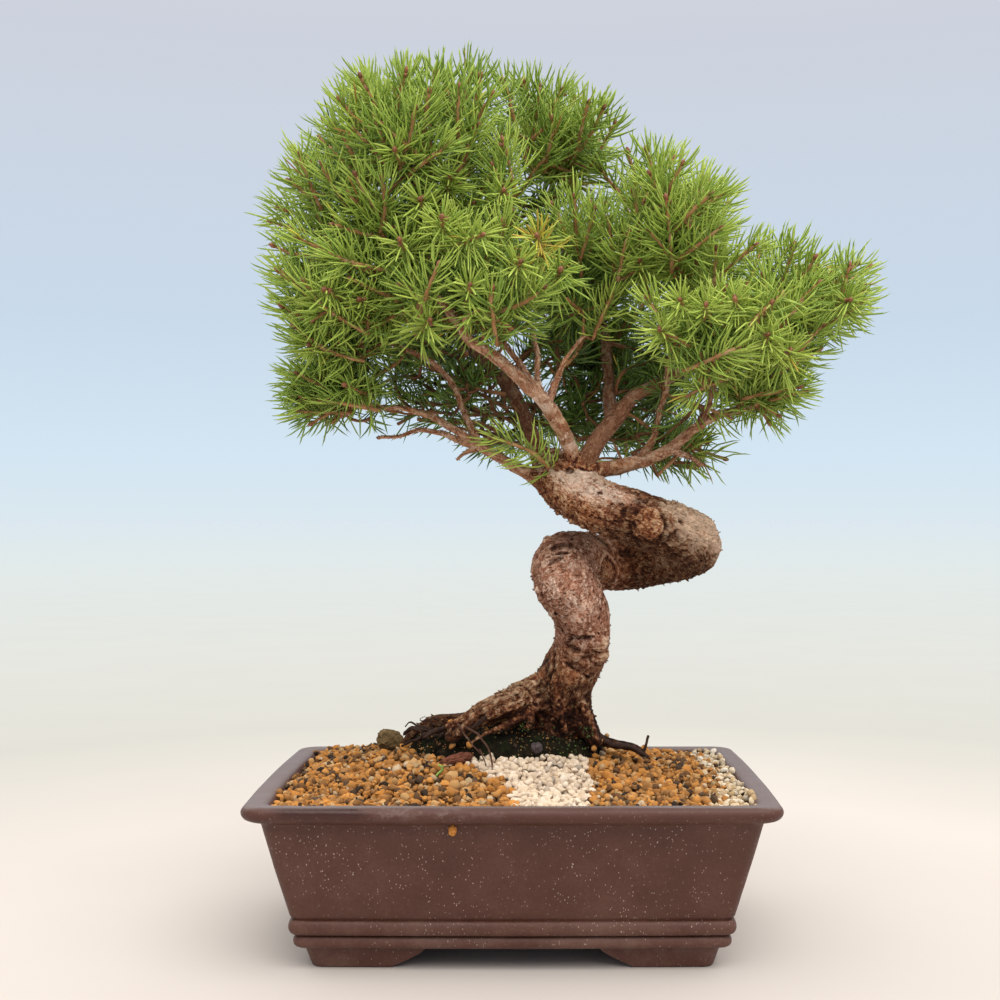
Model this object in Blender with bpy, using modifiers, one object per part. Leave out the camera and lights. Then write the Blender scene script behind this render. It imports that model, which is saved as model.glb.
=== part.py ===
"""Spruce bonsai with a corkscrew trunk, in a shallow rectangular ceramic pot.

Millimetres in the constants, metres in the meshes, +Z up, the front of the pot
towards -Y. The control points of the tree are read off a front elevation drawn
in perspective: u runs right and v runs down, both in drawing units, and the
third number is the depth behind the pot's middle. front_point() turns them
into millimetres.
"""

import math

import bmesh
import bpy
from mathutils import Matrix, Vector, noise

MM = 0.001
GAP = 0.3  # clearance between pieces that touch

# --- front elevation --------------------------------------------------------
EYE = Vector((6.2, -616.0, 180.5))  # the elevation's eye point
FOCAL = 1400.0  # drawing units
CENTRE_U, HORIZON_V = 528.0, 520.0

# --- pot ---------------------------------------------------------------------
RIM_HALF_X = 106.3
RIM_HALF_Y = 76.0
RIM_CORNER = 8.5
SIDE_BOW = 1.3  # the long and short sides swell by this much
POT_HEIGHT = 69.0
WALL_TOP_Z, WALL_TOP_INSET = 61.0, 7.0
WALL_LOW_Z, WALL_LOW_INSET = 22.4, 17.0
FLOOR_UNDER_Z, FLOOR_Z = 9.5, 16.5
WALL_THICK = 6.6
FOOT_INSET, FOOT_WIDTH = 24.6, 10.5
FOOT_GAP_X = (48.4, 33.5)  # half width of the arch between the feet, foot level and top
FOOT_GAP_Y = (29.0, 18.0)
DRAIN_X, DRAIN_R = 45.0, 7.5

# --- filling -----------------------------------------------------------------
BED_Z = 58.0  # top of the substrate, under the top dressing
MESH_SIZE, MESH_THICK, MESH_CELLS = 24.0, 0.9, 4
WIRE_R = 0.7

# --- tree --------------------------------------------------------------------
# u, v, depth, radius
TRUNK = (
    (550, 772, 19, 17.0),
    (554, 745, 18, 16.5),
    (557, 715, 15, 15.4),
    (562, 690, 10, 13.8),
    (571, 669, 6, 13.0),
    (581, 647, 3, 12.2),
    (583, 624, -2, 12.0),
    (577, 602, -6, 12.7),
    (565, 582, -7, 13.9),
    (565, 563, 2, 13.4),
    (584, 560, 14, 12.6),
    (610, 564, 22, 12.1),
    (640, 562, 25, 12.0),
    (668, 557, 21, 12.0),
    (688, 550, 10, 12.0),
    (694, 543, -3, 12.0),
    (684, 535, -14, 12.0),
    (664, 527, -21, 11.9),
    (636, 518, -24, 11.7),
    (608, 509, -21, 11.5),
    (584, 497, -14, 11.6),
    (565, 483, -6, 11.6),
    (553, 469, 1, 9.6),
    (548, 461, 4, 7.5),
)

ROOTS = (
    # left, along the top of the root ball
    ((552, 696, 8, 9.0), (529, 697, 2, 7.8), (505, 704, -3, 6.0), (482, 716, -6, 4.6), (464, 727, -8, 3.4), (448, 738, -9, 2.2)),
    ((540, 722, 10, 7.0), (505, 720, 11, 5.0), (470, 721, 14, 4.0), (436, 722, 17, 3.2), (418, 730, 18, 2.6), (402, 745, 19, 1.8)),
    # front and right
    ((566, 704, 10, 8.0), (580, 716, 5, 6.0), (589, 730, 1, 4.6), (597, 743, -2, 2.8)),
    ((580, 726, 12, 5.0), (600, 739, 8, 2.6), (616, 744, 6, 2.2), (632, 747, 4, 2.0), (644, 754, 2, 1.7)),
    # back
    ((560, 706, 20, 8.0), (566, 722, 31, 5.6), (572, 737, 38, 3.6)),
)
ROOT_STUB = ((642, 753, 2, 1.1), (645, 748, 2, 1.0), (648, 737, 2, 0.9))

BRANCHES = (
    # front branch, sweeping up to the left
    ((560, 484, -6, 6.5), (573, 464, -10, 4.8), (563, 432, -16, 4.0), (544, 402, -23, 3.8), (520, 379, -31, 3.2), (494, 356, -39, 2.9), (470, 340, -45, 2.7), (456, 320, -48, 2.3), (438, 297, -50, 1.8)),
    ((546, 404, -23, 2.4), (538, 382, -22, 1.5), (537, 353, -18, 1.3), (533, 330, -14, 1.1)),
    ((541, 394, -25, 2.2), (520, 364, -27, 1.5), (504, 344, -26, 1.4), (489, 313, -24, 1.1)),
    ((548, 404, -23, 2.2), (564, 363, -18, 1.3), (584, 336, -12, 1.0)),
    # low branch to the left, and its forks
    ((548, 482, -2, 6.0), (530, 474, -5, 3.6), (502, 459, -8, 3.0), (477, 445, -8, 2.7), (452, 428, -8, 2.1), (430, 416, -6, 1.9), (403, 408, -4, 1.6), (356, 407, -2, 1.4), (318, 404, 0, 1.0)),
    ((478, 446, -8, 2.4), (459, 440, -8, 1.7), (440, 433, -6, 1.5), (420, 430, -4, 1.2), (398, 437, -2, 1.0), (377, 438, 0, 0.9)),
    ((479, 446, -8, 2.4), (471, 428, -5, 1.8), (459, 401, 0, 1.7), (448, 378, 4, 1.6), (424, 357, 6, 1.5), (390, 343, 6, 1.3), (356, 327, 4, 1.1), (326, 307, 2, 0.9)),
    # back branch to the upper left
    ((552, 474, 2, 6.5), (536, 448, 9, 4.6), (524, 416, 18, 4.0), (509, 388, 26, 3.4), (485, 362, 31, 2.8), (458, 330, 34, 2.2), (428, 288, 34, 1.6)),
    # back branch to the right, with the leader to the top
    ((562, 486, 0, 7.0), (582, 466, 7, 5.6), (600, 437, 14, 4.9), (619, 415, 18, 4.5), (632, 398, 20, 3.8), (655, 385, 22, 3.4), (690, 368, 20, 2.8), (735, 350, 14, 2.0), (772, 326, 10, 1.4)),
    ((612, 422, 17, 3.6), (609, 396, 21, 3.0), (608, 360, 27, 2.7), (600, 312, 31, 2.2), (585, 250, 34, 1.8), (570, 190, 36, 1.3)),
    # low branch to the right
    ((574, 487, -8, 5.5), (597, 471, -8, 4.4), (620, 467, -8, 3.8), (645, 460, -8, 3.3), (670, 448, -8, 2.9), (700, 426, -8, 2.4), (722, 413, -8, 2.1), (752, 407, -6, 1.8), (796, 388, -4, 1.2)),
    ((672, 449, -8, 2.0), (690, 458, -2, 1.2), (706, 467, 4, 1.0)),
    ((640, 461, -8, 2.6), (652, 440, 0, 1.8), (661, 412, 4, 1.6), (668, 372, -2, 1.4), (676, 318, -8, 1.2), (682, 262, -8, 1.0)),
    ((700, 424, -8, 2.0), (712, 392, -18, 1.5), (716, 362, -28, 1.2)),
)

# name: centre u, v, depth, then half sizes across, in depth and in height, in mm
FOLIAGE = {
    "foliage_left_crown": (402, 168, -10, 60, 60, 52),
    "foliage_left_shoulder": (340, 290, -8, 40, 56, 42),
    "foliage_left_low": (332, 394, 0, 29, 40, 22),
    "foliage_front_centre": (476, 275, -48, 44, 36, 34),
    "foliage_back_left": (450, 270, 58, 52, 36, 46),
    "foliage_top_back": (566, 132, 32, 34, 42, 34),
    "foliage_middle": (580, 262, 4, 34, 44, 36),
    "foliage_back_middle": (590, 330, 66, 42, 30, 44),
    "foliage_right_crown": (684, 222, -4, 40, 52, 38),
    "foliage_right_outer": (808, 302, -4, 37, 46, 34),
    "foliage_right_front": (712, 330, -48, 38, 28, 27),
    "foliage_right_back": (712, 322, 48, 40, 34, 34),
    "foliage_right_low": (768, 400, 0, 31, 36, 21),
    "foliage_right_hanging": (700, 461, 16, 17, 22, 11),
}

# --- loose things ------------------------------------------------------------
# name: u, v, depth, half sizes in mm
STONES = {
    "clay_lump": (390, 741, 28, 6.2, 5.0, 4.4),
    "bark_chunk": (456, 761, -14, 6.6, 2.8, 2.4),
    "grey_stone": (537, 748, -11.5, 2.9, 2.2, 2.9),
}
STRAY_GRAIN = (452.5, 830.5, -71.8, 1.5, 1.1, 2.0)
SPROUT = ((436.2, 776.0, -26), (439.0, 772.6, -26), (441.6, 770.6, -26), (442.2, 767.6, -26), (438.9, 764.8, -26))


def front_point(u, v, depth):
    """The point at this depth on the sight line through u, v of the elevation."""
    k = (depth - EYE.y) / FOCAL
    return Vector((EYE.x + (u - CENTRE_U) * k, depth, EYE.z - (v - HORIZON_V) * k))


# --- scene helpers -----------------------------------------------------------
for ob in list(bpy.data.objects):
    bpy.data.objects.remove(ob, do_unlink=True)

parts = bpy.data.collections.new("spruce_bonsai")
guides = bpy.data.collections.new("cutters")
for coll in (parts, guides):
    bpy.context.scene.collection.children.link(coll)

base = bpy.data.objects.new("bonsai_origin", None)
parts.objects.link(base)


def material(name, rgb, rough, metal=0.0):
    m = bpy.data.materials.new(name)
    m.use_nodes = True
    p = m.node_tree.nodes["Principled BSDF"]
    p.inputs["Base Color"].default_value = (*rgb, 1.0)
    p.inputs["Roughness"].default_value = rough
    p.inputs["Metallic"].default_value = metal
    m.diffuse_color = (*rgb, 1.0)
    return m


CERAMIC = material("unglazed_ceramic", (0.105, 0.047, 0.036), 0.5)
BARK = material("bark", (0.32, 0.17, 0.10), 0.85)
NEEDLES = material("needles", (0.16, 0.32, 0.05), 0.6)
MOSS_SOIL = material("moss_soil", (0.035, 0.032, 0.018), 0.95)
OCHRE = material("ochre_grit", (0.55, 0.30, 0.11), 0.9)
PUMICE = material("pumice", (0.78, 0.70, 0.60), 0.9)
PALE = material("pale_grit", (0.68, 0.55, 0.40), 0.9)
SOIL = material("substrate", (0.16, 0.10, 0.06), 0.95)
MESH_PLASTIC = material("mesh_plastic", (0.03, 0.03, 0.03), 0.5)
WIRE = material("aluminium_wire", (0.45, 0.42, 0.38), 0.35, 1.0)
CLAY = material("clay_lump", (0.17, 0.11, 0.05), 0.95)
CHUNK = material("bark_chunk", (0.25, 0.09, 0.06), 0.9)
STONE = material("grey_stone", (0.16, 0.12, 0.11), 0.9)
SHOOT = material("sprout", (0.35, 0.50, 0.12), 0.5)


def place(name, mesh, mat, coll=parts):
    ob = bpy.data.objects.new(name, mesh)
    coll.objects.link(ob)
    if coll is parts:
        ob.parent = base
        mesh.materials.clear()
        mesh.materials.append(mat)
    else:
        ob.hide_render = True
        ob.display_type = "WIRE"
    return ob


def mesh_of(bm, name):
    me = bpy.data.meshes.new(name)
    bmesh.ops.recalc_face_normals(bm, faces=bm.faces)
    bm.to_mesh(me)
    bm.free()
    return me


def loft(name, rings):
    """A closed body through rings of equal length, capped at both ends."""
    bm = bmesh.new()
    rows = [[bm.verts.new(p * MM) for p in ring] for ring in rings]
    n = len(rows[0])
    for a, b in zip(rows, rows[1:]):
        for i in range(n):
            j = (i + 1) % n
            bm.faces.new((a[i], a[j], b[j], b[i]))
    bm.faces.new(rows[0][::-1])
    bm.faces.new(rows[-1])
    return mesh_of(bm, name)


def outline(half_x, half_y, radius, z, bow=0.0, corner_steps=4, side_steps=2):
    """A rounded rectangle whose sides swell by bow, as a ring of points."""
    pts = []
    corners = ((1, 1), (-1, 1), (-1, -1), (1, -1))
    for k, (sx, sy) in enumerate(corners):
        cx, cy = sx * (half_x - radius), sy * (half_y - radius)
        for i in range(corner_steps + 1):
            a = math.pi / 2 * (k + i / corner_steps)
            pts.append(Vector((cx + radius * math.cos(a), cy + radius * math.sin(a), z)))
        out = Vector((0, sy, 0)) if k % 2 == 0 else Vector((sx, 0, 0))
        nx, ny = corners[(k + 1) % 4]
        a, b = pts[-1], Vector(
            (nx * (half_x - radius) if k % 2 == 0 else sx * half_x, sy * half_y if k % 2 == 0 else ny * (half_y - radius), z)
        )
        for i in range(1, side_steps + 1):
            t = i / (side_steps + 1)
            pts.append(a.lerp(b, t) + out * bow * 4 * t * (1 - t))
    return pts


def pot_ring(z, inset, bow=SIDE_BOW, radius=None):
    r = max(RIM_CORNER - 0.35 * inset, 4.5) if radius is None else radius
    return outline(RIM_HALF_X - inset, RIM_HALF_Y - inset, r, z, bow)


def resample(points, step):
    """Points at even spacing on a smooth curve through (x, y, z, radius) rows."""
    pts = [Vector(p) for p in points]
    ends = [pts[0] * 2 - pts[1]] + pts + [pts[-1] * 2 - pts[-2]]
    dense = []
    for k in range(1, len(ends) - 2):
        p0, p1, p2, p3 = ends[k - 1 : k + 3]
        for i in range(16):
            t = i / 16
            dense.append(
                0.5
                * (
                    2 * p1
                    + (p2 - p0) * t
                    + (2 * p0 - 5 * p1 + 4 * p2 - p3) * t * t
                    + (3 * p1 - p0 - 3 * p2 + p3) * t**3
                )
            )
    dense.append(ends[-2])
    length = [0.0]
    for a, b in zip(dense, dense[1:]):
        length.append(length[-1] + (b.xyz - a.xyz).length)
    count = max(3, round(length[-1] / step) + 1)
    out, k = [], 0
    for i in range(count):
        s = length[-1] * i / (count - 1)
        while k < len(length) - 2 and length[k + 1] < s:
            k += 1
        span = length[k + 1] - length[k]
        out.append(dense[k].lerp(dense[k + 1], (s - length[k]) / span if span else 0.0))
    return out


def tube(name, rows, resolution=2, grow=0.0, extend=0.0):
    """A round bar along (x, y, z, radius) rows, as a welded mesh object."""
    rows = [Vector(r) for r in rows]
    if extend:
        a, b = rows[0].xyz - rows[1].xyz, rows[-1].xyz - rows[-2].xyz
        rows[0] = Vector((*(rows[0].xyz + a.normalized() * extend), rows[0].w))
        rows[-1] = Vector((*(rows[-1].xyz + b.normalized() * extend), rows[-1].w))
    cu = bpy.data.curves.new(name, "CURVE")
    cu.dimensions = "3D"
    cu.bevel_depth = MM
    cu.bevel_resolution = resolution
    cu.use_fill_caps = True
    sp = cu.splines.new("POLY")
    sp.points.add(len(rows) - 1)
    for p, r in zip(sp.points, rows):
        p.co = (*(r.xyz * MM), 1.0)
        p.radius = r.w + grow
    ob = bpy.data.objects.new(name, cu)
    guides.objects.link(ob)
    bpy.context.view_layer.update()
    me = bpy.data.meshes.new_from_object(ob.evaluated_get(bpy.context.evaluated_depsgraph_get()))
    world = ob.matrix_world.copy()
    bpy.data.objects.remove(ob, do_unlink=True)
    bm = bmesh.new()
    bm.from_mesh(me)
    bmesh.ops.remove_doubles(bm, verts=bm.verts, dist=1e-6)
    bmesh.ops.recalc_face_normals(bm, faces=bm.faces)
    bm.to_mesh(me)
    bm.free()
    out = place(name, me, None, guides)
    out.matrix_world = world
    return out


def combine(ob, tools, operation):
    """Applies Booleans with each tool in turn, and removes the tools."""
    for tool in tools:
        mod = ob.modifiers.new("bool", "BOOLEAN")
        mod.operation = operation
        mod.solver = "EXACT"
        mod.object = tool
        bpy.context.view_layer.update()
        me = bpy.data.meshes.new_from_object(ob.evaluated_get(bpy.context.evaluated_depsgraph_get()))
        ob.modifiers.clear()
        ob.data = me
        bpy.data.objects.remove(tool, do_unlink=True)
    return ob


def tidy(ob, weld=0.04):
    """Welds vertices closer than weld (mm) and drops faces with no area or lying back to back."""
    bm = bmesh.new()
    bm.from_mesh(ob.data)
    bmesh.ops.triangulate(bm, faces=bm.faces)
    bmesh.ops.remove_doubles(bm, verts=bm.verts, dist=weld * MM)
    bmesh.ops.dissolve_degenerate(bm, edges=bm.edges, dist=weld * MM)
    bmesh.ops.triangulate(bm, faces=bm.faces)
    by_corners = {}
    for f in bm.faces:
        by_corners.setdefault(frozenset(f.verts), []).append(f)
    twins = [f for same in by_corners.values() if len(same) > 1 for f in same]
    bmesh.ops.delete(bm, geom=twins, context="FACES")
    bmesh.ops.recalc_face_normals(bm, faces=bm.faces)
    bm.to_mesh(ob.data)
    bm.free()
    ob.data.shade_smooth()
    ob.data.set_sharp_from_angle(angle=math.radians(35))


def box(name, lo, hi, coll=guides, mat=None):
    bm = bmesh.new()
    bmesh.ops.create_cube(bm, size=1.0)
    size = Vector(hi) - Vector(lo)
    mid = (Vector(hi) + Vector(lo)) / 2
    bmesh.ops.transform(bm, matrix=Matrix.Translation(mid * MM) @ Matrix.Diagonal((*(size * MM), 1)), verts=bm.verts)
    return place(name, mesh_of(bm, name), mat, coll)


def prism(name, corners, axis, lo, hi):
    """An outline in the plane across axis, drawn out from lo to hi."""
    order = {"X": lambda a, b, t: Vector((t, a, b)), "Y": lambda a, b, t: Vector((a, t, b)), "Z": lambda a, b, t: Vector((a, b, t))}[axis]
    return place(name, loft(name, [[order(a, b, t) for a, b in corners] for t in (lo, hi)]), None, guides)


def pebble(name, middle, half, mat, coll=parts, grow=0.0, rough=0.16, turn=0.0, seed=0):
    """A worn lump: a sphere pressed to its half sizes, with a few soft facets."""
    bm = bmesh.new()
    bmesh.ops.create_icosphere(bm, subdivisions=2, radius=1.0)
    for v in bm.verts:
        v.co *= 1 + rough * noise.noise(v.co * 1.3 + Vector((seed * 3.1, 0, 0)))
    m = Matrix.Translation(middle * MM) @ Matrix.Rotation(turn, 4, "Y")
    bmesh.ops.transform(bm, matrix=m @ Matrix.Diagonal((*[(h + grow) * MM for h in half], 1)), verts=bm.verts)
    return place(name, mesh_of(bm, name), mat, coll)


# --- pot ---------------------------------------------------------------------
def inner_inset(z):
    """Inset of the inside wall at height z."""
    slope = (WALL_LOW_INSET - WALL_TOP_INSET) / (WALL_TOP_Z - WALL_LOW_Z)
    return WALL_TOP_INSET + WALL_THICK + (WALL_TOP_Z - z) * slope


LOWER_BEAD = (11.9, 2.5, 18.2)  # middle height, half height, inset of the crest
UPPER_BEAD = (17.9, 3.0, 16.5)


def bead(middle, half, inset, depth=1.7, steps=5):
    """Rows up the outside of a half-round bead."""
    return [
        (middle - half * math.cos(math.pi * i / steps), inset + depth * (1 - math.sin(math.pi * i / steps)))
        for i in range(steps + 1)
    ]


profile = [(FLOOR_UNDER_Z, 21.2)]
profile += bead(*LOWER_BEAD)
profile += bead(*UPPER_BEAD)
profile += [(21.6, 17.9), (WALL_LOW_Z, WALL_LOW_INSET), (WALL_TOP_Z, WALL_TOP_INSET)]
profile += [(62.0, 5.5), (62.5, 3.6), (63.3, 1.7), (64.6, 0.5), (66.1, 0.0), (67.4, 0.25), (68.3, 0.9), (68.85, 2.0)]
profile += [(POT_HEIGHT, 3.2), (POT_HEIGHT - 0.2, 7.6), (POT_HEIGHT - 0.7, 9.3), (POT_HEIGHT - 2.0, 10.3)]
profile += [(WALL_TOP_Z, inner_inset(WALL_TOP_Z)), (20.0, inner_inset(20.0)), (17.4, 24.4), (FLOOR_Z, 26.2)]

pot = place("pot", loft("pot", [pot_ring(z, s) for z, s in profile]), CERAMIC)

skirt = place(
    "skirt",
    loft("skirt", [pot_ring(z, s, 0.6, 5.0) for z, s in ((0.0, FOOT_INSET + 0.6), (0.8, FOOT_INSET), (FLOOR_UNDER_Z, 22.0), (12.5, 22.0))]),
    None,
    guides,
)
inside = place(
    "skirt_inside",
    loft("skirt_inside", [pot_ring(z, FOOT_INSET + FOOT_WIDTH, 0.0, 4.5) for z in (-2.0, 14.0)]),
    None,
    guides,
)
arch_x = [(-FOOT_GAP_X[0], -2), (-FOOT_GAP_X[0], 0), (-44.6, 2.4), (-40.6, 4.4), (-36.6, 6.9), (-FOOT_GAP_X[1], 10.0)]
arch_x += [(-x, z) for x, z in reversed(arch_x)]
arch_y = [(-FOOT_GAP_Y[0], -2), (-FOOT_GAP_Y[0], 0), (-25.6, 2.4), (-22.8, 4.4), (-20.2, 6.9), (-FOOT_GAP_Y[1], 10.0)]
arch_y += [(-y, z) for y, z in reversed(arch_y)]
combine(skirt, [inside, prism("arch_front", arch_x, "Y", -90, 90), prism("arch_side", arch_y, "X", -120, 120)], "DIFFERENCE")
combine(pot, [skirt], "UNION")

for sx in (-1, 1):
    bm = bmesh.new()
    bmesh.ops.create_cone(bm, cap_ends=True, segments=20, radius1=DRAIN_R * MM, radius2=DRAIN_R * MM, depth=20 * MM)
    bmesh.ops.translate(bm, verts=bm.verts, vec=Vector((sx * DRAIN_X, 0, 13)) * MM)
    combine(pot, [place("drain", mesh_of(bm, "drain"), None, guides)], "DIFFERENCE")
tidy(pot)

# --- drainage mesh and its wire ------------------------------------------------
for side, sx in (("left", -1), ("right", 1)):
    bm = bmesh.new()
    bmesh.ops.create_grid(bm, x_segments=MESH_CELLS, y_segments=MESH_CELLS, size=MESH_SIZE / 2 * MM)
    cell = MESH_SIZE / MESH_CELLS
    inner = bmesh.ops.inset_individual(bm, faces=list(bm.faces), thickness=cell * 0.19 * MM)
    rims = set(inner["faces"])
    bmesh.ops.delete(bm, geom=[f for f in bm.faces if f not in rims], context="FACES_ONLY")
    bmesh.ops.translate(bm, verts=bm.verts, vec=Vector((sx * DRAIN_X, 0, FLOOR_Z + GAP)) * MM)
    me = mesh_of(bm, "mesh")
    ob = place(f"drain_mesh_{side}", me, MESH_PLASTIC)
    if ob.data.polygons[0].normal.z < 0:
        ob.data.flip_normals()
    solid = ob.modifiers.new("thickness", "SOLIDIFY")
    solid.thickness = MESH_THICK * MM
    solid.offset = 1.0
    # the wire lies across the mesh, drops through two of its openings and the
    # drain hole, and is bent outwards under the floor
    leg = cell / 2
    top, under = FLOOR_Z + GAP + MESH_THICK + GAP + WIRE_R, FLOOR_UNDER_Z - GAP - WIRE_R
    route = [(-16.0, under), (-leg - 2.0, under), (-leg, under + 1.6), (-leg, top - 1.2), (-leg + 1.2, top), (leg - 1.2, top), (leg, top - 1.2), (leg, under + 1.6), (leg + 2.0, under), (16.0, under)]
    wire = tube(f"mesh_wire_{side}", [(sx * DRAIN_X + leg, y, z, WIRE_R) for y, z in route], resolution=1)
    guides.objects.unlink(wire)
    parts.objects.link(wire)
    wire.parent = base
    wire.hide_render = False
    wire.display_type = "TEXTURED"
    wire.data.materials.clear()
    wire.data.materials.append(WIRE)
    wire.data.shade_smooth()

# --- substrate -----------------------------------------------------------------
rows = [(FLOOR_Z + GAP, 26.9), (18.0, 24.9)] + [(z, inner_inset(z) + 0.4) for z in (21.0, BED_Z)]
substrate = place("substrate", loft("substrate", [pot_ring(z, s) for z, s in rows]), SOIL)
pockets = [
    box("pocket", (sx * DRAIN_X - MESH_SIZE / 2 - 0.6, -MESH_SIZE / 2 - 0.6, FLOOR_Z - 1), (sx * DRAIN_X + MESH_SIZE / 2 + 0.6, MESH_SIZE / 2 + 0.6, FLOOR_Z + 4.0))
    for sx in (-1, 1)
]
combine(substrate, pockets, "DIFFERENCE")
tidy(substrate)


# --- tree ------------------------------------------------------------------------
def limb(points, step=5.0):
    return resample([(*front_point(u, v, d), r) for u, v, d, r in points], step)


def tree_tubes(grow=0.0):
    """Every bar that the tree is joined from; grow makes the slightly larger cutters."""
    extend = 1.0 if grow else 0.0
    yield tube("trunk", limb(TRUNK, 6.5), 3, grow, extend)
    for k, root in enumerate(ROOTS):
        yield tube(f"root_{k}", limb(root, 9.0), 1, grow, extend)
    yield tube("stub", limb(ROOT_STUB, 5.0), 1, grow, extend)
    for k, branch in enumerate(BRANCHES):
        yield tube(f"branch_{k}", limb(branch, 13.0 if branch[0][3] < 4 else 11.0), 1, grow, extend)


def joined_tree(name, grow=0.0):
    tubes = list(tree_tubes(grow))
    return combine(tubes[0], tubes[1:], "UNION")


tree = joined_tree("trunk_and_branches")
tree.name = "trunk_and_branches"
guides.objects.unlink(tree)
parts.objects.link(tree)
tree.parent = base
tree.hide_render = False
tree.display_type = "TEXTURED"
tree.data.materials.clear()
tree.data.materials.append(BARK)
tidy(tree)


def tree_cutter():
    """A copy of the tree, GAP larger all round, that frees the pieces it passes through."""
    if "tree_cutter" not in bpy.data.meshes:
        ob = joined_tree("tree_cutter", GAP)
        ob.data.name = "tree_cutter"
        ob.data.use_fake_user = True
        bpy.data.objects.remove(ob, do_unlink=True)
    return place("cutter", bpy.data.meshes["tree_cutter"].copy(), None, guides)


# --- top dressing ------------------------------------------------------------------
HEAP = (14.0, -2.0, 16.0, 46.0, 36.0)  # rise, x, y, spread in x, spread in y


def surface(x, y):
    """Height of the top dressing: level with the rim in front, heaped round the trunk."""
    rise, cx, cy, sx, sy = HEAP
    heap = rise * math.exp(-0.5 * (((x - cx) / sx) ** 2 + ((y - cy) / sy) ** 2))
    back = 2.6 * max(0.0, min(1.0, (y + 55) / 110)) * (1 - max(0.0, x / 140))
    return 65.6 + heap + back - 0.012 * max(0.0, x)


def bed_rings(top_rows=6):
    rings = [pot_ring(BED_Z + GAP, inner_inset(BED_Z) + 0.4), pot_ring(63.5, inner_inset(63.5) + 0.4)]
    edge = pot_ring(0, inner_inset(65.5) + 0.4)
    for k in range(top_rows):
        f = 1 - k / top_rows * 0.94
        rings.append([Vector((p.x * f, p.y * f, surface(p.x * f, p.y * f))) for p in edge])
    return rings


MOUND = ((-4.0, 17.0), ((BED_Z + GAP, 47, 30), (70.0, 46, 29.5), (76.0, 44, 28), (81.0, 41.5, 25.5), (85.0, 37, 22), (88.0, 28, 15)))


def mound(name, grow=0.0, down=0.0, coll=parts):
    """The old root ball: an uneven heap whose outline wanders."""
    (cx, cy), rows = MOUND
    rings = []
    for z, hx, hy in rows:
        ring = []
        for i in range(28):
            a = 2 * math.pi * i / 28
            wob = 1 + 0.07 * noise.noise(Vector((math.cos(a) * 1.6, math.sin(a) * 1.6, z * 0.04)))
            ring.append(Vector((cx + (hx * wob + grow) * math.cos(a), cy + (hy * wob + grow) * math.sin(a), z + (grow if z > 80 else 0))))
        rings.append(ring)
    if down:
        rings.insert(0, [p - Vector((0, 0, down)) for p in rings[0]])
    return place(name, loft(name, rings), MOSS_SOIL, coll)


LEFT_EDGE = ((3.8, -95), (3.8, -64), (-1.0, -44), (-6.0, -31), (-25.0, -9), (-25.0, 6))
RIGHT_EDGE = ((30.5, -95), (30.5, -64), (33.0, -30), (31.5, -8), (31.5, 6))
PALE_EDGE = ((76.0, -95), (76.0, -64), (85.0, -22), (88.0, 18), (83.0, 50), (81.0, 95))
H = GAP * 0.75


def shifted(edge, dx):
    return [(x + dx, y) for x, y in edge]


REGIONS = {
    "grit_left": (OCHRE, shifted(LEFT_EDGE, -H) + [(-H, 6), (-H, 95), (-130, 95), (-130, -95)]),
    "pumice_patch": (PUMICE, shifted(RIGHT_EDGE, -H) + shifted(LEFT_EDGE, H)[::-1]),
    "grit_right": (OCHRE, shifted(PALE_EDGE, -H) + [(H, 95), (H, 6)] + shifted(RIGHT_EDGE, H)[::-1]),
    "pale_grit_corner": (PALE, shifted(PALE_EDGE, H)[::-1] + [(130, -95), (130, 95)]),
}

stone_spots = {}
for k, (name, (u, v, d, *half)) in enumerate(STONES.items()):
    stone_spots[name] = (front_point(u, v, d), half, (0.15, -0.25, 0.5)[k], k)

for name, (mat, corners) in REGIONS.items():
    ob = place(name, loft(name, bed_rings()), mat)
    combine(ob, [prism("region", corners, "Z", 40, 110)], "INTERSECT")
    cutters = [] if name == "pale_grit_corner" else [mound("mound_cutter", GAP, 20, guides), tree_cutter()]
    cutters += [
        pebble("stone_cutter", mid, half, None, guides, GAP, turn=turn, seed=k)
        for stone, (mid, half, turn, k) in stone_spots.items()
        if (stone == "clay_lump" and name == "grit_left") or (stone == "bark_chunk" and name in ("grit_left", "pumice_patch"))
    ]
    combine(ob, cutters, "DIFFERENCE")
    tidy(ob)

ball = mound("mossy_root_ball")
combine(
    ball,
    [tree_cutter()]
    + [
        pebble("stone_cutter", mid, half, None, guides, GAP, turn=turn, seed=k)
        for stone, (mid, half, turn, k) in stone_spots.items()
        if stone != "clay_lump"
    ],
    "DIFFERENCE",
)
tidy(ball)

for (name, (mid, half, turn, k)), mat in zip(stone_spots.items(), (CLAY, CHUNK, STONE)):
    pebble(name, mid, half, mat, turn=turn, seed=k)
pebble("stray_grain", front_point(*STRAY_GRAIN[:3]), STRAY_GRAIN[3:], OCHRE, seed=7)

sprout = tube("sprout", resample([(*front_point(u, v, d), 0.45) for u, v, d in SPROUT], 1.4), 1)
guides.objects.unlink(sprout)
parts.objects.link(sprout)
sprout.parent = base
sprout.hide_render = False
sprout.display_type = "TEXTURED"
sprout.data.materials.clear()
sprout.data.materials.append(SHOOT)


# --- foliage -------------------------------------------------------------------------
def clump(name, seed):
    u, v, d, *half = FOLIAGE[name]
    middle = front_point(u, v, d)
    bm = bmesh.new()
    bmesh.ops.create_uvsphere(bm, u_segments=14, v_segments=9, radius=1.0)
    for vert in bm.verts:
        vert.co *= 1 + 0.10 * noise.noise(vert.co * 1.1 + Vector((seed * 5.3, 1.7, 0)))
    bmesh.ops.transform(bm, matrix=Matrix.Translation(middle * MM) @ Matrix.Diagonal((*[h * MM for h in half], 1)), verts=bm.verts)
    return bm, middle, Vector(half)


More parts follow.
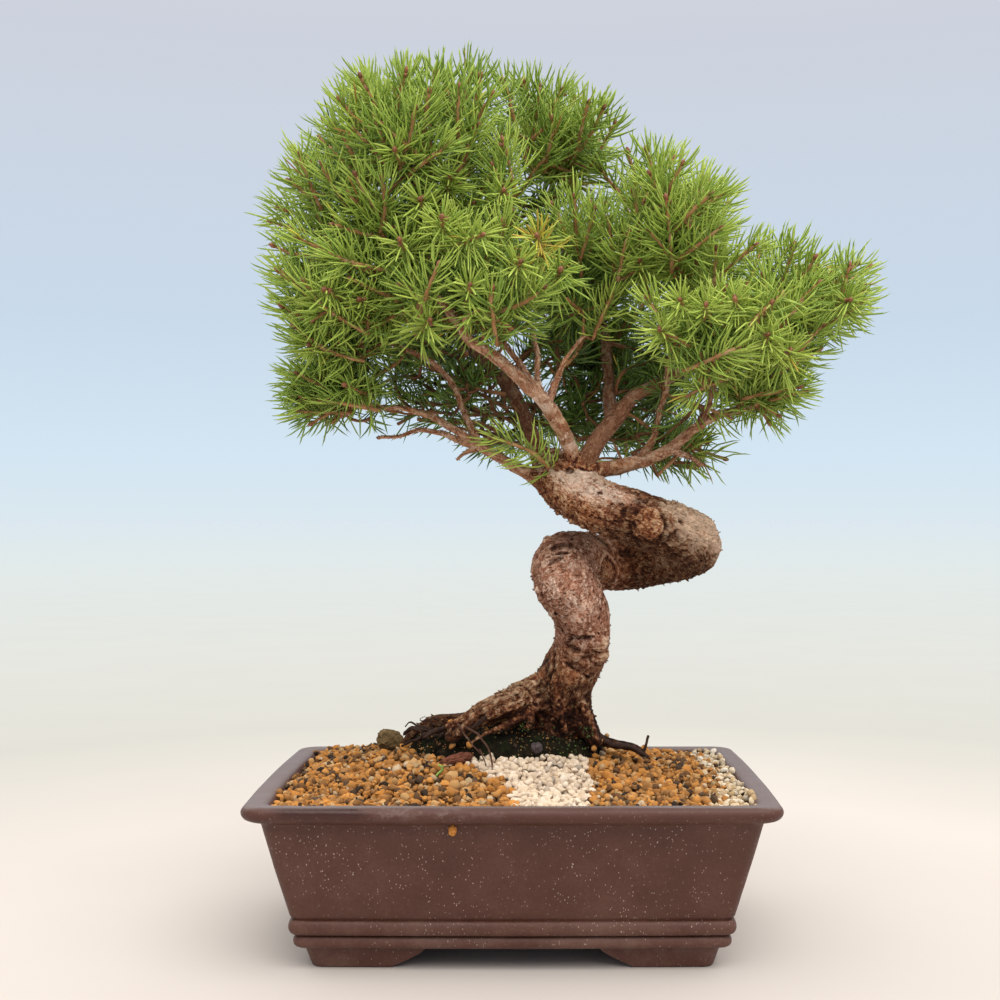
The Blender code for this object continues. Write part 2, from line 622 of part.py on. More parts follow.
def parting(c1, h1, c2, h2):
    """Point and direction of the plane that parts two clumps, nearer the smaller one."""
    away = c2 - c1
    reach = [1 / math.sqrt(sum((a / h) ** 2 for a, h in zip(away.normalized(), hs))) for hs in (h1, h2)]
    share = reach[0] / (reach[0] + reach[1])
    return c1 + away * share, away.normalized()


clumps = {name: clump(name, k) for k, name in enumerate(FOLIAGE)}
for name, (bm, mid, half) in clumps.items():
    for other, (_, mid2, half2) in clumps.items():
        if other == name:
            continue
        point, normal = parting(mid, half, mid2, half2)
        cut = bmesh.ops.bisect_plane(
            bm,
            geom=list(bm.verts) + list(bm.edges) + list(bm.faces),
            plane_co=(point - normal * GAP) * MM,
            plane_no=normal,
            clear_outer=True,
        )
        rim = [e for e in cut["geom_cut"] if isinstance(e, bmesh.types.BMEdge)]
        if rim:
            bmesh.ops.holes_fill(bm, edges=rim)
for name, (bm, _, _) in clumps.items():
    ob = place(name, mesh_of(bm, name), NEEDLES)
    combine(ob, [tree_cutter()], "DIFFERENCE")
    tidy(ob)

# --- origin: middle of the whole object's footprint box, on the ground ------------------
bpy.context.view_layer.update()
deps = bpy.context.evaluated_depsgraph_get()
low, high = Vector((1e9,) * 3), Vector((-1e9,) * 3)
for ob in parts.objects:
    if ob.type != "MESH":
        continue
    for vert in ob.evaluated_get(deps).to_mesh().vertices:
        p = ob.matrix_world @ vert.co
        low = Vector(map(min, low, p))
        high = Vector(map(max, high, p))
base.location = (-(low.x + high.x) / 2, -(low.y + high.y) / 2, -low.z)
for me in [m for m in bpy.data.meshes if m.users <= 1 and m.use_fake_user]:
    me.use_fake_user = False
    bpy.data.meshes.remove(me)
bpy.context.view_layer.update()
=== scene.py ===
import math

import bmesh
import bpy
import numpy as np
from mathutils import Matrix, Vector
from mathutils.bvhtree import BVHTree
from mathutils.kdtree import KDTree


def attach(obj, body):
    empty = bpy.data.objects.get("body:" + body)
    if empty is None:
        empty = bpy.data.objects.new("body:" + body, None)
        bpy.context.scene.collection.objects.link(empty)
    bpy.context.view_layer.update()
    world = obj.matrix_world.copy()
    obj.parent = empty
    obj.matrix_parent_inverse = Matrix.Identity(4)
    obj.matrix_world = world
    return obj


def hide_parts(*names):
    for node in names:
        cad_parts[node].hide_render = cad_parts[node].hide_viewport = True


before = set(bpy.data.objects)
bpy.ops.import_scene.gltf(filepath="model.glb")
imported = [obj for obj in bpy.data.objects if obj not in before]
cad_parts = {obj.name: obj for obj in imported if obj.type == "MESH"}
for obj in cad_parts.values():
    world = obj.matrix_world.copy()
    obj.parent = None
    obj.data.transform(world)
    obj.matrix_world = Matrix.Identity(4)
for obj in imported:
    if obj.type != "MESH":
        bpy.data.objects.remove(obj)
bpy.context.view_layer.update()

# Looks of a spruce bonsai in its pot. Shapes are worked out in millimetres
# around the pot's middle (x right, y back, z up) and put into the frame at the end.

MM = 0.001
SHIFT = np.array((-24.228, -6.942, 0.0))  # the pot's middle in the frame, mm
EYE = np.array((6.2, -616.0, 180.5))
FOCAL, CENTRE_U, HORIZON_V = 1400.0, 528.0, 520.0
rng = np.random.default_rng(11)


def fp(u, v, d):
    """The point at depth d on the sight line through u, v of the front elevation."""
    k = (d - EYE[1]) / FOCAL
    return np.array((EYE[0] + (u - CENTRE_U) * k, d, EYE[2] - (v - HORIZON_V) * k))


def to_uv(p):
    k = (p[:, 1] - EYE[1]) / FOCAL
    return np.stack((CENTRE_U + (p[:, 0] - EYE[0]) / k, HORIZON_V - (p[:, 2] - EYE[2]) / k), 1)


# --- noise ---------------------------------------------------------------------
def _hash(ix, iy, iz, seed):
    n = (ix * 73856093) ^ (iy * 19349663) ^ (iz * 83492791) ^ (seed * 40503 + 7919)
    n = (n ^ (n >> 13)) * 1274126177
    n = (n & 0x7FFFFFFF) ^ ((n >> 15) & 0xFFFF)
    return (n & 0xFFFF) / 32767.5 - 1.0


def perlin(p, seed=0):
    """Gradient noise at rows of p, about -1..1."""
    i = np.floor(p).astype(np.int64)
    f = p - i
    w = f * f * f * (f * (f * 6 - 15) + 10)
    out = np.zeros(len(p))
    for dx in (0, 1):
        for dy in (0, 1):
            for dz in (0, 1):
                a, b, c = i[:, 0] + dx, i[:, 1] + dy, i[:, 2] + dz
                g = (
                    _hash(a, b, c, seed) * (f[:, 0] - dx)
                    + _hash(a, b, c, seed + 101) * (f[:, 1] - dy)
                    + _hash(a, b, c, seed + 202) * (f[:, 2] - dz)
                )
                wx = w[:, 0] if dx else 1 - w[:, 0]
                wy = w[:, 1] if dy else 1 - w[:, 1]
                wz = w[:, 2] if dz else 1 - w[:, 2]
                out += g * wx * wy * wz
    return out * 1.5


def fbm(p, octaves=4, seed=0, gain=0.5):
    out, amp, total = np.zeros(len(p)), 1.0, 0.0
    for k in range(octaves):
        out += amp * perlin(p * 2.0**k + 17.3 * k, seed + k)
        total += amp
        amp *= gain
    return out / total


def cells(p, seed=0):
    """Nearest and second nearest distance to one random point per cell, and that cell's own number."""
    i = np.floor(p).astype(np.int64)
    f1, f2 = np.full(len(p), 9.0), np.full(len(p), 9.0)
    own = np.zeros(len(p))
    for dx in (-1, 0, 1):
        for dy in (-1, 0, 1):
            for dz in (-1, 0, 1):
                a, b, c = i[:, 0] + dx, i[:, 1] + dy, i[:, 2] + dz
                q = np.stack(
                    (a + 0.5 + 0.45 * _hash(a, b, c, seed), b + 0.5 + 0.45 * _hash(a, b, c, seed + 1), c + 0.5 + 0.45 * _hash(a, b, c, seed + 2)), 1
                )
                d = np.linalg.norm(p - q, axis=1)
                near = d < f1
                f2 = np.where(near, f1, np.minimum(f2, d))
                own = np.where(near, _hash(a, b, c, seed + 3), own)
                f1 = np.where(near, d, f1)
    return f1, f2, own


def step(lo, hi, x):
    t = np.clip((x - lo) / (hi - lo), 0, 1)
    return t * t * (3 - 2 * t)


def unit(v):
    return v / np.maximum(np.linalg.norm(v, axis=-1, keepdims=True), 1e-9)


# --- meshes --------------------------------------------------------------------
def raw_mesh(name, verts, quads=None, tris=None, place=True):
    q = np.zeros((0, 4), int) if quads is None or len(quads) == 0 else np.asarray(quads)
    t = np.zeros((0, 3), int) if tris is None or len(tris) == 0 else np.asarray(tris)
    lv = np.concatenate([q.ravel(), t.ravel()]).astype(np.int32)
    ls = np.concatenate([np.arange(len(q)) * 4, len(q) * 4 + np.arange(len(t)) * 3]).astype(np.int32)
    me = bpy.data.meshes.new(name)
    me.vertices.add(len(verts))
    co = (np.asarray(verts, float) + SHIFT) * MM if place else np.asarray(verts, float)
    me.vertices.foreach_set("co", co.astype(np.float32).ravel())
    me.loops.add(len(lv))
    me.loops.foreach_set("vertex_index", lv)
    me.polygons.add(len(ls))
    me.polygons.foreach_set("loop_start", ls)
    me.update(calc_edges=True)
    return me, lv


def piece(name, me, mat, nodes=(), smooth=True, sharp=None):
    ob = bpy.data.objects.new(name, me)
    bpy.context.scene.collection.objects.link(ob)
    me.materials.clear()
    me.materials.append(mat)
    if smooth:
        me.shade_smooth()
        if sharp:
            me.set_sharp_from_angle(angle=math.radians(sharp))
    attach(ob, "root")
    if nodes:
        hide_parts(*nodes)
    return ob


def made(name, verts, quads, tris, mat, nodes=(), uv=None, smooth=True, attrs=None, sharp=None):
    me, lv = raw_mesh(name, verts, quads, tris)
    if uv is not None:
        layer = me.uv_layers.new(name="OFBake")
        layer.data.foreach_set("uv", np.clip(uv[lv], 0.001, 0.999).astype(np.float32).ravel())
    for key, values in (attrs or {}).items():
        at = me.attributes.new(key, "FLOAT", "POINT")
        at.data.foreach_set("value", values.astype(np.float32))
    return piece(name, me, mat, nodes, smooth, sharp)


class Bag:
    """Collects vertices and faces of many small bodies for one mesh."""

    def __init__(self):
        self.v, self.q, self.t, self.uv, self.n = [], [], [], [], 0

    def add(self, v, q=None, t=None, uv=None):
        self.v.append(v)
        if q is not None and len(q):
            self.q.append(np.asarray(q) + self.n)
        if t is not None and len(t):
            self.t.append(np.asarray(t) + self.n)
        self.uv.append(np.zeros((len(v), 2)) if uv is None else uv)
        self.n += len(v)

    def arrays(self):
        return (
            np.concatenate(self.v),
            np.concatenate(self.q) if self.q else np.zeros((0, 4), int),
            np.concatenate(self.t) if self.t else np.zeros((0, 3), int),
            np.concatenate(self.uv),
        )

    def tri_count(self):
        return sum(len(q) for q in self.q) * 2 + sum(len(t) for t in self.t)


def curve(rows, step_mm):
    """Even rows on a smooth curve through rows of any width whose first three columns are a place."""
    p = np.asarray(rows, float)
    ends = np.vstack((p[0] * 2 - p[1], p, p[-1] * 2 - p[-2]))
    t = np.arange(16)[:, None] / 16
    dense = []
    for k in range(1, len(ends) - 2):
        p0, p1, p2, p3 = ends[k - 1 : k + 3]
        dense.append(0.5 * (2 * p1 + (p2 - p0) * t + (2 * p0 - 5 * p1 + 4 * p2 - p3) * t**2 + (3 * p1 - p0 - 3 * p2 + p3) * t**3))
    dense = np.vstack(dense + [ends[-2:-1]])
    s = np.concatenate(([0.0], np.cumsum(np.linalg.norm(np.diff(dense[:, :3], axis=0), axis=1))))
    n = max(3, int(round(s[-1] / step_mm)) + 1)
    at = np.linspace(0, s[-1], n)
    return np.stack([np.interp(at, s, dense[:, c]) for c in range(p.shape[1])], 1)


def frames(path):
    """Tangent and two side directions along a path, without sudden turns."""
    tan = unit(np.gradient(path, axis=0))
    n = len(path)
    nor = np.zeros((n, 3))
    ref = np.array((0.0, 0.0, 1.0)) if abs(tan[0, 2]) < 0.8 else np.array((1.0, 0.0, 0.0))
    nor[0] = unit(np.cross(tan[0], ref))
    for i in range(1, n):
        v = nor[i - 1] - tan[i] * nor[i - 1].dot(tan[i])
        nor[i] = v / max(np.linalg.norm(v), 1e-9)
    return tan, nor, np.cross(tan, nor)


def sweep(path, radius, sides, cap=True, wob=None):
    """A bar along the path; wob scales each ring point's radius (rings x sides)."""
    tan, nor, bi = frames(path)
    a = np.arange(sides) / sides * 2 * np.pi
    r = np.broadcast_to(np.asarray(radius, float), (len(path),))[:, None] * (1.0 if wob is None else wob)
    v = path[:, None] + r[..., None] * (np.cos(a)[None, :, None] * nor[:, None] + np.sin(a)[None, :, None] * bi[:, None])
    v = v.reshape(-1, 3)
    m = len(path)
    i, j = np.meshgrid(np.arange(m - 1), np.arange(sides), indexing="ij")
    jj = (j + 1) % sides
    q = np.stack((i * sides + j, i * sides + jj, (i + 1) * sides + jj, (i + 1) * sides + j), -1).reshape(-1, 4)
    t = np.zeros((0, 3), int)
    if cap:
        rr = np.broadcast_to(np.asarray(radius, float), (len(path),))
        v = np.vstack((v, path[0] - tan[0] * rr[0] * 0.6, path[-1] + tan[-1] * rr[-1] * 0.6))
        k = np.arange(sides)
        kk = (k + 1) % sides
        b, e = m * sides, m * sides + 1
        t = np.vstack((np.stack((np.full(sides, b), kk, k), 1), np.stack((np.full(sides, e), (m - 1) * sides + k, (m - 1) * sides + kk), 1)))
    return v, q, t


# --- shader building -----------------------------------------------------------
class Look:
    """A material put together from nodes."""

    def __init__(self, name, rough=0.8, specular=0.3):
        self.m = bpy.data.materials.new(name)
        self.m.use_nodes = True
        self.nt = self.m.node_tree
        self.p = self.nt.nodes["Principled BSDF"]
        self.p.inputs["Roughness"].default_value = rough
        self.p.inputs["Specular IOR Level"].default_value = specular
        self.coords = self.nt.nodes.new("ShaderNodeTexCoord")

    def put(self, sock, value):
        if isinstance(value, bpy.types.NodeSocket):
            self.nt.links.new(value, sock)
        elif isinstance(value, (tuple, list)) and len(value) == 3 and sock.type == "RGBA":
            sock.default_value = (*value, 1.0)
        else:
            sock.default_value = value

    def attr(self, name, out="Fac"):
        n = self.nt.nodes.new("ShaderNodeAttribute")
        n.attribute_name = name
        return n.outputs[out]

    def place(self, scale=(1, 1, 1)):
        n = self.nt.nodes.new("ShaderNodeMapping")
        self.nt.links.new(self.coords.outputs["Object"], n.inputs["Vector"])
        n.inputs["Scale"].default_value = scale
        return n.outputs["Vector"]

    def height(self):
        n = self.nt.nodes.new("ShaderNodeSeparateXYZ")
        self.nt.links.new(self.coords.outputs["Object"], n.inputs[0])
        return n.outputs["X"], n.outputs["Y"], n.outputs["Z"]

    def uv(self):
        n = self.nt.nodes.new("ShaderNodeUVMap")
        n.uv_map = "OFBake"
        s = self.nt.nodes.new("ShaderNodeSeparateXYZ")
        self.nt.links.new(n.outputs["UV"], s.inputs[0])
        return s.outputs["X"], s.outputs["Y"]

    def noise(self, scale, detail=4.0, rough=0.6, at=None, distortion=0.0):
        n = self.nt.nodes.new("ShaderNodeTexNoise")
        self.nt.links.new(at or self.coords.outputs["Object"], n.inputs["Vector"])
        n.inputs["Scale"].default_value = scale
        n.inputs["Detail"].default_value = detail
        n.inputs["Roughness"].default_value = rough
        n.inputs["Distortion"].default_value = distortion
        return n.outputs["Fac"]

    def voronoi(self, scale, at=None, feature="F1", out="Distance"):
        n = self.nt.nodes.new("ShaderNodeTexVoronoi")
        n.feature = feature
        self.nt.links.new(at or self.coords.outputs["Object"], n.inputs["Vector"])
        n.inputs["Scale"].default_value = scale
        return n.outputs[out]

    def ramp(self, fac, stops, mode="LINEAR"):
        n = self.nt.nodes.new("ShaderNodeValToRGB")
        n.color_ramp.interpolation = mode
        els = n.color_ramp.elements
        while len(els) > 1:
            els.remove(els[-1])
        for k, (pos, col) in enumerate(stops):
            e = els[0] if k == 0 else els.new(pos)
            e.position = pos
            e.color = (*col, 1.0) if isinstance(col, tuple) else (col, col, col, 1.0)
        self.nt.links.new(fac, n.inputs["Fac"])
        return n.outputs["Color"]

    def mix(self, a, b, fac, mode="MIX"):
        n = self.nt.nodes.new("ShaderNodeMix")
        n.data_type = "RGBA"
        n.blend_type = mode
        ins = {s.identifier: s for s in n.inputs}
        self.put(ins["Factor_Float"], fac)
        self.put(ins["A_Color"], a)
        self.put(ins["B_Color"], b)
        return next(o for o in n.outputs if o.identifier == "Result_Color")

    def math(self, op, a, b=0.0, clamp=False):
        n = self.nt.nodes.new("ShaderNodeMath")
        n.operation = op
        n.use_clamp = clamp
        self.put(n.inputs[0], a)
        self.put(n.inputs[1], b)
        return n.outputs[0]

    def span(self, x, lo, hi, a=0.0, b=1.0):
        n = self.nt.nodes.new("ShaderNodeMapRange")
        n.clamp = True
        self.put(n.inputs["Value"], x)
        for key, val in (("From Min", lo), ("From Max", hi), ("To Min", a), ("To Max", b)):
            n.inputs[key].default_value = val
        return n.outputs["Result"]

    def bump(self, height, strength=0.5, distance=0.0003):
        n = self.nt.nodes.new("ShaderNodeBump")
        n.inputs["Strength"].default_value = strength
        n.inputs["Distance"].default_value = distance
        self.nt.links.new(height, n.inputs["Height"])
        self.nt.links.new(n.outputs["Normal"], self.p.inputs["Normal"])

    def done(self, colour, rough=None):
        self.put(self.p.inputs["Base Color"], colour)
        if rough is not None:
            self.put(self.p.inputs["Roughness"], rough)
        return self.m


def ceramic_look():
    k = Look("ceramic_unglazed", 0.5, 0.32)
    x, y, z = k.height()
    cloud = k.noise(38, 5, 0.62)
    grain = k.noise(900, 3, 0.6)
    base = k.ramp(k.math("ADD", k.math("MULTIPLY", cloud, 0.7), k.math("MULTIPLY", grain, 0.3)),
                  [(0.3, (0.060, 0.0215, 0.0140)), (0.5, (0.088, 0.0335, 0.0220)), (0.72, (0.125, 0.055, 0.040))])
    # the ledge on top of the rim is greyer
    ledge = k.math("MULTIPLY", k.span(z, 0.0677, 0.0689), 0.9)
    base = k.mix(base, (0.172, 0.131, 0.127), ledge)
    # cream flecks in the clay: short strokes, upright or aslant
    picks = None
    for scale, lean, size, share in ((450, (0.0, 0.5, 0.0), 0.120, 0.47), (340, (0.5, -0.9, 0.0), 0.100, 0.56), (210, (0.2, 1.2, 0.3), 0.072, 0.56), (660, (0.9, -0.3, 0.0), 0.155, 0.57)):
        n = k.nt.nodes.new("ShaderNodeMapping")
        k.nt.links.new(k.coords.outputs["Object"], n.inputs["Vector"])
        n.inputs["Scale"].default_value = (1.45, 1.45, 0.72)
        n.inputs["Rotation"].default_value = lean
        at = n.outputs["Vector"]
        d = k.span(k.voronoi(scale, at), size * 0.75, size, 1.0, 0.0)
        on = k.nt.nodes.new("ShaderNodeSeparateColor")
        k.nt.links.new(k.voronoi(scale, at, "F1", "Color"), on.inputs[0])
        f = k.math("MULTIPLY", d, k.math("GREATER_THAN", on.outputs[0], share))
        picks = f if picks is None else k.math("MAXIMUM", picks, f)
    where = k.span(k.noise(30, 3, 0.6), 0.40, 0.56, 0.25, 1.0)
    base = k.mix(base, (0.50, 0.385, 0.31), k.math("MULTIPLY", k.math("MULTIPLY", picks, where), 0.95))
    # mineral bloom along the front band of the rim and in the grooves
    band = k.math("MULTIPLY", k.span(z, 0.0630, 0.0670), k.span(y, -0.0815, -0.0795, 1.0, 0.0))
    patches = k.span(k.noise(26, 6, 0.75, k.place((1.0, 1.0, 2.2))), 0.54, 0.68)
    fine = k.span(k.noise(420, 4, 0.7), 0.42, 0.62)
    bloom = k.math("MULTIPLY", k.math("MULTIPLY", band, patches), k.math("ADD", k.math("MULTIPLY", fine, 0.20), 0.03))
    base = k.mix(base, (0.078, 0.027, 0.019), k.math("MULTIPLY", band, 0.78))
    base = k.mix(base, (0.60, 0.50, 0.46), bloom)
    wet = k.math("MULTIPLY", k.span(x, -0.1190, -0.1120), k.span(x, -0.0840, -0.0770, 1.0, 0.0))
    wet = k.math("MULTIPLY", wet, k.math("MULTIPLY", band, k.span(k.noise(90, 4, 0.7, k.place((0.35, 1.0, 1.8))), 0.46, 0.54)))
    base = k.mix(base, (0.040, 0.012, 0.009), k.math("MULTIPLY", wet, 0.9))
    dust = k.math("MULTIPLY", k.span(k.noise(55, 5, 0.7), 0.45, 0.7), 0.22)
    low = k.math("MULTIPLY", k.span(z, 0.010, 0.030, 1.0, 0.0), dust)
    base = k.mix(base, (0.30, 0.20, 0.16), low)
    k.bump(k.math("ADD", k.noise(700, 4, 0.65), k.math("MULTIPLY", cloud, 0.6)), 0.40, 0.0004)
    return k.done(base, k.math("SUBTRACT", k.span(cloud, 0.3, 0.7, 0.42, 0.58), k.math("MULTIPLY", wet, 0.28)))


def bark_look():
    """Strokes, flakes and scars follow the limb: bark_co runs along and around it in mm."""
    k = Look("bark_flaking", 0.82, 0.16)
    h, tint, dark, cross = k.attr("bark_h"), k.attr("bark_tint"), k.attr("bark_dark"), k.attr("bark_cross")
    calm, tone = k.attr("bark_calm"), k.attr("bark_tone")
    wild = k.math("SUBTRACT", 1.0, k.math("MULTIPLY", calm, 0.80))
    co = k.attr("bark_co", "Vector")
    swirl = k.nt.nodes.new("ShaderNodeTexNoise")
    swirl.inputs["Scale"].default_value, swirl.inputs["Detail"].default_value = 0.42, 3.0
    k.nt.links.new(co, swirl.inputs["Vector"])
    push = k.nt.nodes.new("ShaderNodeVectorMath")
    push.operation = "MULTIPLY_ADD"
    push.inputs[1].default_value = (2.6, 2.6, 2.6)
    k.nt.links.new(swirl.outputs["Color"], push.inputs[0])
    k.nt.links.new(co, push.inputs[2])
    warped = push.outputs[0]

    def scaled(x, y, z):
        n = k.nt.nodes.new("ShaderNodeMapping")
        k.nt.links.new(warped, n.inputs["Vector"])
        n.inputs["Scale"].default_value = (x, y, z)
        return n.outputs["Vector"]

    along = k.noise(1.0, 6, 0.70, scaled(0.36, 1.25, 1.25))
    across = k.noise(1.0, 6, 0.70, scaled(1.25, 0.50, 0.50))
    stroke = k.math("ADD", k.math("MULTIPLY", along, k.math("SUBTRACT", 1.0, cross)), k.math("MULTIPLY", across, cross))
    patch = k.noise(0.22, 4, 0.6, warped)
    plates = scaled(0.42, 0.85, 0.85)
    edge = k.voronoi(1.0, plates, "DISTANCE_TO_EDGE")
    seam = k.math("MULTIPLY", k.span(edge, 0.0, 0.085, 1.0, 0.0), k.span(patch, 0.40, 0.56, 0.15, 1.0))
    own = k.nt.nodes.new("ShaderNodeSeparateColor")
    k.nt.links.new(k.voronoi(1.0, plates, "F1", "Color"), own.inputs[0])
    scars = k.math("MULTIPLY", k.span(k.voronoi(1.0, scaled(0.80, 0.34, 0.34)), 0.15, 0.30, 1.0, 0.0), k.span(patch, 0.36, 0.52, 0.25, 1.0))
    thin1 = k.math("ABSOLUTE", k.math("SUBTRACT", k.noise(1.0, 3, 0.55, scaled(0.21, 0.70, 0.70)), 0.5))
    thin2 = k.math("ABSOLUTE", k.math("SUBTRACT", k.noise(1.0, 3, 0.55, scaled(0.62, 0.24, 0.24)), 0.5))
    cracks = k.math("ADD", k.math("MULTIPLY", k.span(thin1, 0.0, 0.020, 1.0, 0.0), k.math("SUBTRACT", 1.0, cross)),
                    k.math("MULTIPLY", k.span(thin2, 0.0, 0.017, 0.8, 0.0), cross))
    cracks = k.math("MULTIPLY", cracks, k.math("MULTIPLY", wild, k.span(patch, 0.38, 0.55, 0.30, 1.0)))
    dots = k.span(k.voronoi(1.0, scaled(0.62, 0.62, 0.62)), 0.10, 0.20, 1.0, 0.0)
    fine = k.noise(2.1, 4, 0.75, co)
    lift = k.math("ADD", k.math("MULTIPLY", h, 0.62), k.math("MULTIPLY", k.math("SUBTRACT", stroke, 0.5), k.math("MULTIPLY", wild, 1.45)))
    lift = k.math("ADD", lift, k.math("MULTIPLY", k.math("SUBTRACT", own.outputs[0], 0.5), 0.20))
    lift = k.math("ADD", lift, k.math("MULTIPLY", k.math("SUBTRACT", fine, 0.5), k.math("ADD", 0.35, k.math("MULTIPLY", wild, 0.50))))
    lift = k.math("ADD", lift, k.math("MULTIPLY", k.math("SUBTRACT", patch, 0.5), k.math("MULTIPLY", wild, 0.50)))
    lift = k.math("SUBTRACT", lift, k.math("MULTIPLY", k.math("MULTIPLY", seam, wild), k.math("SUBTRACT", 0.26, k.math("MULTIPLY", cross, 0.14))))
    lift = k.math("SUBTRACT", lift, k.math("MULTIPLY", cracks, 0.44))
    lift = k.math("ADD", lift, k.math("MULTIPLY", calm, 0.05))
    lift = k.math("SUBTRACT", lift, k.math("MULTIPLY", k.math("MULTIPLY", scars, cross), 0.50))
    lift = k.math("SUBTRACT", lift, k.math("MULTIPLY", dots, 0.20))
    # bark_tone is partly the bark's own paler patches and partly painted light on the coil tops, its right turn and the
    # root ridge crowns, with painted shade on the back limbs
    lift = k.math("ADD", lift, k.math("MULTIPLY", tone, 0.62))
    lift = k.math("ADD", k.math("MULTIPLY", lift, 1.20), 0.215, True)
    warm = k.ramp(lift, [(0.0, (0.021, 0.0048, 0.0024)), (0.20, (0.080, 0.0165, 0.0065)), (0.40, (0.210, 0.054, 0.0190)),
                         (0.60, (0.39, 0.135, 0.049)), (0.80, (0.57, 0.265, 0.112)), (1.0, (0.74, 0.46, 0.26))])
    pink = k.ramp(lift, [(0.0, (0.042, 0.013, 0.0075)), (0.20, (0.155, 0.049, 0.026)), (0.40, (0.330, 0.128, 0.072)),
                         (0.60, (0.505, 0.230, 0.143)), (0.80, (0.70, 0.385, 0.265)), (1.0, (0.90, 0.65, 0.51))])
    base = k.mix(warm, pink, tint)
    # bark_dark is partly the bark's own dark (furrows, seams, lichen, stains) and partly painted shade on undersides,
    # beside root ridges, on the rear stretch and on the back limbs
    base = k.mix(base, (0.014, 0.0056, 0.0034), k.math("MULTIPLY", dark, k.span(stroke, 0.34, 0.62, 1.0, 0.62)))
    rise = k.math("ADD", k.math("MULTIPLY", fine, 0.35), k.math("ADD", stroke, k.math("MULTIPLY", own.outputs[0], 0.30)))
    rise = k.math("SUBTRACT", rise, k.math("ADD", k.math("MULTIPLY", seam, 0.45), k.math("MULTIPLY", k.math("MULTIPLY", scars, cross), 0.45)))
    rise = k.math("SUBTRACT", rise, k.math("MULTIPLY", cracks, 0.5))
    k.bump(rise, 0.95, 0.0011)
    return k.done(base, k.span(stroke, 0.3, 0.7, 0.70, 0.88))


def twig_look(name="twig_bark"):
    """Colour from the strip map: across is the tone, up is the place along."""
    k = Look(name, 0.66, 0.3)
    u, v = k.uv()
    base = k.ramp(u, [(0.0, (0.050, 0.020, 0.011)), (0.25, (0.155, 0.064, 0.030)), (0.5, (0.32, 0.142, 0.060)),
                      (0.75, (0.47, 0.225, 0.095)), (1.0, (0.62, 0.38, 0.22))])
    base = k.mix(base, (0.10, 0.040, 0.022), k.math("MULTIPLY", k.span(v, 0.0, 0.35, 1.0, 0.0), 0.5))
    k.bump(k.noise(1500, 3, 0.6), 0.4, 0.0003)
    return k.done(base)


def needle_look():
    k = Look("spruce_needles", 0.5, 0.30)
    u, v = k.uv()
    base = k.ramp(u, [(0.0, (0.020, 0.048, 0.013)), (0.22, (0.055, 0.110, 0.026)), (0.42, (0.118, 0.205, 0.042)),
                      (0.60, (0.225, 0.345, 0.060)), (0.76, (0.365, 0.490, 0.080)), (0.88, (0.500, 0.610, 0.115)),
                      (0.94, (0.66, 0.55, 0.070)), (0.97, (0.50, 0.30, 0.06)), (1.0, (0.24, 0.085, 0.035))])
    # painted shade: each needle is darker towards its base, where it sits inside the shoot
    base = k.mix(base, (0.055, 0.095, 0.024), k.math("MULTIPLY", k.span(v, 0.0, 0.34, 1.0, 0.0), 0.60))
    base = k.mix(base, (0.52, 0.55, 0.14), k.math("MULTIPLY", k.span(v, 0.80, 1.0), 0.16))
    k.p.inputs["Subsurface Weight"].default_value = 0.0
    return k.done(base, k.span(u, 0.0, 1.0, 0.42, 0.52))


def bud_look():
    k = Look("scaled_buds", 0.55, 0.35)
    u, v = k.uv()
    base = k.ramp(u, [(0.0, (0.075, 0.024, 0.013)), (0.35, (0.20, 0.066, 0.032)), (0.7, (0.36, 0.130, 0.068)), (1.0, (0.52, 0.25, 0.16))])
    base = k.mix(base, (0.46, 0.26, 0.18), k.math("MULTIPLY", k.span(v, 0.6, 1.0), 0.3))
    k.bump(k.noise(2200, 2, 0.5), 0.3, 0.0002)
    return k.done(base)


def grain_look(name, stops, low=0.30):
    """Colour from the strip map: across is the grain's own tone, up its height."""
    k = Look(name, 0.9, 0.18)
    u, v = k.uv()
    base = k.ramp(u, stops)
    # painted shade: each grain is darker towards its bottom, where it sits among the others
    shade = k.ramp(v, [(0.0, low), (0.45, 0.8), (1.0, 1.0)])
    base = k.mix(base, shade, 1.0, "MULTIPLY")
    k.bump(k.noise(1700, 4, 0.7), 0.65, 0.0005)
    return k.done(base, k.span(u, 0.0, 1.0, 0.86, 0.94))


def soil_look():
    k = Look("mossy_soil", 0.95, 0.12)
    dark = k.attr("moss")
    a = k.noise(260, 6, 0.7)
    b = k.noise(1100, 4, 0.7)
    base = k.ramp(a, [(0.32, (0.003, 0.0022, 0.0014)), (0.5, (0.009, 0.0058, 0.0034)), (0.62, (0.022, 0.014, 0.008)), (0.8, (0.075, 0.046, 0.024))])
    moss = k.ramp(b, [(0.3, (0.003, 0.005, 0.002)), (0.55, (0.011, 0.019, 0.005)), (0.75, (0.055, 0.085, 0.015))])
    base = k.mix(base, moss, dark)
    specks = k.math("MULTIPLY", k.span(k.voronoi(700), 0.10, 0.2, 1.0, 0.0), k.span(k.noise(150, 3), 0.55, 0.62))
    base = k.mix(base, (0.24, 0.18, 0.12), k.math("MULTIPLY", specks, 0.5))
    k.bump(k.math("ADD", a, k.math("MULTIPLY", b, 0.6)), 0.8, 0.0008)
    return k.done(base)


def rock_look(name, stops, scale=300, rough=0.92):
    k = Look(name, rough, 0.2)
    a = k.noise(scale, 6, 0.68)
    b = k.noise(scale * 4, 3, 0.6)
    base = k.ramp(k.math("ADD", k.math("MULTIPLY", a, 0.7), k.math("MULTIPLY", b, 0.3)), stops)
    k.bump(k.math("ADD", a, k.math("MULTIPLY", b, 0.5)), 0.7, 0.0006)
    return k.done(base)


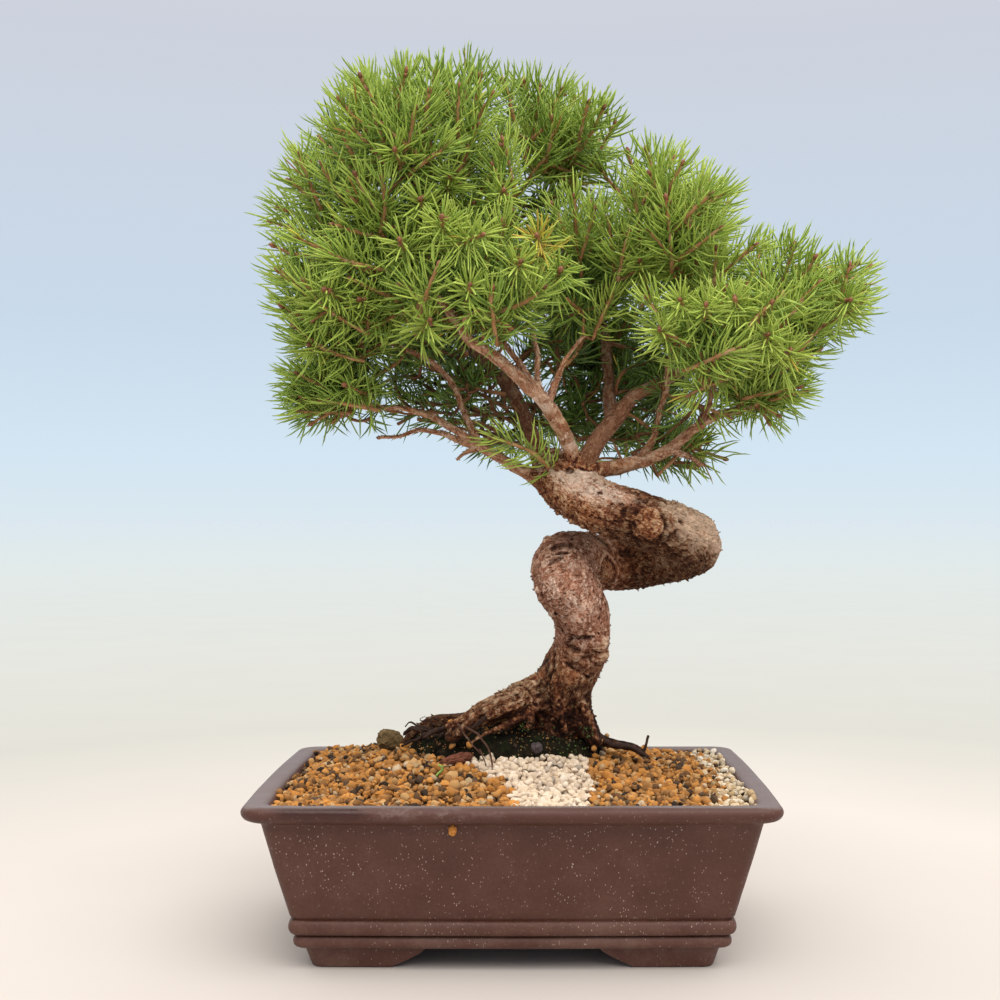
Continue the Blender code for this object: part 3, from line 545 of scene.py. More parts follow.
CERAMIC = ceramic_look()
BARK = bark_look()
TWIG = twig_look()
NEEDLE = needle_look()
BUD = bud_look()
SOIL = soil_look()
OCHRE = grain_look("ochre_grains", [
    (0.0, (0.030, 0.020, 0.014)), (0.10, (0.066, 0.040, 0.025)), (0.16, (0.120, 0.074, 0.043)), (0.26, (0.15, 0.068, 0.026)),
    (0.36, (0.22, 0.105, 0.038)), (0.44, (0.34, 0.160, 0.052)), (0.50, (0.47, 0.200, 0.050)), (0.55, (0.36, 0.180, 0.066)), (0.61, (0.58, 0.240, 0.052)),
    (0.67, (0.50, 0.225, 0.062)), (0.74, (0.68, 0.300, 0.075)), (0.80, (0.50, 0.285, 0.115)), (0.87, (0.62, 0.36, 0.150)), (0.93, (0.42, 0.29, 0.16)), (1.0, (0.66, 0.50, 0.33))], 0.17)
PUMICE = grain_look("pumice_grains", [
    (0.0, (0.24, 0.20, 0.17)), (0.14, (0.46, 0.38, 0.31)), (0.3, (0.70, 0.545, 0.40)), (0.6, (0.82, 0.645, 0.475)), (1.0, (0.90, 0.76, 0.62))], 0.42)
PALE = grain_look("pale_grains", [
    (0.0, (0.16, 0.12, 0.08)), (0.2, (0.42, 0.29, 0.15)), (0.4, (0.60, 0.42, 0.24)), (0.7, (0.74, 0.60, 0.42)), (1.0, (0.86, 0.78, 0.66))], 0.38)
BED = rock_look("bed_between_grains", [(0.3, (0.030, 0.016, 0.008)), (0.55, (0.10, 0.052, 0.022)), (0.8, (0.24, 0.13, 0.055))], 420)
CLAY = rock_look("dry_clay", [(0.3, (0.045, 0.030, 0.014)), (0.52, (0.145, 0.092, 0.040)), (0.66, (0.23, 0.155, 0.070)), (0.85, (0.36, 0.26, 0.14))], 420)
CHUNK = rock_look("red_bark", [(0.3, (0.050, 0.016, 0.010)), (0.5, (0.18, 0.062, 0.036)), (0.7, (0.32, 0.125, 0.075)), (0.9, (0.46, 0.25, 0.18))], 380)
STONE = rock_look("mauve_stone", [(0.3, (0.030, 0.022, 0.023)), (0.5, (0.078, 0.058, 0.060)), (0.75, (0.16, 0.12, 0.12))], 500)
DARK_ROOT = rock_look("dark_roots", [(0.3, (0.010, 0.006, 0.005)), (0.55, (0.045, 0.022, 0.015)), (0.8, (0.14, 0.075, 0.050))], 600, 0.8)
PALE_ROOT = rock_look("pale_roots", [(0.3, (0.030, 0.012, 0.008)), (0.55, (0.105, 0.050, 0.033)), (0.8, (0.30, 0.18, 0.13))], 600, 0.8)
SPROUT = rock_look("green_sprout", [(0.3, (0.16, 0.30, 0.05)), (0.6, (0.33, 0.52, 0.12)), (0.85, (0.50, 0.62, 0.25))], 500, 0.5)
HIDDEN_SOIL = rock_look("growing_mix", [(0.3, (0.05, 0.03, 0.018)), (0.55, (0.15, 0.095, 0.055)), (0.8, (0.32, 0.21, 0.12))], 300)
MESH_PLASTIC = rock_look("black_mesh", [(0.3, (0.018, 0.018, 0.018)), (0.7, (0.045, 0.045, 0.045))], 500, 0.5)
WIRE = rock_look("dull_wire", [(0.3, (0.32, 0.30, 0.27)), (0.7, (0.52, 0.49, 0.45))], 500, 0.4)
WIRE.node_tree.nodes["Principled BSDF"].inputs["Metallic"].default_value = 1.0

# --- pot -----------------------------------------------------------------------
RIM_HALF_X, RIM_HALF_Y, RIM_CORNER, SIDE_BOW = 106.3, 76.0, 8.5, 1.3


def outline(half_x, half_y, radius, bow, corner_steps, side_steps):
    pts = []
    corners = ((1, 1), (-1, 1), (-1, -1), (1, -1))
    for k, (sx, sy) in enumerate(corners):
        cx, cy = sx * (half_x - radius), sy * (half_y - radius)
        for i in range(corner_steps + 1):
            a = math.pi / 2 * (k + i / corner_steps)
            pts.append((cx + radius * math.cos(a), cy + radius * math.sin(a)))
        out = (0, sy) if k % 2 == 0 else (sx, 0)
        nx, ny = corners[(k + 1) % 4]
        ax, ay = pts[-1]
        bx, by = (nx * (half_x - radius), sy * half_y) if k % 2 == 0 else (sx * half_x, ny * (half_y - radius))
        for i in range(1, side_steps + 1):
            t = i / (side_steps + 1)
            b = bow * 4 * t * (1 - t)
            pts.append((ax + (bx - ax) * t + out[0] * b, ay + (by - ay) * t + out[1] * b))
    return np.array(pts)


def pot_ring(inset, bow=SIDE_BOW, radius=None, corner_steps=10, side_steps=14):
    r = max(RIM_CORNER - 0.35 * inset, 4.5) if radius is None else radius
    return outline(RIM_HALF_X - inset, RIM_HALF_Y - inset, r, bow, corner_steps, side_steps)


def inner_inset(z):
    return 7.0 + 6.6 + (61.0 - z) * (10.0 / 38.6)


def bm_loft(rings):
    bm = bmesh.new()
    rows = [[bm.verts.new(p) for p in ring] for ring in rings]
    n = len(rows[0])
    for a, b in zip(rows, rows[1:]):
        for i in range(n):
            j = (i + 1) % n
            bm.faces.new((a[i], a[j], b[j], b[i]))
    bm.faces.new(rows[0][::-1])
    bm.faces.new(rows[-1])
    bmesh.ops.recalc_face_normals(bm, faces=bm.faces)
    me = bpy.data.meshes.new("loft")
    bm.to_mesh(me)
    bm.free()
    return me


def temp(me):
    ob = bpy.data.objects.new("temp", me)
    bpy.context.scene.collection.objects.link(ob)
    return ob


def evaluated(ob):
    bpy.context.view_layer.update()
    return bpy.data.meshes.new_from_object(ob.evaluated_get(bpy.context.evaluated_depsgraph_get()))


def boolean(ob, tool, operation):
    mod = ob.modifiers.new("b", "BOOLEAN")
    mod.operation, mod.solver, mod.object = operation, "EXACT", tool
    me = evaluated(ob)
    ob.modifiers.clear()
    ob.data = me
    bpy.data.objects.remove(tool, do_unlink=True)


def ring3(xy, z):
    return [Vector((x, y, z)) for x, y in xy]


def bead(middle, half, inset, depth=1.7, steps=10):
    return [(middle - half * math.cos(math.pi * i / steps), inset + depth * (1 - math.sin(math.pi * i / steps))) for i in range(steps + 1)]


def rounded(points, per=4):
    p = curve([(a, b, 0.0) for a, b in points], 0.35)
    return [(a, b) for a, b, _ in p]


def build_pot():
    rows = [(9.5, 21.2)] + bead(11.9, 2.5, 18.2) + bead(17.9, 3.0, 16.5) + [(21.6, 17.9), (22.0, 17.3), (22.4, 17.0)]
    rows += [(22.4 + (61.0 - 22.4) * t, 17.0 - 10.0 * t) for t in np.linspace(0.08, 0.96, 14)]
    rows += rounded([(60.6, 7.1), (61.3, 6.7), (62.0, 5.5), (62.5, 3.6), (63.3, 1.7), (64.6, 0.5), (66.1, 0.0), (67.4, 0.25), (68.3, 0.9), (68.85, 2.0),
                     (69.0, 3.2), (68.9, 5.4), (68.8, 7.6), (68.3, 9.3), (67.0, 10.3), (65.4, 11.2), (63.5, 12.3), (61.0, 13.6)])
    rows += [(z, inner_inset(z)) for z in (56.0, 48.0, 40.0, 30.0, 20.0)] + [(17.4, 24.4), (16.5, 26.2)]
    pot = temp(bm_loft([ring3(pot_ring(s), z) for z, s in rows]))
    skirt = temp(bm_loft([ring3(pot_ring(s, 0.6, 5.0), z) for z, s in
                          ((0.0, 25.6), (0.15, 25.1), (0.45, 24.75), (0.9, 24.6), (3.5, 23.8), (6.5, 22.9), (9.5, 22.0), (12.5, 22.0))]))
    inside = temp(bm_loft([ring3(pot_ring(35.1, 0.0, 4.5), z) for z in (-2.0, 14.0)]))
    boolean(skirt, inside, "DIFFERENCE")
    half_x = [(-48.4, -2), (-48.4, 0)] + [tuple(p[:2]) for p in curve([(-48.0, 0.8, 0), (-44.6, 2.4, 0), (-40.6, 4.4, 0), (-36.6, 6.9, 0), (-33.5, 10.0, 0)], 1.0)]
    half_y = [(-29.0, -2), (-29.0, 0)] + [tuple(p[:2]) for p in curve([(-28.7, 0.8, 0), (-25.6, 2.4, 0), (-22.8, 4.4, 0), (-20.2, 6.9, 0), (-18.0, 10.0, 0)], 1.0)]
    for half, axis, reach in ((half_x, 1, 90), (half_y, 0, 120)):
        arch = half + [(-a, z) for a, z in reversed(half)]
        rings = [[Vector((a, t, z)) if axis else Vector((t, a, z)) for a, z in arch] for t in (-reach, reach)]
        boolean(skirt, temp(bm_loft(rings)), "DIFFERENCE")
    boolean(pot, skirt, "UNION")
    for sx in (-1, 1):
        bm = bmesh.new()
        bmesh.ops.create_cone(bm, cap_ends=True, segments=48, radius1=7.5, radius2=7.5, depth=20)
        bmesh.ops.translate(bm, verts=bm.verts, vec=(sx * 45.0, 0, 13))
        me = bpy.data.meshes.new("drain")
        bm.to_mesh(me)
        bm.free()
        boolean(pot, temp(me), "DIFFERENCE")
    me = pot.data
    bm = bmesh.new()
    bm.from_mesh(me)
    bmesh.ops.triangulate(bm, faces=[f for f in bm.faces if len(f.verts) > 4])
    bmesh.ops.remove_doubles(bm, verts=bm.verts, dist=0.03)
    bmesh.ops.dissolve_degenerate(bm, edges=bm.edges, dist=0.03)
    bmesh.ops.recalc_face_normals(bm, faces=bm.faces)
    bm.to_mesh(me)
    bm.free()
    n = len(me.vertices)
    co = np.empty(n * 3, np.float32)
    nor = np.empty(n * 3, np.float32)
    me.vertices.foreach_get("co", co)
    me.vertices.foreach_get("normal", nor)
    co, nor = co.reshape(-1, 3).astype(float), nor.reshape(-1, 3).astype(float)
    # hand finish: the walls and the rim wander a little, and the feet keep their flat soles
    free = step(0.5, 3.0, co[:, 2])
    co += nor * (0.22 * fbm(co / 38.0, 3, 60) + 0.06 * fbm(co / 7.0, 2, 61))[:, None] * free[:, None]
    me.vertices.foreach_set("co", ((co + SHIFT) * MM).astype(np.float32).ravel())
    me.update()
    bpy.data.objects.remove(pot, do_unlink=True)
    piece("pot_body", me, CERAMIC, ("pot",), True, 38)


# --- tree ----------------------------------------------------------------------
# u, v, depth, radius in the front elevation
TRUNK = (
    (550, 772, 19, 17.0), (554, 745, 18, 16.5), (557, 715, 15, 15.4), (562, 690, 10, 13.8), (571, 669, 6, 13.0), (581, 647, 3, 12.2),
    (583, 624, -2, 12.0), (577, 602, -6, 12.7), (565, 582, -7, 13.9), (565, 563, 2, 13.4), (584, 560, 14, 12.6), (610, 564, 22, 12.1),
    (640, 562, 25, 12.0), (668, 557, 21, 12.0), (688, 550, 10, 12.0), (694, 543, -3, 12.0), (684, 535, -14, 12.0), (664, 527, -21, 11.9),
    (636, 518, -24, 11.7), (608, 509, -21, 11.5), (584, 497, -14, 11.6), (565, 483, -6, 11.6), (553, 469, 1, 9.6), (548, 461, 4, 7.5),
)
ROOTS = (
    ((552, 696, 8, 9.0), (529, 697, 2, 7.8), (505, 704, -3, 6.0), (482, 716, -6, 4.6), (464, 727, -8, 3.4), (448, 738, -9, 2.2)),
    ((540, 722, 10, 7.0), (505, 720, 11, 5.0), (470, 721, 14, 4.0), (436, 722, 17, 3.2), (418, 730, 18, 2.6), (402, 745, 19, 1.8)),
    ((566, 704, 10, 8.0), (580, 716, 5, 6.0), (589, 730, 1, 4.6), (597, 743, -2, 2.8)),
    ((580, 726, 12, 5.0), (600, 739, 8, 2.6), (616, 744, 6, 2.2), (632, 747, 4, 2.0), (644, 754, 2, 1.7)),
    ((560, 706, 20, 8.0), (566, 722, 31, 5.6), (572, 737, 38, 3.6)),
)
BRANCHES = (
    ((560, 484, -6, 6.5), (573, 464, -10, 4.8), (563, 432, -16, 4.0), (544, 402, -23, 3.8), (520, 379, -31, 3.2), (494, 356, -39, 2.9), (470, 340, -45, 2.7), (456, 320, -48, 2.3), (438, 297, -50, 1.8)),
    ((546, 404, -23, 2.4), (538, 382, -22, 1.5), (537, 353, -18, 1.3), (533, 330, -14, 1.1), (528, 306, -10, 1.0)),
    ((541, 394, -25, 2.2), (520, 364, -27, 1.5), (504, 344, -26, 1.4), (489, 313, -24, 1.1)),
    ((548, 404, -23, 2.2), (564, 363, -18, 1.3), (584, 336, -12, 1.0)),
    ((548, 482, -2, 6.0), (530, 474, -5, 3.6), (502, 459, -8, 3.0), (477, 445, -8, 2.7), (452, 428, -8, 2.1), (430, 416, -6, 1.9), (403, 408, -4, 1.6), (356, 407, -2, 1.4), (318, 404, 0, 1.0)),
    ((478, 446, -8, 2.4), (459, 440, -8, 1.7), (440, 433, -6, 1.5), (420, 430, -4, 1.2), (398, 437, -2, 1.0), (377, 438, 0, 0.9)),
    ((479, 446, -8, 2.4), (471, 428, -5, 1.8), (459, 401, 0, 1.7), (448, 378, 4, 1.6), (424, 357, 6, 1.5), (390, 343, 6, 1.3), (356, 327, 4, 1.1), (326, 307, 2, 0.9)),
    ((552, 474, 2, 6.5), (536, 448, 9, 4.6), (524, 416, 18, 4.0), (509, 388, 26, 3.4), (485, 362, 31, 2.8), (458, 330, 34, 2.2), (428, 288, 34, 1.6)),
    ((562, 486, 0, 7.0), (582, 466, 7, 5.6), (600, 437, 14, 4.9), (619, 415, 18, 4.5), (632, 398, 20, 3.8), (655, 385, 22, 3.4), (690, 368, 20, 2.8), (735, 350, 14, 2.0), (772, 326, 10, 1.4)),
    ((612, 422, 17, 3.6), (609, 396, 21, 3.0), (608, 360, 27, 2.7), (600, 312, 31, 2.2), (585, 250, 34, 1.8), (570, 190, 36, 1.3)),
    ((574, 487, -8, 5.5), (597, 471, -8, 4.4), (620, 467, -8, 3.8), (645, 460, -8, 3.3), (670, 448, -8, 2.9), (700, 426, -8, 2.4), (722, 413, -8, 2.1), (752, 407, -6, 1.8), (796, 388, -4, 1.2)),
    ((672, 449, -8, 2.0), (690, 458, -2, 1.2), (706, 467, 4, 1.0)),
    ((640, 461, -8, 2.6), (652, 440, 0, 1.8), (661, 412, 4, 1.6), (668, 372, -2, 1.4), (676, 318, -8, 1.2), (682, 262, -8, 1.0)),
    ((700, 424, -8, 2.0), (712, 392, -18, 1.5), (716, 362, -28, 1.2)),
    ((476, 447, -8, 2.2), (468, 452, -10, 1.1), (462, 455, -12, 0.9), (457, 460, -13, 0.7)),
)
# roots that have grown onto the flare and stand proud of it
ROOT_RIDGES = (
    ((548, 671, 3, 1.6), (538, 676, 2, 2.0), (521, 683, 0, 2.1), (505, 694, -3, 2.0), (484, 703, -6, 1.8), (465, 716, -8, 1.5), (446, 727, -9, 1.2)),
    ((536, 681, -3, 1.3), (526, 687, -5, 1.7), (511, 697, -8, 1.8), (494, 703, -10, 1.7), (478, 713, -11.5, 1.5), (464, 726, -12, 1.3), (457, 736, -13, 1.0)),
    ((540, 704, -5, 1.2), (528, 714, -6, 1.7), (511, 723, -7, 1.8), (497, 729, -9, 1.6), (483, 735, -11, 1.3), (470, 744, -13, 1.0)),
    ((534, 692, -5.5, 1.2), (521, 701, -8, 1.5), (507, 709, -10, 1.5), (491, 716, -11, 1.4), (476, 728, -11.5, 1.2)),
    ((531, 690, -6, 1.0), (535, 702, -6, 1.4), (532, 716, -6.5, 1.4), (527, 730, -8, 1.1)),
    ((574, 690, -1, 1.2), (582, 703, -2, 1.7), (589, 718, -3, 1.7), (594, 732, -5, 1.4), (599, 743, -6, 1.0)),
    ((562, 693, -3, 1.0), (560, 706, -2, 1.5), (563, 720, -2, 1.4), (567, 734, -4, 1.0)),
)
THICK = 3.0  # bars above this radius are grown into one skin


def limb(rows, step_mm=2.0):
    return curve([(*fp(u, v, d), r) for u, v, d, r in rows], step_mm)


trunk_line = limb(TRUNK)
root_lines = [limb(r) for r in ROOTS]
branch_lines = [limb(b) for b in BRANCHES]
for line, share in zip(branch_lines, (0.84, 0.95, 0.95, 0.85, 0.74, 0.9, 0.84, 0.94, 0.86, 0.90, 0.86, 0.9, 0.9, 0.9, 0.9)):
    run = np.concatenate(([0.0], np.cumsum(np.linalg.norm(np.diff(line[:, :3], axis=0), axis=1))))
    line[:, 3] *= 1 - (1 - share) * step(5.0, 18.0, run)


def capped(line, sides):
    """A closed bar with round ends."""
    p, r = line[:, :3], line[:, 3].copy()
    t0, t1 = unit(p[0] - p[1]), unit(p[-1] - p[-2])
    p = np.vstack((p[0] + t0 * r[0] * 0.55, p[0] + t0 * r[0] * 0.3, p, p[-1] + t1 * r[-1] * 0.3, p[-1] + t1 * r[-1] * 0.55))
    r = np.concatenate(([r[0] * 0.45, r[0] * 0.8], r, [r[-1] * 0.8, r[-1] * 0.45]))
    return sweep(p, r, sides)


def tree_skin():
    """Trunk, roots and thick limbs as one skin with a modelled bark."""
    bag = Bag()
    lines = [trunk_line] + root_lines + [b for b in branch_lines]
    spans = []
    for k, line in enumerate(lines):
        use = line if k <= len(ROOTS) else line[line[:, 3] >= THICK - 0.2]
        if len(use) < 3:
            continue
        spans.append((k, use))
        bag.add(*capped(use, 28 if k == 0 else 16))
    for rows in ROOT_RIDGES:
        bag.add(*capped(limb(rows, 1.2), 10))
    v, q, t, _ = bag.arrays()
    me, _ = raw_mesh("skin", v, q, t, place=False)
    ob = temp(me)
    mod = ob.modifiers.new("v", "REMESH")
    mod.mode, mod.voxel_size = "VOXEL", 0.66
    me = evaluated(ob)
    bpy.data.objects.remove(ob, do_unlink=True)
    n = len(me.vertices)
    co = np.empty(n * 3, np.float32)
    me.vertices.foreach_get("co", co)
    co = co.reshape(-1, 3).astype(float)
    edges = np.empty(len(me.edges) * 2, np.int32)
    me.edges.foreach_get("vertices", edges)
    edges = edges.reshape(-1, 2)
    count = np.bincount(edges.ravel(), minlength=n)[:, None]

    def relax(c, times, share):
        for _ in range(times):
            acc = np.zeros_like(c)
            for axis in range(3):
                acc[:, axis] = np.bincount(edges[:, 0], c[edges[:, 1], axis], n) + np.bincount(edges[:, 1], c[edges[:, 0], axis], n)
            c = c + (acc / np.maximum(count, 1) - c) * share
        return c

    co = relax(co, 14, 0.6)
    me.vertices.foreach_set("co", co.astype(np.float32).ravel())
    me.update()
    nor = np.empty(n * 3, np.float32)
    me.vertices.foreach_get("normal", nor)
    nor = nor.reshape(-1, 3).astype(float)

    # nearest point of the centre lines gives a place along and around each limb
    cen, rad, tan, sid, bin_, along, which = [], [], [], [], [], [], []
    for k, use in spans:
        tn, nn, bb = frames(use[:, :3])
        s = np.concatenate(([0.0], np.cumsum(np.linalg.norm(np.diff(use[:, :3], axis=0), axis=1))))
        cen.append(use[:, :3]); rad.append(use[:, 3]); tan.append(tn); sid.append(nn); bin_.append(bb); along.append(s)
        which.append(np.full(len(use), k))
    cen, rad, tan, sid, bin_, along, which = map(np.concatenate, (cen, rad, tan, sid, bin_, along, which))
    tree = KDTree(len(cen))
    for i, c in enumerate(cen):
        tree.insert(c, i)
    tree.balance()
    near = np.empty(n, int)
    for i in range(n):
        best, pick = 1e9, 0
        for _, j, d in tree.find_n(co[i], 10):
            if d - rad[j] < best:
                best, pick = d - rad[j], j
        near[i] = pick
    off = co - cen[near]
    s = along[near] + np.einsum("ij,ij->i", off, tan[near])
    ang = np.arctan2(np.einsum("ij,ij->i", off, bin_[near]), np.einsum("ij,ij->i", off, sid[near]))
    wid = which[near].astype(float)
    R0 = np.clip(rad[near], 3.0, 14.0)
    bark = np.stack((s + wid * 71.0, np.cos(ang) * R0, np.sin(ang) * R0), 1)
    is_trunk = which[near] == 0
    low = is_trunk & (s < 128)
    lower = np.where(is_trunk, step(150, 118, s), 0.0)  # the upright first stretch
    foot = np.where(is_trunk, step(48, 22, s), np.where(which[near] <= len(ROOTS), 1.0, 0.0))
    coil = np.where(is_trunk, step(230, 262, s), 0.0)
    back = np.where(is_trunk, step(135, 150, s) * step(250, 232, s), 0.0)

    # height of the bark in mm
    down = np.where(is_trunk, step(-0.10, -0.75, nor[:, 2]), 0.0)
    h = 1.10 * fbm(co / 16.0, 3, 1) + 0.80 * fbm(co / 6.5, 3, 5)
    strand = fbm(bark * np.array((1 / 11.0, 1 / 2.6, 1 / 2.6)) + 0.6 * fbm(co / 5.0, 2, 26)[:, None], 4, 11)
    furrow = 1 - step(0.0, 0.10, np.abs(fbm(bark * np.array((1 / 13.0, 1 / 4.2, 1 / 4.2)) + 0.9 * fbm(co / 5.0, 2, 27)[:, None], 3, 21)))
    furrow = furrow * step(0.0, 0.28, fbm(co / 8.0, 2, 28))
    warp = 0.9 * fbm(co / 3.0, 3, 25)[:, None]
    f1, f2, own = cells(bark * np.array((1 / 4.6, 1 / 2.8, 1 / 2.8)) + warp, 31)
    seam = (1 - step(0.02, 0.16, f2 - f1)) * step(0.0, 0.3, fbm(co / 5.0, 2, 29))
    g1, g2, own2 = cells(bark * np.array((1 / 2.6, 1 / 1.7, 1 / 1.7)) + warp * 1.3, 34)
    seam2 = 1 - step(0.02, 0.20, g2 - g1)
    wrinkle = fbm(bark * np.array((1 / 1.6, 1 / 4.0, 1 / 4.0)) + 1.1 * fbm(co / 3.5, 2, 44)[:, None], 3, 41)
    dash = step(0.22, 0.36, wrinkle)
    crumb = fbm(co / 1.7, 2, 47)
    long_w = np.clip(1.0 - 0.85 * lower * (1 - foot), 0, 1)
    trunk_tree, front_tree = KDTree(len(trunk_line)), KDTree(len(spans[1 + len(ROOTS)][1]))
    for line_tree, rows in ((trunk_tree, trunk_line), (front_tree, spans[1 + len(ROOTS)][1])):
        for i, row in enumerate(rows):
            line_tree.insert(row[:3], i)
        line_tree.balance()
    from_trunk, from_front = np.zeros(n), np.full(n, 9.0)
    for i in np.flatnonzero(which[near] > len(ROOTS)):
        _, j, dist = trunk_tree.find(co[i])
        from_trunk[i] = dist - trunk_line[j, 3]
        _, j, dist = front_tree.find(co[i])
        from_front[i] = dist - spans[1 + len(ROOTS)][1][j, 3]
    calm = step(0.5, 8.0, from_trunk)
    swell = np.clip(np.linalg.norm(off, axis=1) - rad[near], 0, 1.1) * calm
    thin = np.clip(R0 / 9.0, 0.35, 1.0)
    h += thin * (0.80 * strand - 0.26 * furrow) * long_w
    h += thin * (own * 0.26 - seam * 0.18 + own2 * 0.17 - seam2 * 0.14) * (0.30 + 0.70 * long_w)
    h += 0.50 * crumb * thin * (0.60 + 0.40 * long_w)
    h += 1.1 * down * np.clip(fbm(co / 2.2, 2, 48), 0, 1)
    h += (0.42 * wrinkle - 0.34 * dash) * lower
    gnarl = 0.30 - np.abs(fbm(bark * np.array((1 / 17.0, 1 / 4.6, 1 / 4.6)) + 0.6 * fbm(co / 6.0, 2, 78)[:, None], 3, 77))
    h += 2.4 * gnarl * foot
    dark = np.clip(0.30 * furrow * long_w + 0.20 * dash * lower + 0.18 * seam * long_w + 0.10 * seam2 * long_w, 0, 1)
    tint = np.clip(0.28 + 0.58 * lower * (1 - foot) + 0.35 * fbm(co / 9.0, 3, 55), 0, 1)
    # tops of the coil are smoother and pinkish, its sides shaggy and warm; further down these up-facing tops also get
    # painted light, a much lighter tone
    top = step(0.15, 0.75, nor[:, 2] * 0.8 - nor[:, 1] * 0.35)
    trunk_end = s[is_trunk].max()
    smooth_lit_top = coil * top * step(trunk_end - 3.0, trunk_end - 20.0, s)
    tint = np.clip(tint + 0.62 * smooth_lit_top - 0.20 * coil * (1 - top), 0, 1)
    h *= 1 - 0.30 * smooth_lit_top
    # painted shade: trunk bark that faces down is darkened
    dark = dark + 0.34 * down
    # dark lichen spots on the rear stretch, and painted shade that darkens and reddens the whole rear stretch, which
    # lies under the coil
    lichen = step(0.05, 0.3, fbm(co / 4.5, 3, 65)) * back
    dark = np.clip(dark + 0.48 * lichen + 0.56 * back, 0, 0.96)
    tint = tint * (1 - 0.7 * back)
    # the foot is brown between its ridges, and black lowest down
    base_zone = np.where(is_trunk, step(76, 48, s), np.where(which[near] <= len(ROOTS), 1.0, 0.0))
    dark = np.clip(dark + 0.55 * foot * step(0.16, -0.02, gnarl), 0, 0.97)
    ridge = step(-0.25, 0.35, strand + 0.5 * fbm(co / 6.0, 2, 79))
    tint = tint * (1 - 0.85 * base_zone)
    dark = np.clip(dark + base_zone * (0.62 - 0.38 * ridge) + 0.25 * np.where((which[near] > 0) & (which[near] <= len(ROOTS)), 1.0, 0.0), 0, 0.95)
    stain = step(104.0, 87.0, co[:, 2] + 6 * fbm(co / 7.0, 3, 71))
    dark = np.clip(dark + 0.90 * stain * (0.60 + 0.40 * step(-0.2, 0.3, fbm(co / 3.0, 3, 75))), 0, 0.97)
    # limbs at the back of the crown stand in shade: painted shade darkens their bark
    shade = np.isin(which[near], (13, 15)) * step(8.0, 26.0, s)
    dark = np.clip(dark * (1 - 0.7 * calm * (1 - shade)) + 0.62 * shade, 0, 0.97)
    front_limb = step(1.6, 0.5, from_front) * calm
    tint = np.clip(tint * (1 - 0.5 * calm) + (0.40 + 0.42 * front_limb) * calm, 0, 1)
    tone = np.zeros(n)
    # the right turn of the coil has golden-tan bark with painted light on it: paler and less dark where its faces don't
    # point down
    turn_x = fp(672, 540, -5)[0]
    drift = fbm(co / 7.0, 3, 214)
    golden_lit_turn = is_trunk * step(turn_x - 13, turn_x + 4, co[:, 0] + 8.0 * drift) * step(26.0, 2.0, co[:, 1] + 14.0 * drift) * step(-0.98, -0.10, nor[:, 2] + 0.5 * drift)
    # painted light lifts the tone on the coil's up-facing tops and on its right turn; painted shade lowers it on the
    # back limbs
    tone += 1.0 * golden_lit_turn + 0.84 * smooth_lit_top + 0.44 * front_limb - 0.10 * shade + 0.10 * lower * (1 - foot)
    tint = np.clip(tint + 0.42 * golden_lit_turn, 0, 1)
    dark = dark * (1 - 0.75 * golden_lit_turn)

    ridge_points = np.vstack([limb(rows, 1.2) for rows in ROOT_RIDGES])
    ridge_tree = KDTree(len(ridge_points))
    for i, row in enumerate(ridge_points):
        ridge_tree.insert(row[:3], i)
    ridge_tree.balance()
    away = np.full(n, 50.0)
    for i in np.flatnonzero((co[:, 2] < 135) & (co[:, 1] < 20)):
        _, j, dist = ridge_tree.find(co[i])
        away[i] = dist - ridge_points[j, 3]
    on_ridge = step(1.5, 0.3, away + 0.5 * fbm(co / 3.0, 2, 211))
    # painted shade in a band beside each root ridge, and painted light on the ridge crowns that face up
    ridge_side_shade = step(1.2, 2.0, away) * step(6.0, 3.4, away)
    ridge_top_light = step(0.25, -0.25, away) * step(0.0, 0.7, nor[:, 2] + 0.35)
    tone += 0.02 * on_ridge + 0.12 * ridge_top_light * on_ridge - 0.12 * ridge_side_shade
    tint = np.clip(tint * (1 - 0.5 * on_ridge) + 0.16 * on_ridge, 0, 1)
    dark = np.clip(dark * (1 - 0.45 * on_ridge) + 0.34 * ridge_side_shade, 0, 0.97)
    ragged_z = co[:, 2] + 5.0 * fbm(co / 7.0, 3, 212)
    right_foot = step(fp(486, 720, 0)[0], fp(516, 720, 0)[0], co[:, 0])
    # the front of the foot is darker towards the bottom, most on its right side; higher up the foot is lighter
    low_darkening = step(101.0, 90.0, ragged_z - 4.0 * right_foot) * (co[:, 1] < 30)
    tone += 0.30 * foot * step(96.0, 105.0, ragged_z) - 0.36 * low_darkening * right_foot
    # painted shade on the lower left of the foot
    left_flank_shade = step(112.0, 100.0, ragged_z) * step(fp(560, 700, 0)[0], fp(528, 700, 0)[0], co[:, 0])
    dark = np.clip(np.maximum(dark, (0.78 + 0.15 * right_foot) * low_darkening * (1 - 0.45 * ridge_top_light * on_ridge)) + 0.22 * left_flank_shade * (1 - 0.6 * on_ridge), 0, 0.96)

    # marks and growths seen from the front
    me.vertices.foreach_set("co", co.astype(np.float32).ravel())
    me.update()
    bvh = BVHTree.FromPolygons([tuple(c) for c in co], [tuple(p.vertices) for p in me.polygons])

    def local(u, v, turn=0.0):
        d = unit(fp(u, v, 0.0) - EYE)
        hit, nrm, _, _ = bvh.ray_cast(Vector(EYE), Vector(d))
        if hit is None:
            hit, nrm, _, _ = bvh.find_nearest(Vector(fp(u, v, -2.0)))
        hit, nrm = np.array(hit), np.array(nrm)
        if nrm.dot(d) > 0.5:
            nrm = -nrm
        e1 = unit(np.array((1.0, 0, 0)) - nrm * nrm[0])
        e2 = np.cross(nrm, e1)
        if e2[2] < 0:
            e2 = -e2
        c, s_ = math.cos(turn), math.sin(turn)
        e1, e2 = e1 * c + e2 * s_, -e1 * s_ + e2 * c
        dlt = co - hit
        return dlt @ e1, dlt @ e2, dlt @ nrm, dlt

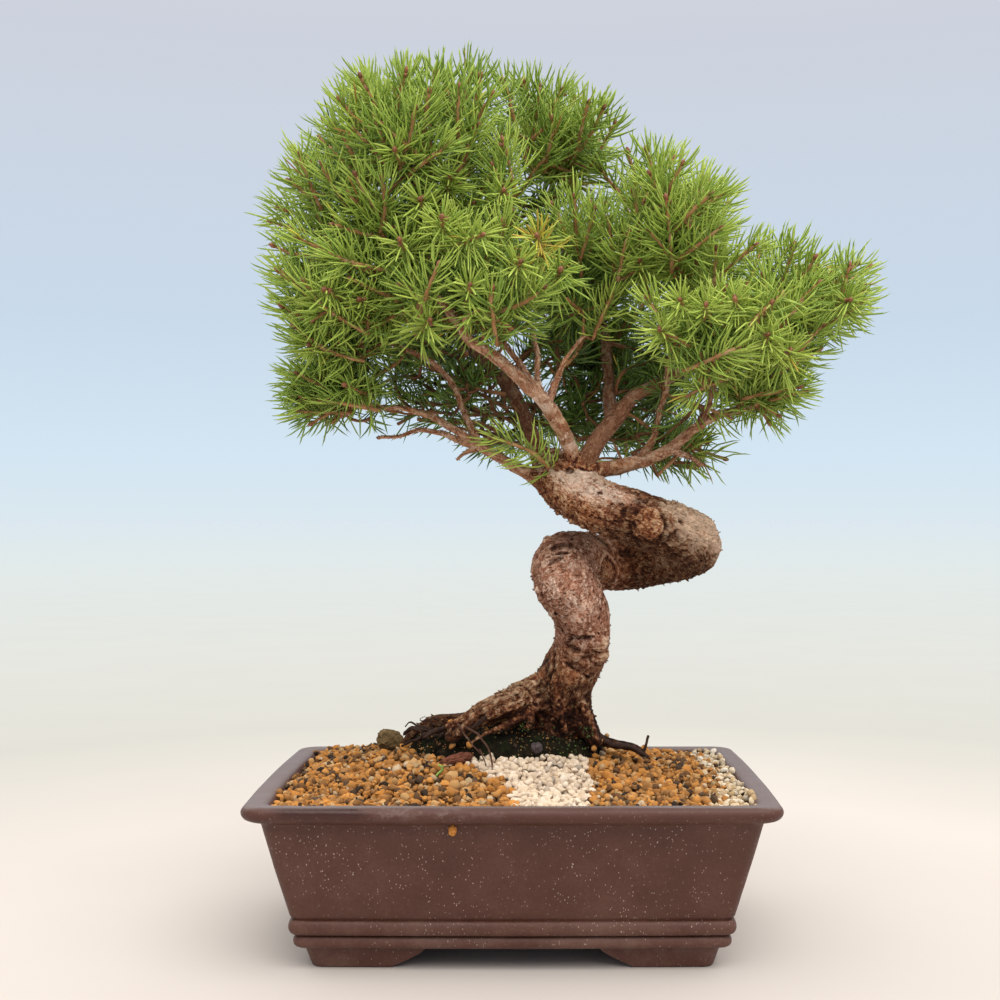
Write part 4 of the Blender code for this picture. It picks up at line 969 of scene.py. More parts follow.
    for u, v, ra, rb, turn, kind, amp in MARKS:
        loc = local(u, v, turn)
        if loc is None:
            continue
        a, b, dn, dlt = loc
        near_it = np.exp(-((np.maximum(np.abs(dn) - 3.0, 0) / 2.5) ** 2))
        r = np.sqrt((a / ra) ** 2 + (b / rb) ** 2)
        ang2 = np.arctan2(b / rb, a / ra)
        if kind == "bump":
            h += amp * np.exp(-(r**2)) * near_it
        elif kind == "stain":
            w = step(1.15, 0.55, r + 0.75 * fbm(co / 2.4, 3, 83)) * near_it
            h -= amp * w
            dark = np.maximum(dark, 0.84 * w)
        elif kind == "dark":
            w = step(1.15, 0.75, r + 0.25 * fbm(co / 1.5, 2, 81)) * near_it
            h -= amp * w
            dark = np.maximum(dark, 0.92 * w)
        elif kind == "pale":
            w = np.exp(-(r**2)) * near_it
            h = h * (1 - 0.5 * w) + amp * w
            tint = np.clip(tint + 0.8 * w, 0, 1)
            dark = dark * (1 - 0.9 * w)
            tone += 0.22 * w
        elif kind == "warm":
            w = step(1.3, 0.6, r + 0.3 * fbm(co / 2.4, 2, 84)) * near_it
            folds = np.sin(dlt[:, 2] * 3.2 + 2.0 * fbm(co / 2.6, 2, 85))
            h += amp * np.exp(-(r**2)) * near_it + 0.16 * folds * w
            tint = tint * (1 - 0.55 * w) + 0.12 * w
            dark = np.clip(dark * (1 - 0.75 * w) + 0.22 * step(0.45, 1.0, -folds) * w, 0, 1)
            tone -= 0.02 * w
        elif kind == "disc":
            # a healed cut: a flatter, finely cracked face inside a low rolled rim
            rr = r * (1 + 0.16 * fbm(np.stack((np.cos(ang2) * 1.3, np.sin(ang2) * 1.3, ang2 * 0 + u), 1), 2, 90)) + 0.10 * fbm(co / 2.5, 2, 92)
            inside = step(1.08, 0.86, rr) * near_it
            rim = np.exp(-(((rr - 1.12) / 0.22) ** 2)) * near_it
            crack = step(0.0, 0.16, np.abs(fbm(dlt / 1.5, 3, 91)))
            face = amp * 0.35 + 0.34 * crack + 0.40 * fbm(dlt / 1.3, 3, 95) + 0.25 * fbm(dlt / 4.0, 2, 93)
            h = h * (1 - inside) + (face - dn * 0.16) * inside + amp * 0.28 * rim
            tint = tint * (1 - inside * 0.8)
            dark = np.clip(dark * (1 - inside * 0.9) + inside * 0.16 * (1 - crack) + 0.16 * rim * step(0.0, 0.25, fbm(co / 3.0, 2, 94)), 0, 1)
            tone += 0.07 * inside
        elif kind == "knob":
            # an old callus: a round swelling of coarse bark with folds drawn round it
            rr = r * (1 + 0.14 * fbm(np.stack((np.cos(ang2) * 1.3, np.sin(ang2) * 1.3, ang2 * 0 + u), 1), 2, 90))
            inside = step(1.20, 0.90, rr) * near_it
            c1, c2, c3 = cells(dlt / (0.36 * ra) + 0.5 * fbm(co / 2.0, 2, 91)[:, None], 92)
            chips = 0.24 * c3 - 0.26 * (1 - step(0.03, 0.20, c2 - c1)) + 0.32 * fbm(dlt / 1.1, 2, 95)
            ragged = step(-0.15, 0.25, fbm(co / 3.2, 2, 94))
            groove = np.exp(-(((rr - 1.15) / 0.11) ** 2)) * near_it * ragged
            folds = np.sin(rr * 9.0 + 2.5 * fbm(co / 4.0, 2, 93)) * step(1.15, 1.35, rr) * step(2.1, 1.5, rr) * near_it
            h = h * (1 - 0.65 * inside) + inside * (amp * np.sqrt(np.clip(1 - (rr / 1.2) ** 2, 0, 1)) + chips) - 0.7 * groove + 0.36 * folds
            tint = tint * (1 - 0.8 * inside) + 0.10 * inside
            dark = np.clip(dark * (1 - 0.70 * inside) + 0.34 * groove, 0, 0.97)
            tone -= (0.10 + 0.10 * step(0.2, 0.9, rr)) * inside
        elif kind == "hole":
            w = step(1.1, 0.7, r) * near_it
            h -= amp * w
            dark = np.maximum(dark, 0.97 * w)
            ring = np.exp(-(((r - 1.35) / 0.25) ** 2)) * near_it
            h += amp * 0.35 * ring
        elif kind == "eye":
            w = np.exp(-(r**2) / 2.5) * near_it
            swirl = np.sin(r * 5.5 + ang2 * 0.6 + 1.5 * fbm(co / 3.0, 2, 96))
            h += amp * swirl * w
            dark = np.clip(dark + 0.35 * step(0.3, 0.9, -swirl) * w, 0, 1)

    for pts, width, depth in CREASES:
        line = np.vstack([np.array(c)[None] for c in crease_points(pts, bvh)]) if crease_points(pts, bvh) else None
        if line is None or len(line) < 2:
            continue
        best = np.full(n, 1e9)
        for p0, p1 in zip(line, line[1:]):
            ab = p1 - p0
            tt = np.clip(((co - p0) @ ab) / max(ab @ ab, 1e-6), 0, 1)
            best = np.minimum(best, np.linalg.norm(co - (p0 + tt[:, None] * ab), axis=1))
        best = np.abs(best + 1.7 * fbm(co / 3.2, 3, 97))
        w = np.exp(-((best / width) ** 2)) * step(-0.35, 0.05, fbm(co / 4.0, 2, 98))
        lip = np.exp(-(((best - width * 2.2) / width) ** 2))
        h += -0.6 * depth * w + 0.25 * depth * lip
        dark = np.clip(dark + 0.85 * w, 0, 0.97)

    keep = np.clip(R0 / 8.0, 0.35, 1.0)
    new = co + nor * (np.clip(h, -3.2, 4.5) * keep * (1 - 0.45 * calm) - swell)[:, None]
    # colour height: relief against a blurred copy of itself
    base = relax(np.stack((h, h, h), 1), 10, 0.8)[:, 0]
    crest = np.clip(0.52 + (0.42 * (h - base) / 0.35 + 0.10 * h) * (1 - 0.78 * calm), 0, 1)
    me.vertices.foreach_set("co", new.astype(np.float32).ravel())
    me.update()
    src = KDTree(n)
    for i in range(n):
        src.insert(new[i], i)
    src.balance()
    ob = temp(me)
    mod = ob.modifiers.new("d", "DECIMATE")
    tri_now = sum(len(p.vertices) - 2 for p in me.polygons)
    mod.ratio = min(1.0, 150000 / tri_now)
    me2 = evaluated(ob)
    bpy.data.objects.remove(ob, do_unlink=True)
    m = len(me2.vertices)
    c2 = np.empty(m * 3, np.float32)
    me2.vertices.foreach_get("co", c2)
    c2 = c2.reshape(-1, 3).astype(float)
    pick = np.array([src.find(c)[1] for c in c2])
    me2.vertices.foreach_set("co", ((c2 + SHIFT) * MM).astype(np.float32).ravel())
    me2.update()
    for key, values in (("bark_h", crest), ("bark_tint", tint), ("bark_dark", dark)):
        at = me2.attributes.new(key, "FLOAT", "POINT")
        at.data.foreach_set("value", values[pick].astype(np.float32))
    for key, values in (("bark_cross", np.clip(lower * (1 - base_zone) + 0.45 * smooth_lit_top, 0, 1)), ("bark_calm", calm), ("bark_tone", tone)):
        at = me2.attributes.new(key, "FLOAT", "POINT")
        at.data.foreach_set("value", values[pick].astype(np.float32))
    at = me2.attributes.new("bark_co", "FLOAT_VECTOR", "POINT")
    at.data.foreach_set("vector", bark[pick].astype(np.float32).ravel())
    # loose scales of bark that stand off
    bag, rows = Bag(), []
    weight = np.where(is_trunk, 0.35 + 0.9 * base_zone + 0.5 * down + 0.5 * coil * (1 - smooth_lit_top), np.where(which[near] <= len(ROOTS), 0.9, 0.0))
    weight = weight * (co[:, 2] > 84) * step(-0.2, 0.25, fbm(co / 9.0, 2, 201))
    for i in rng.choice(n, 1500, p=weight / weight.sum()):
        nrm = nor[i]
        lengthwise = tan[near[i]] - nrm * (tan[near[i]] @ nrm)
        a = unit(lengthwise + rng.normal(0, 0.45, 3))
        if lower[i] > 0.5 and base_zone[i] < 0.5:
            a = unit(np.cross(nrm, lengthwise) + rng.normal(0, 0.3, 3))
        w = unit(np.cross(nrm, a))
        L, W, up = rng.uniform(0.7, 2.3), rng.uniform(0.35, 1.1), rng.uniform(0.25, 0.80)
        a = a * rng.choice((-1.0, 1.0))
        o = new[i]
        top = o + a * L * 0.5 + nrm * up
        bag.add(np.array((o - a * L * 0.5 + w * W * 0.6 - nrm * 0.25, o - a * L * 0.5 - w * W * 0.6 - nrm * 0.25, top + w * W * 0.5, top - w * W * 0.35,
                          o + a * L * 0.35 + w * W * 0.45 - nrm * 0.25, o + a * L * 0.35 - w * W * 0.4 - nrm * 0.25)),
                ((0, 2, 3, 1), (0, 1, 5, 4), (2, 4, 5, 3)), ((0, 4, 2), (1, 3, 5)))
        rows.append(i)
    v, q, t, _ = bag.arrays()
    owner_of = np.repeat(rows, 6)
    # painted light on the lifted edge of each scale, and painted shade under it
    lit_edge_shaded_under = np.tile((0.0, 0.0, 0.10, 0.10, -0.25, -0.25), len(rows))
    ob = made("bark_scales", v, q, t, BARK, (), None, False, {
        "bark_h": np.clip(crest[owner_of] * 0.4 + 0.33 + lit_edge_shaded_under, 0, 1), "bark_tint": tint[owner_of], "bark_dark": dark[owner_of] * 0.8,
        "bark_cross": np.zeros(len(v)), "bark_calm": np.zeros(len(v)), "bark_tone": tone[owner_of]})
    at = ob.data.attributes.new("bark_co", "FLOAT_VECTOR", "POINT")
    at.data.foreach_set("vector", (bark[owner_of] + v - new[owner_of]).astype(np.float32).ravel())
    me2.name = "trunk_skin"
    piece("trunk_skin", me2, BARK, ("trunk_and_branches",))
    return bvh


def crease_points(pts, bvh):
    out = []
    for u, v in pts:
        d = unit(fp(u, v, 0.0) - EYE)
        hit = bvh.ray_cast(Vector(EYE), Vector(d))[0]
        if hit is not None:
            out.append(tuple(hit))
    return out


# u, v, half sizes in mm along and across, turn, kind, height in mm
MARKS = (
    (561, 553, 4.2, 1.0, 0.05, "dark", 0.9),
    (545, 536, 2.2, 1.8, 0.0, "bump", 1.6),
    (538, 590, 1.5, 1.3, 0.0, "bump", 1.8),
    (533, 572, 1.2, 1.0, 0.0, "bump", 0.9),
    (552, 613, 1.7, 1.9, 0.0, "bump", 1.6),
    (540, 598, 1.0, 1.2, 0.0, "bump", 1.0),
    (546, 563, 4.5, 3.5, 0.0, "bump", 1.0),
    (559, 512, 1.6, 0.9, 0.5, "bump", 2.4),
    (566, 515, 1.3, 0.8, 0.3, "bump", 1.5),
    (574, 519, 1.7, 0.9, 0.4, "bump", 2.2),
    (584, 524, 1.4, 0.8, 0.4, "bump", 1.6),
    (594, 530, 1.2, 0.8, 0.4, "bump", 1.3),
    (601, 643, 3.6, 2.9, 0.1, "warm", 3.3),
    (602, 655, 3.6, 2.9, -0.1, "warm", 3.3),
    (609, 650, 0.8, 1.9, 0.2, "dark", 0.5),
    (616, 496, 15.0, 4.4, -0.27, "pale", 0.3),
    (600, 493, 1.6, 0.9, -0.3, "dark", 0.5),
    (604, 485, 1.0, 0.7, 0.0, "dark", 0.4),
    (612, 504, 1.1, 0.7, -0.3, "dark", 0.4),
    (621, 504, 1.2, 0.7, -0.3, "dark", 0.4),
    (639, 495, 1.2, 0.7, -0.3, "dark", 0.4),
    (627, 510, 4.6, 2.2, 0.5, "stain", 0.5),
    (640, 501, 5.4, 1.7, 0.35, "stain", 0.5),
    (621, 519, 3.4, 2.0, 0.3, "stain", 0.4),
    (655, 543, 7.0, 1.8, 0.0, "stain", 0.5),
    (674, 537, 3.4, 3.8, 0.3, "stain", 0.5),
    (666, 530, 1.6, 5.0, 0.1, "stain", 0.4),
    (663, 500, 3.0, 1.6, -0.4, "stain", 0.4),
    (690, 508, 5.0, 1.2, -0.5, "stain", 0.4),
    (600, 540, 8.0, 1.6, -0.3, "stain", 0.3),
    (569, 470, 2.6, 2.0, 0.0, "stain", 0.5),
    (563, 545, 7.0, 2.6, 0.1, "stain", 0.4),
    (628, 552, 5.0, 3.2, 0.1, "stain", 0.4),
    (557, 560, 5.0, 1.6, 0.5, "stain", 0.4),
    (580, 638, 6.0, 1.5, -0.05, "stain", 0.6),
    (574, 649, 4.6, 1.8, -0.3, "stain", 0.5),
    (586, 656, 3.6, 2.4, -0.2, "stain", 0.6),
    (577, 667, 5.6, 3.0, -0.35, "stain", 0.6),
    (589, 675, 3.6, 1.6, -0.3, "stain", 0.5),
    (553, 661, 1.4, 7.5, 0.0, "stain", 0.6),
    (561, 690, 1.6, 5.0, 0.15, "stain", 0.4),
    (582, 697, 4.0, 1.6, 0.2, "stain", 0.4),
    (560, 628, 3.0, 1.2, 0.0, "stain", 0.3),
    (648, 524, 6.2, 6.6, 0.0, "knob", 1.3),
    (682, 522, 1.9, 1.2, -0.9, "hole", 1.8),
    (677, 538, 5.0, 4.0, 0.4, "eye", 0.4),
    (606, 573, 3.7, 5.6, 0.0, "knob", 1.2),
    (585.5, 466, 4.2, 4.6, -0.2, "knob", 1.6),
    (592, 524, 7.5, 5.5, -0.3, "bump", 1.2),
    (565, 500, 5.0, 5.0, 0.0, "bump", 1.3),
    (575, 566, 5.5, 2.2, 0.0, "pale", 0.4),
    (582, 606, 7.0, 7.0, 0.0, "pale", 0.2),
    (553, 584, 5.0, 5.0, 0.0, "pale", 0.2),
)
CREASES = (
    (((567, 642), (574, 637.5), (583, 639.5), (590, 637), (598, 636), (609, 638.5)), 0.36, 1.4),
    (((566, 662), (573, 667), (581, 673), (589, 678)), 0.55, 1.1),
    (((592, 650), (598, 651), (604, 649.5), (609, 650)), 0.34, 1.3),
    (((590, 660), (595, 664.5), (602, 665), (607, 662)), 0.42, 1.4),
    (((556, 650), (552, 658), (554, 667), (550, 677), (551, 690)), 0.48, 1.2),
    (((571, 690), (574, 702), (573, 714)), 0.55, 0.9),
    (((636, 512), (634, 522), (637, 532), (645, 539)), 0.50, 1.0),
    (((662, 512), (666, 522), (665, 532), (659, 540)), 0.50, 0.9),
    (((520, 686), (528, 690), (534, 698), (536, 708)), 0.60, 1.3),
    (((508, 694), (518, 696), (525, 704)), 0.55, 1.2),
    (((548, 700), (552, 709), (551, 718)), 0.50, 1.0),
)


def small_limbs():
    """Branches thinner than the skin takes, as bars with knotty, scaly bark."""
    bag, hs, bcs, darks = Bag(), [], [], []
    for k, line in enumerate(branch_lines):
        use = line[line[:, 3] <= THICK + 0.5]
        if len(use) < 3:
            continue
        sides, gap = (14, 1.25) if use[0, 3] > 1.9 else (9, 1.5)
        use = curve(use[::2] if len(use) > 6 else use, gap)
        p, r = use[:, :3], use[:, 3]
        a = np.arange(sides) / sides * 2 * np.pi
        s = np.arange(len(p)) * gap
        sr = np.repeat(s, sides)
        rr = np.repeat(r, sides)
        grid = np.stack((sr + k * 131, np.tile(np.cos(a), len(p)) * rr, np.tile(np.sin(a), len(p)) * rr), 1)
        rough = fbm(grid * np.array((1 / 4.0, 1 / 1.5, 1 / 1.5)), 3, 120)
        crumb = fbm(grid / 1.1, 2, 121)
        knots = np.clip(fbm(np.stack((s / 6.0 + k * 13, s * 0, s * 0), 1), 2, 130), -0.3, 1)
        sway = np.stack([fbm(np.stack((s / 16.0 + k * 7, s * 0 + c, s * 0), 1), 2, 140 + c) for c in range(3)], 1)
        p = p + sway * np.minimum(r, 1.6)[:, None] * np.minimum(s / 8.0, 1)[:, None]
        rel = 0.34 * rough + 0.16 * crumb
        wob = 1 + (rel * np.clip(1.6 / rr, 0.35, 1.0)).reshape(len(p), sides) + 0.20 * knots[:, None]
        v, q, t = sweep(p, r * (1.0 if use[0, 3] > 2.6 else 0.88), sides, True, wob)
        bag.add(v, q, t)
        hv = np.clip(0.52 + 0.75 * rough + 0.30 * crumb, 0, 1)
        hs.append(np.concatenate((hv, (0.4, 0.4))))
        bc = grid
        bcs.append(np.vstack((bc, bc[:1], bc[-1:])))
        # painted shade: the branches at the back of the crown get darker bark
        dk = np.clip((0.60 if k in (7, 9, 13) else 0.04) + 0.25 * step(0.1, 0.3, fbm(grid / 5.0, 2, 150)), 0, 1)
        darks.append(np.concatenate((dk, (0.0, 0.0))))
        # the pegs that fallen needles leave
        for _ in range(int(len(p) * 1.6)):
            i = rng.integers(1, len(p) - 1)
            tn = unit(p[i + 1] - p[i - 1])
            side = unit(np.cross(tn, rng.normal(size=3)))
            w = unit(np.cross(tn, side))
            o = p[i] + (p[i + 1] - p[i]) * rng.random() + side * r[i] * 0.92
            b = 0.30 * min(1.0, r[i])
            vv = np.array((o + w * b, o - w * b * 0.5 + tn * b, o - w * b * 0.5 - tn * b, o + side * rng.uniform(0.35, 0.7) + tn * 0.2))
            bag.add(vv, None, ((0, 1, 3), (1, 2, 3), (2, 0, 3), (2, 1, 0)))
            hs.append(np.array((0.4, 0.4, 0.4, 0.9)))
            bcs.append(np.tile(rng.uniform(-50, 50, 3), (4, 1)) + vv * 0.3)
            # painted shade on the pegs of the back branches
            darks.append(np.full(4, 0.4 if k in (7, 9, 13) else 0.0))
        # bark scales that stand off
        for _ in range(int(len(p) * 0.8)):
            i = rng.integers(1, len(p) - 1)
            tn = unit(p[i + 1] - p[i - 1])
            side = unit(np.cross(tn, rng.normal(size=3)))
            o = p[i] + side * r[i] * 0.92
            w = unit(np.cross(tn, side))
            L, W = rng.uniform(0.8, 2.0), rng.uniform(0.25, 0.55) * min(1, r[i] / 1.5)
            tip = o + tn * L * rng.choice((-0.8, 0.8)) + side * rng.uniform(0.20, 0.50)
            vv = np.array((o + w * W - side * 0.15, o - w * W - side * 0.15, o + side * 0.30, tip))
            bag.add(vv, None, ((0, 1, 2), (0, 2, 3), (2, 1, 3), (1, 0, 3)))
            hs.append(np.full(4, rng.uniform(0.4, 0.9)))
            bcs.append(np.tile(rng.uniform(-50, 50, 3), (4, 1)) + vv * 0.3)
            darks.append(np.full(4, 0.0))
    for k, line in enumerate(branch_lines):
        use = line[line[:, 3] > THICK - 0.2]
        if len(use) < 6:
            continue
        for _ in range(int(len(use) * 14)):
            i = rng.integers(4, len(use) - 1)
            tn = unit(use[i, :3] - use[i - 1, :3])
            side = unit(np.cross(tn, rng.normal(size=3)))
            hit = trunk_bvh.find_nearest(Vector(use[i, :3] + tn * rng.uniform(-1, 1) + side * use[i, 3]))[0]
            if hit is None:
                continue
            o = np.array(hit) - side * 0.30
            w = unit(np.cross(tn, side))
            b = rng.uniform(0.22, 0.40)
            vv = np.array((o + w * b, o - w * b * 0.5 + tn * b, o - w * b * 0.5 - tn * b, o + side * rng.uniform(0.55, 0.85) + tn * 0.2))
            bag.add(vv, None, ((0, 1, 3), (1, 2, 3), (2, 0, 3), (2, 1, 0)))
            hs.append(np.array((0.35, 0.35, 0.35, 0.95)))
            bcs.append(np.tile(rng.uniform(-50, 50, 3), (4, 1)) + vv * 0.3)
            # painted shade on the pegs of the back limbs
            darks.append(np.full(4, 0.5 if k in (7, 9) else 0.0))
    v, q, t, _ = bag.arrays()
    hs = np.concatenate(hs)
    tint = np.clip(0.52 + 0.5 * fbm(v / 14.0, 2, 160), 0.1, 0.9)
    ob = made("thin_branches", v, q, t, BARK, (), None, True, {"bark_h": hs, "bark_tint": tint, "bark_dark": np.concatenate(darks), "bark_cross": np.full(len(v), 0.35), "bark_calm": np.full(len(v), 0.75), "bark_tone": np.full(len(v), 0.20)})
    at = ob.data.attributes.new("bark_co", "FLOAT_VECTOR", "POINT")
    at.data.foreach_set("vector", np.concatenate(bcs).astype(np.float32).ravel())


# --- foliage -------------------------------------------------------------------
FOLIAGE = {
    "foliage_left_crown": (402, 168, -10, 60, 60, 52),
    "foliage_left_shoulder": (340, 290, -8, 40, 56, 42),
    "foliage_left_low": (332, 394, 0, 29, 40, 22),
    "foliage_front_centre": (476, 275, -48, 44, 36, 34),
    "foliage_back_left": (450, 270, 58, 52, 36, 46),
    "foliage_top_back": (566, 132, 32, 34, 42, 34),
    "foliage_middle": (580, 262, 4, 34, 44, 36),
    "foliage_back_middle": (590, 330, 66, 42, 30, 44),
    "foliage_right_crown": (684, 222, -4, 40, 52, 38),
    "foliage_right_outer": (808, 302, -4, 37, 46, 34),
    "foliage_right_front": (712, 330, -48, 38, 28, 27),
    "foliage_right_back": (712, 322, 48, 40, 34, 34),
    "foliage_right_low": (768, 400, 0, 31, 36, 21),
    "foliage_right_hanging": (700, 461, 16, 17, 22, 11),
}
CLUMPS = list(FOLIAGE)
MID = np.array([fp(*FOLIAGE[c][:3]) for c in CLUMPS])
HALF = np.array([FOLIAGE[c][3:] for c in CLUMPS], float)
# general tone of each mass, with painted shade: the back and the top are darker than the front
CLUMP_TONE = dict(zip(CLUMPS, (0.70, 0.64, 0.61, 0.66, 0.50, 0.78, 0.62, 0.48, 0.80, 0.76, 0.78, 0.56, 0.68, 0.70)))


def clump_planes(i):
    out = []
    for j in range(len(CLUMPS)):
        if j == i:
            continue
        away = MID[j] - MID[i]
        n = unit(away)
        reach = [1 / math.sqrt(((n / HALF[m]) ** 2).sum()) for m in (i, j)]
        out.append((MID[i] + away * (reach[0] / (reach[0] + reach[1])), n))
    return out


PLANES = [clump_planes(i) for i in range(len(CLUMPS))]


def owner(p):
    d = np.linalg.norm((p[None] - MID) / HALF, axis=1)
    return int(np.argmin(d))


def foliage_bvh():
    vs, fs, n = [], [], 0
    for name in CLUMPS:
        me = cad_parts[name].data
        c = np.empty(len(me.vertices) * 3, np.float32)
        me.vertices.foreach_get("co", c)
        c = c.reshape(-1, 3) / MM - SHIFT
        vs += [tuple(x) for x in c]
        fs += [tuple(i + n for i in p.vertices) for p in me.polygons]
        n += len(c)
    return BVHTree.FromPolygons(vs, fs)


LEAF_BVH = foliage_bvh()


def front_depth(u, v):
    """Depth where the sight line enters the foliage."""
    d = unit(fp(u, v, 0.0) - EYE)
    hit = LEAF_BVH.ray_cast(Vector(EYE), Vector(d))[0]
    if hit is not None:
        return hit.y
    uv = to_uv(MID)
    k = (MID[:, 1] + 616) / FOCAL
    dist = ((uv[:, 0] - u) * k / HALF[:, 0]) ** 2 + ((uv[:, 1] - v) * k / HALF[:, 2]) ** 2
    return MID[int(np.argmin(dist)), 1] - 4.0


# how far the needles reach, seen from the front: up the left, over the top, down the right, and back underneath
OUTLINE = (
    (300, 440), (281, 420), (276, 395), (270, 372), (278, 345), (262, 305), (260, 265), (250, 232), (258, 205), (268, 188), (279, 150), (293, 131), (308, 106),
    (322, 94), (338, 70), (356, 57), (386, 60), (402, 52), (430, 55), (446, 47), (476, 49), (492, 62), (522, 62), (550, 69), (580, 74), (596, 86), (612, 90),
    (626, 104), (638, 130), (656, 133), (686, 143), (700, 155), (716, 159), (732, 173), (747, 190), (757, 224), (776, 233), (792, 223), (820, 238), (836, 249),
    (866, 243), (880, 256), (886, 290), (876, 322), (852, 338), (838, 354), (826, 376), (824, 398), (806, 416), (792, 428), (776, 441), (758, 440), (745, 424),
    (742, 476), (690, 484), (600, 484), (480, 464), (440, 442), (355, 438), (326, 444),
)
OUT = np.array(OUTLINE, float)


def outline_gap(uv, edge=OUT):
    """How far inside the outline a point is, below 0 outside, and the way in."""
    a, b = edge, np.roll(edge, -1, 0)
    ab = b - a
    t = np.clip(((uv - a) * ab).sum(1) / (ab**2).sum(1), 0, 1)
    near = a + ab * t[:, None]
    d = np.linalg.norm(uv - near, axis=1)
    k = int(np.argmin(d))
    x, y = uv
    crossed = ((a[:, 1] > y) != (b[:, 1] > y)) & (x < ab[:, 0] * (y - a[:, 1]) / np.where(ab[:, 1] == 0, 1e-9, ab[:, 1]) + a[:, 0])
    inside = crossed.sum() % 2 == 1
    way = (uv - near[k]) if inside else (near[k] - uv)
    return (d[k] if inside else -d[k]), way / max(np.linalg.norm(way), 1e-6)


CROWN = np.array(OUTLINE[:53] + ((722, 420), (700, 432), (600, 470), (480, 452), (440, 442), (355, 438), (326, 444)), float)


def pulled_in(tip, gap, edge=None):
    for _ in range(4):
        d, way = outline_gap(to_uv(tip[None])[0], OUT if edge is None else edge)
        if d >= gap:
            break
        k = (tip[1] - EYE[1]) / FOCAL
        tip = tip + np.array((way[0], 0.0, -way[1])) * (gap - d) * k * 1.02
    return tip


class Foliage:
    def __init__(self):
        self.needles = {c: [] for c in CLUMPS + ["foliage_underneath"]}
        self.fine = {c: [] for c in CLUMPS + ["foliage_underneath"]}
        self.stems, self.buds = Bag(), Bag()
        self.tips, self.bases = [], []

    def needle_rows(self, clump, P, D, B, L, R, T, fine):
        (self.fine if fine else self.needles)[clump].append((P, D, B, L, R, T))

    def shoot(self, path, clump, tone, count, length=13.2, spread=(68, 36), bare=0.06, bend=0.10, gravity=0.0, width=0.36, fine=False):
        """Needles in a spiral round a path that runs from base to tip."""
        p = curve(path, 1.0)
        tan, nor, bi = frames(p)
        m = len(p) - 1
        f = np.sort(rng.uniform(bare, 1.0, count)) ** 0.92
        x = f * m
        i = np.minimum(x.astype(int), m - 1)
        w = (x - i)[:, None]
        P = p[i] * (1 - w) + p[i + 1] * w
        tn, nn, bb = tan[i], nor[i], bi[i]
        phi = np.arange(count) * 2.39996 + rng.normal(0, 0.25, count) + rng.uniform(0, 6.28)
        alpha = np.radians(spread[0] + (spread[1] - spread[0]) * f**1.8 + rng.normal(0, 6.5, count))
        side = np.cos(phi)[:, None] * nn + np.sin(phi)[:, None] * bb
        D = np.cos(alpha)[:, None] * tn + np.sin(alpha)[:, None] * side
        D[:, 2] += 0.10
        D = unit(D)
        B = tn - D * np.einsum("ij,ij->i", tn, D)[:, None]
        B = unit(B) * (bend * rng.uniform(0.45, 1.45, count))[:, None]
        B += rng.normal(0, 0.040, (count, 3))
        B[:, 2] -= gravity * rng.uniform(0.4, 1.3, count)
        L = length * rng.uniform(0.82, 1.12, count) * np.where(f > 0.93, 0.86, 1.0) * (0.82 + 0.18 * np.sin(np.pi * np.clip(f * 1.1, 0, 1)))
        R = width * rng.uniform(0.85, 1.15, count)
        T = tone + rng.normal(0, 0.070, count) + 0.05 * (f - 0.5)
        odd = rng.random(count)
        T = np.where(odd < 0.005, rng.uniform(0.93, 1.0, count), np.clip(T, 0.03, 0.86 if tone < 0.9 else 0.96))
        P = P + side * 0.35
        self.needle_rows(clump, P, D, B, L, R, T, fine)
        return p

    def stem(self, path, r0, r1, tone=0.6, sides=6, spacing=2.6, age=1.0):
        p = curve(path, spacing)
        s = np.linspace(0, 1, len(p))
        wob = 1 + 0.20 * rng.normal(0, 1, (len(p), sides)).clip(-1.5, 1.5)
        v, q, t = sweep(p, r0 + (r1 - r0) * s, sides, True, wob)
        j = np.tile(np.arange(sides), len(p)) / (sides - 1) - 0.5
        tn = np.clip(tone + 0.10 * rng.normal(0, 1, len(p)), 0.03, 0.97)
        uv = np.stack((np.repeat(tn, sides) + 0.012 * j, np.repeat(0.25 + 0.7 * s, sides)), 1)
        uv = np.vstack((uv, (tn[0], 0.2), (tn[-1], 0.97)))
        self.stems.add(v, q, t, uv)

    def bud(self, at, direction, size=1.35, tone=0.5, fine=True):
        prof = (
            ((0.0, 0.55), (0.30, 0.97), (0.50, 0.88), (0.80, 1.02), (1.0, 0.80), (1.35, 0.68), (1.72, 0.12))
            if fine
            else ((0.0, 0.6), (0.5, 1.0), (1.1, 0.78), (1.7, 0.14))
        )
        direction = unit(direction)
        z = np.array([a for a, _ in prof]) * size * 1.25
        r = np.array([b for _, b in prof]) * size * 0.82
        path = at + direction * z[:, None]
        sides = 7 if fine else 5
        turn = np.arange(len(prof)) % 2
        wob = 1 + 0.10 * np.cos(np.arange(sides)[None] * np.pi + turn[:, None] * np.pi)
        v, q, t = sweep(path, r, sides, True, wob)
        j = np.tile(np.arange(sides), len(prof)) / (sides - 1) - 0.5
        ring = np.repeat(np.linspace(0.1, 0.9, len(prof)), sides)
        uv = np.stack((np.clip(tone + rng.normal(0, 0.10, len(ring)), 0.03, 0.95) + 0.012 * j, ring), 1)
        uv = np.vstack((uv, (tone, 0.05), (tone, 0.95)))
        self.buds.add(v, q, t, uv)

    def tip_buds(self, path, fine=True, count=None):
        d = unit(path[-1] - path[-3])
        size = rng.uniform(1.15, 1.5)
        self.bud(path[-1] - d * 0.4, d, size, rng.uniform(0.35, 0.75), fine)
        more = rng.choice((0, 1, 2), p=(0.35, 0.35, 0.3)) if count is None else count
        for _ in range(more):
            side = unit(np.cross(d, rng.normal(size=3)))
            self.bud(path[-1] - d * 1.6 + side * 0.5, d * 0.55 + side, size * 0.82, rng.uniform(0.3, 0.7), fine)

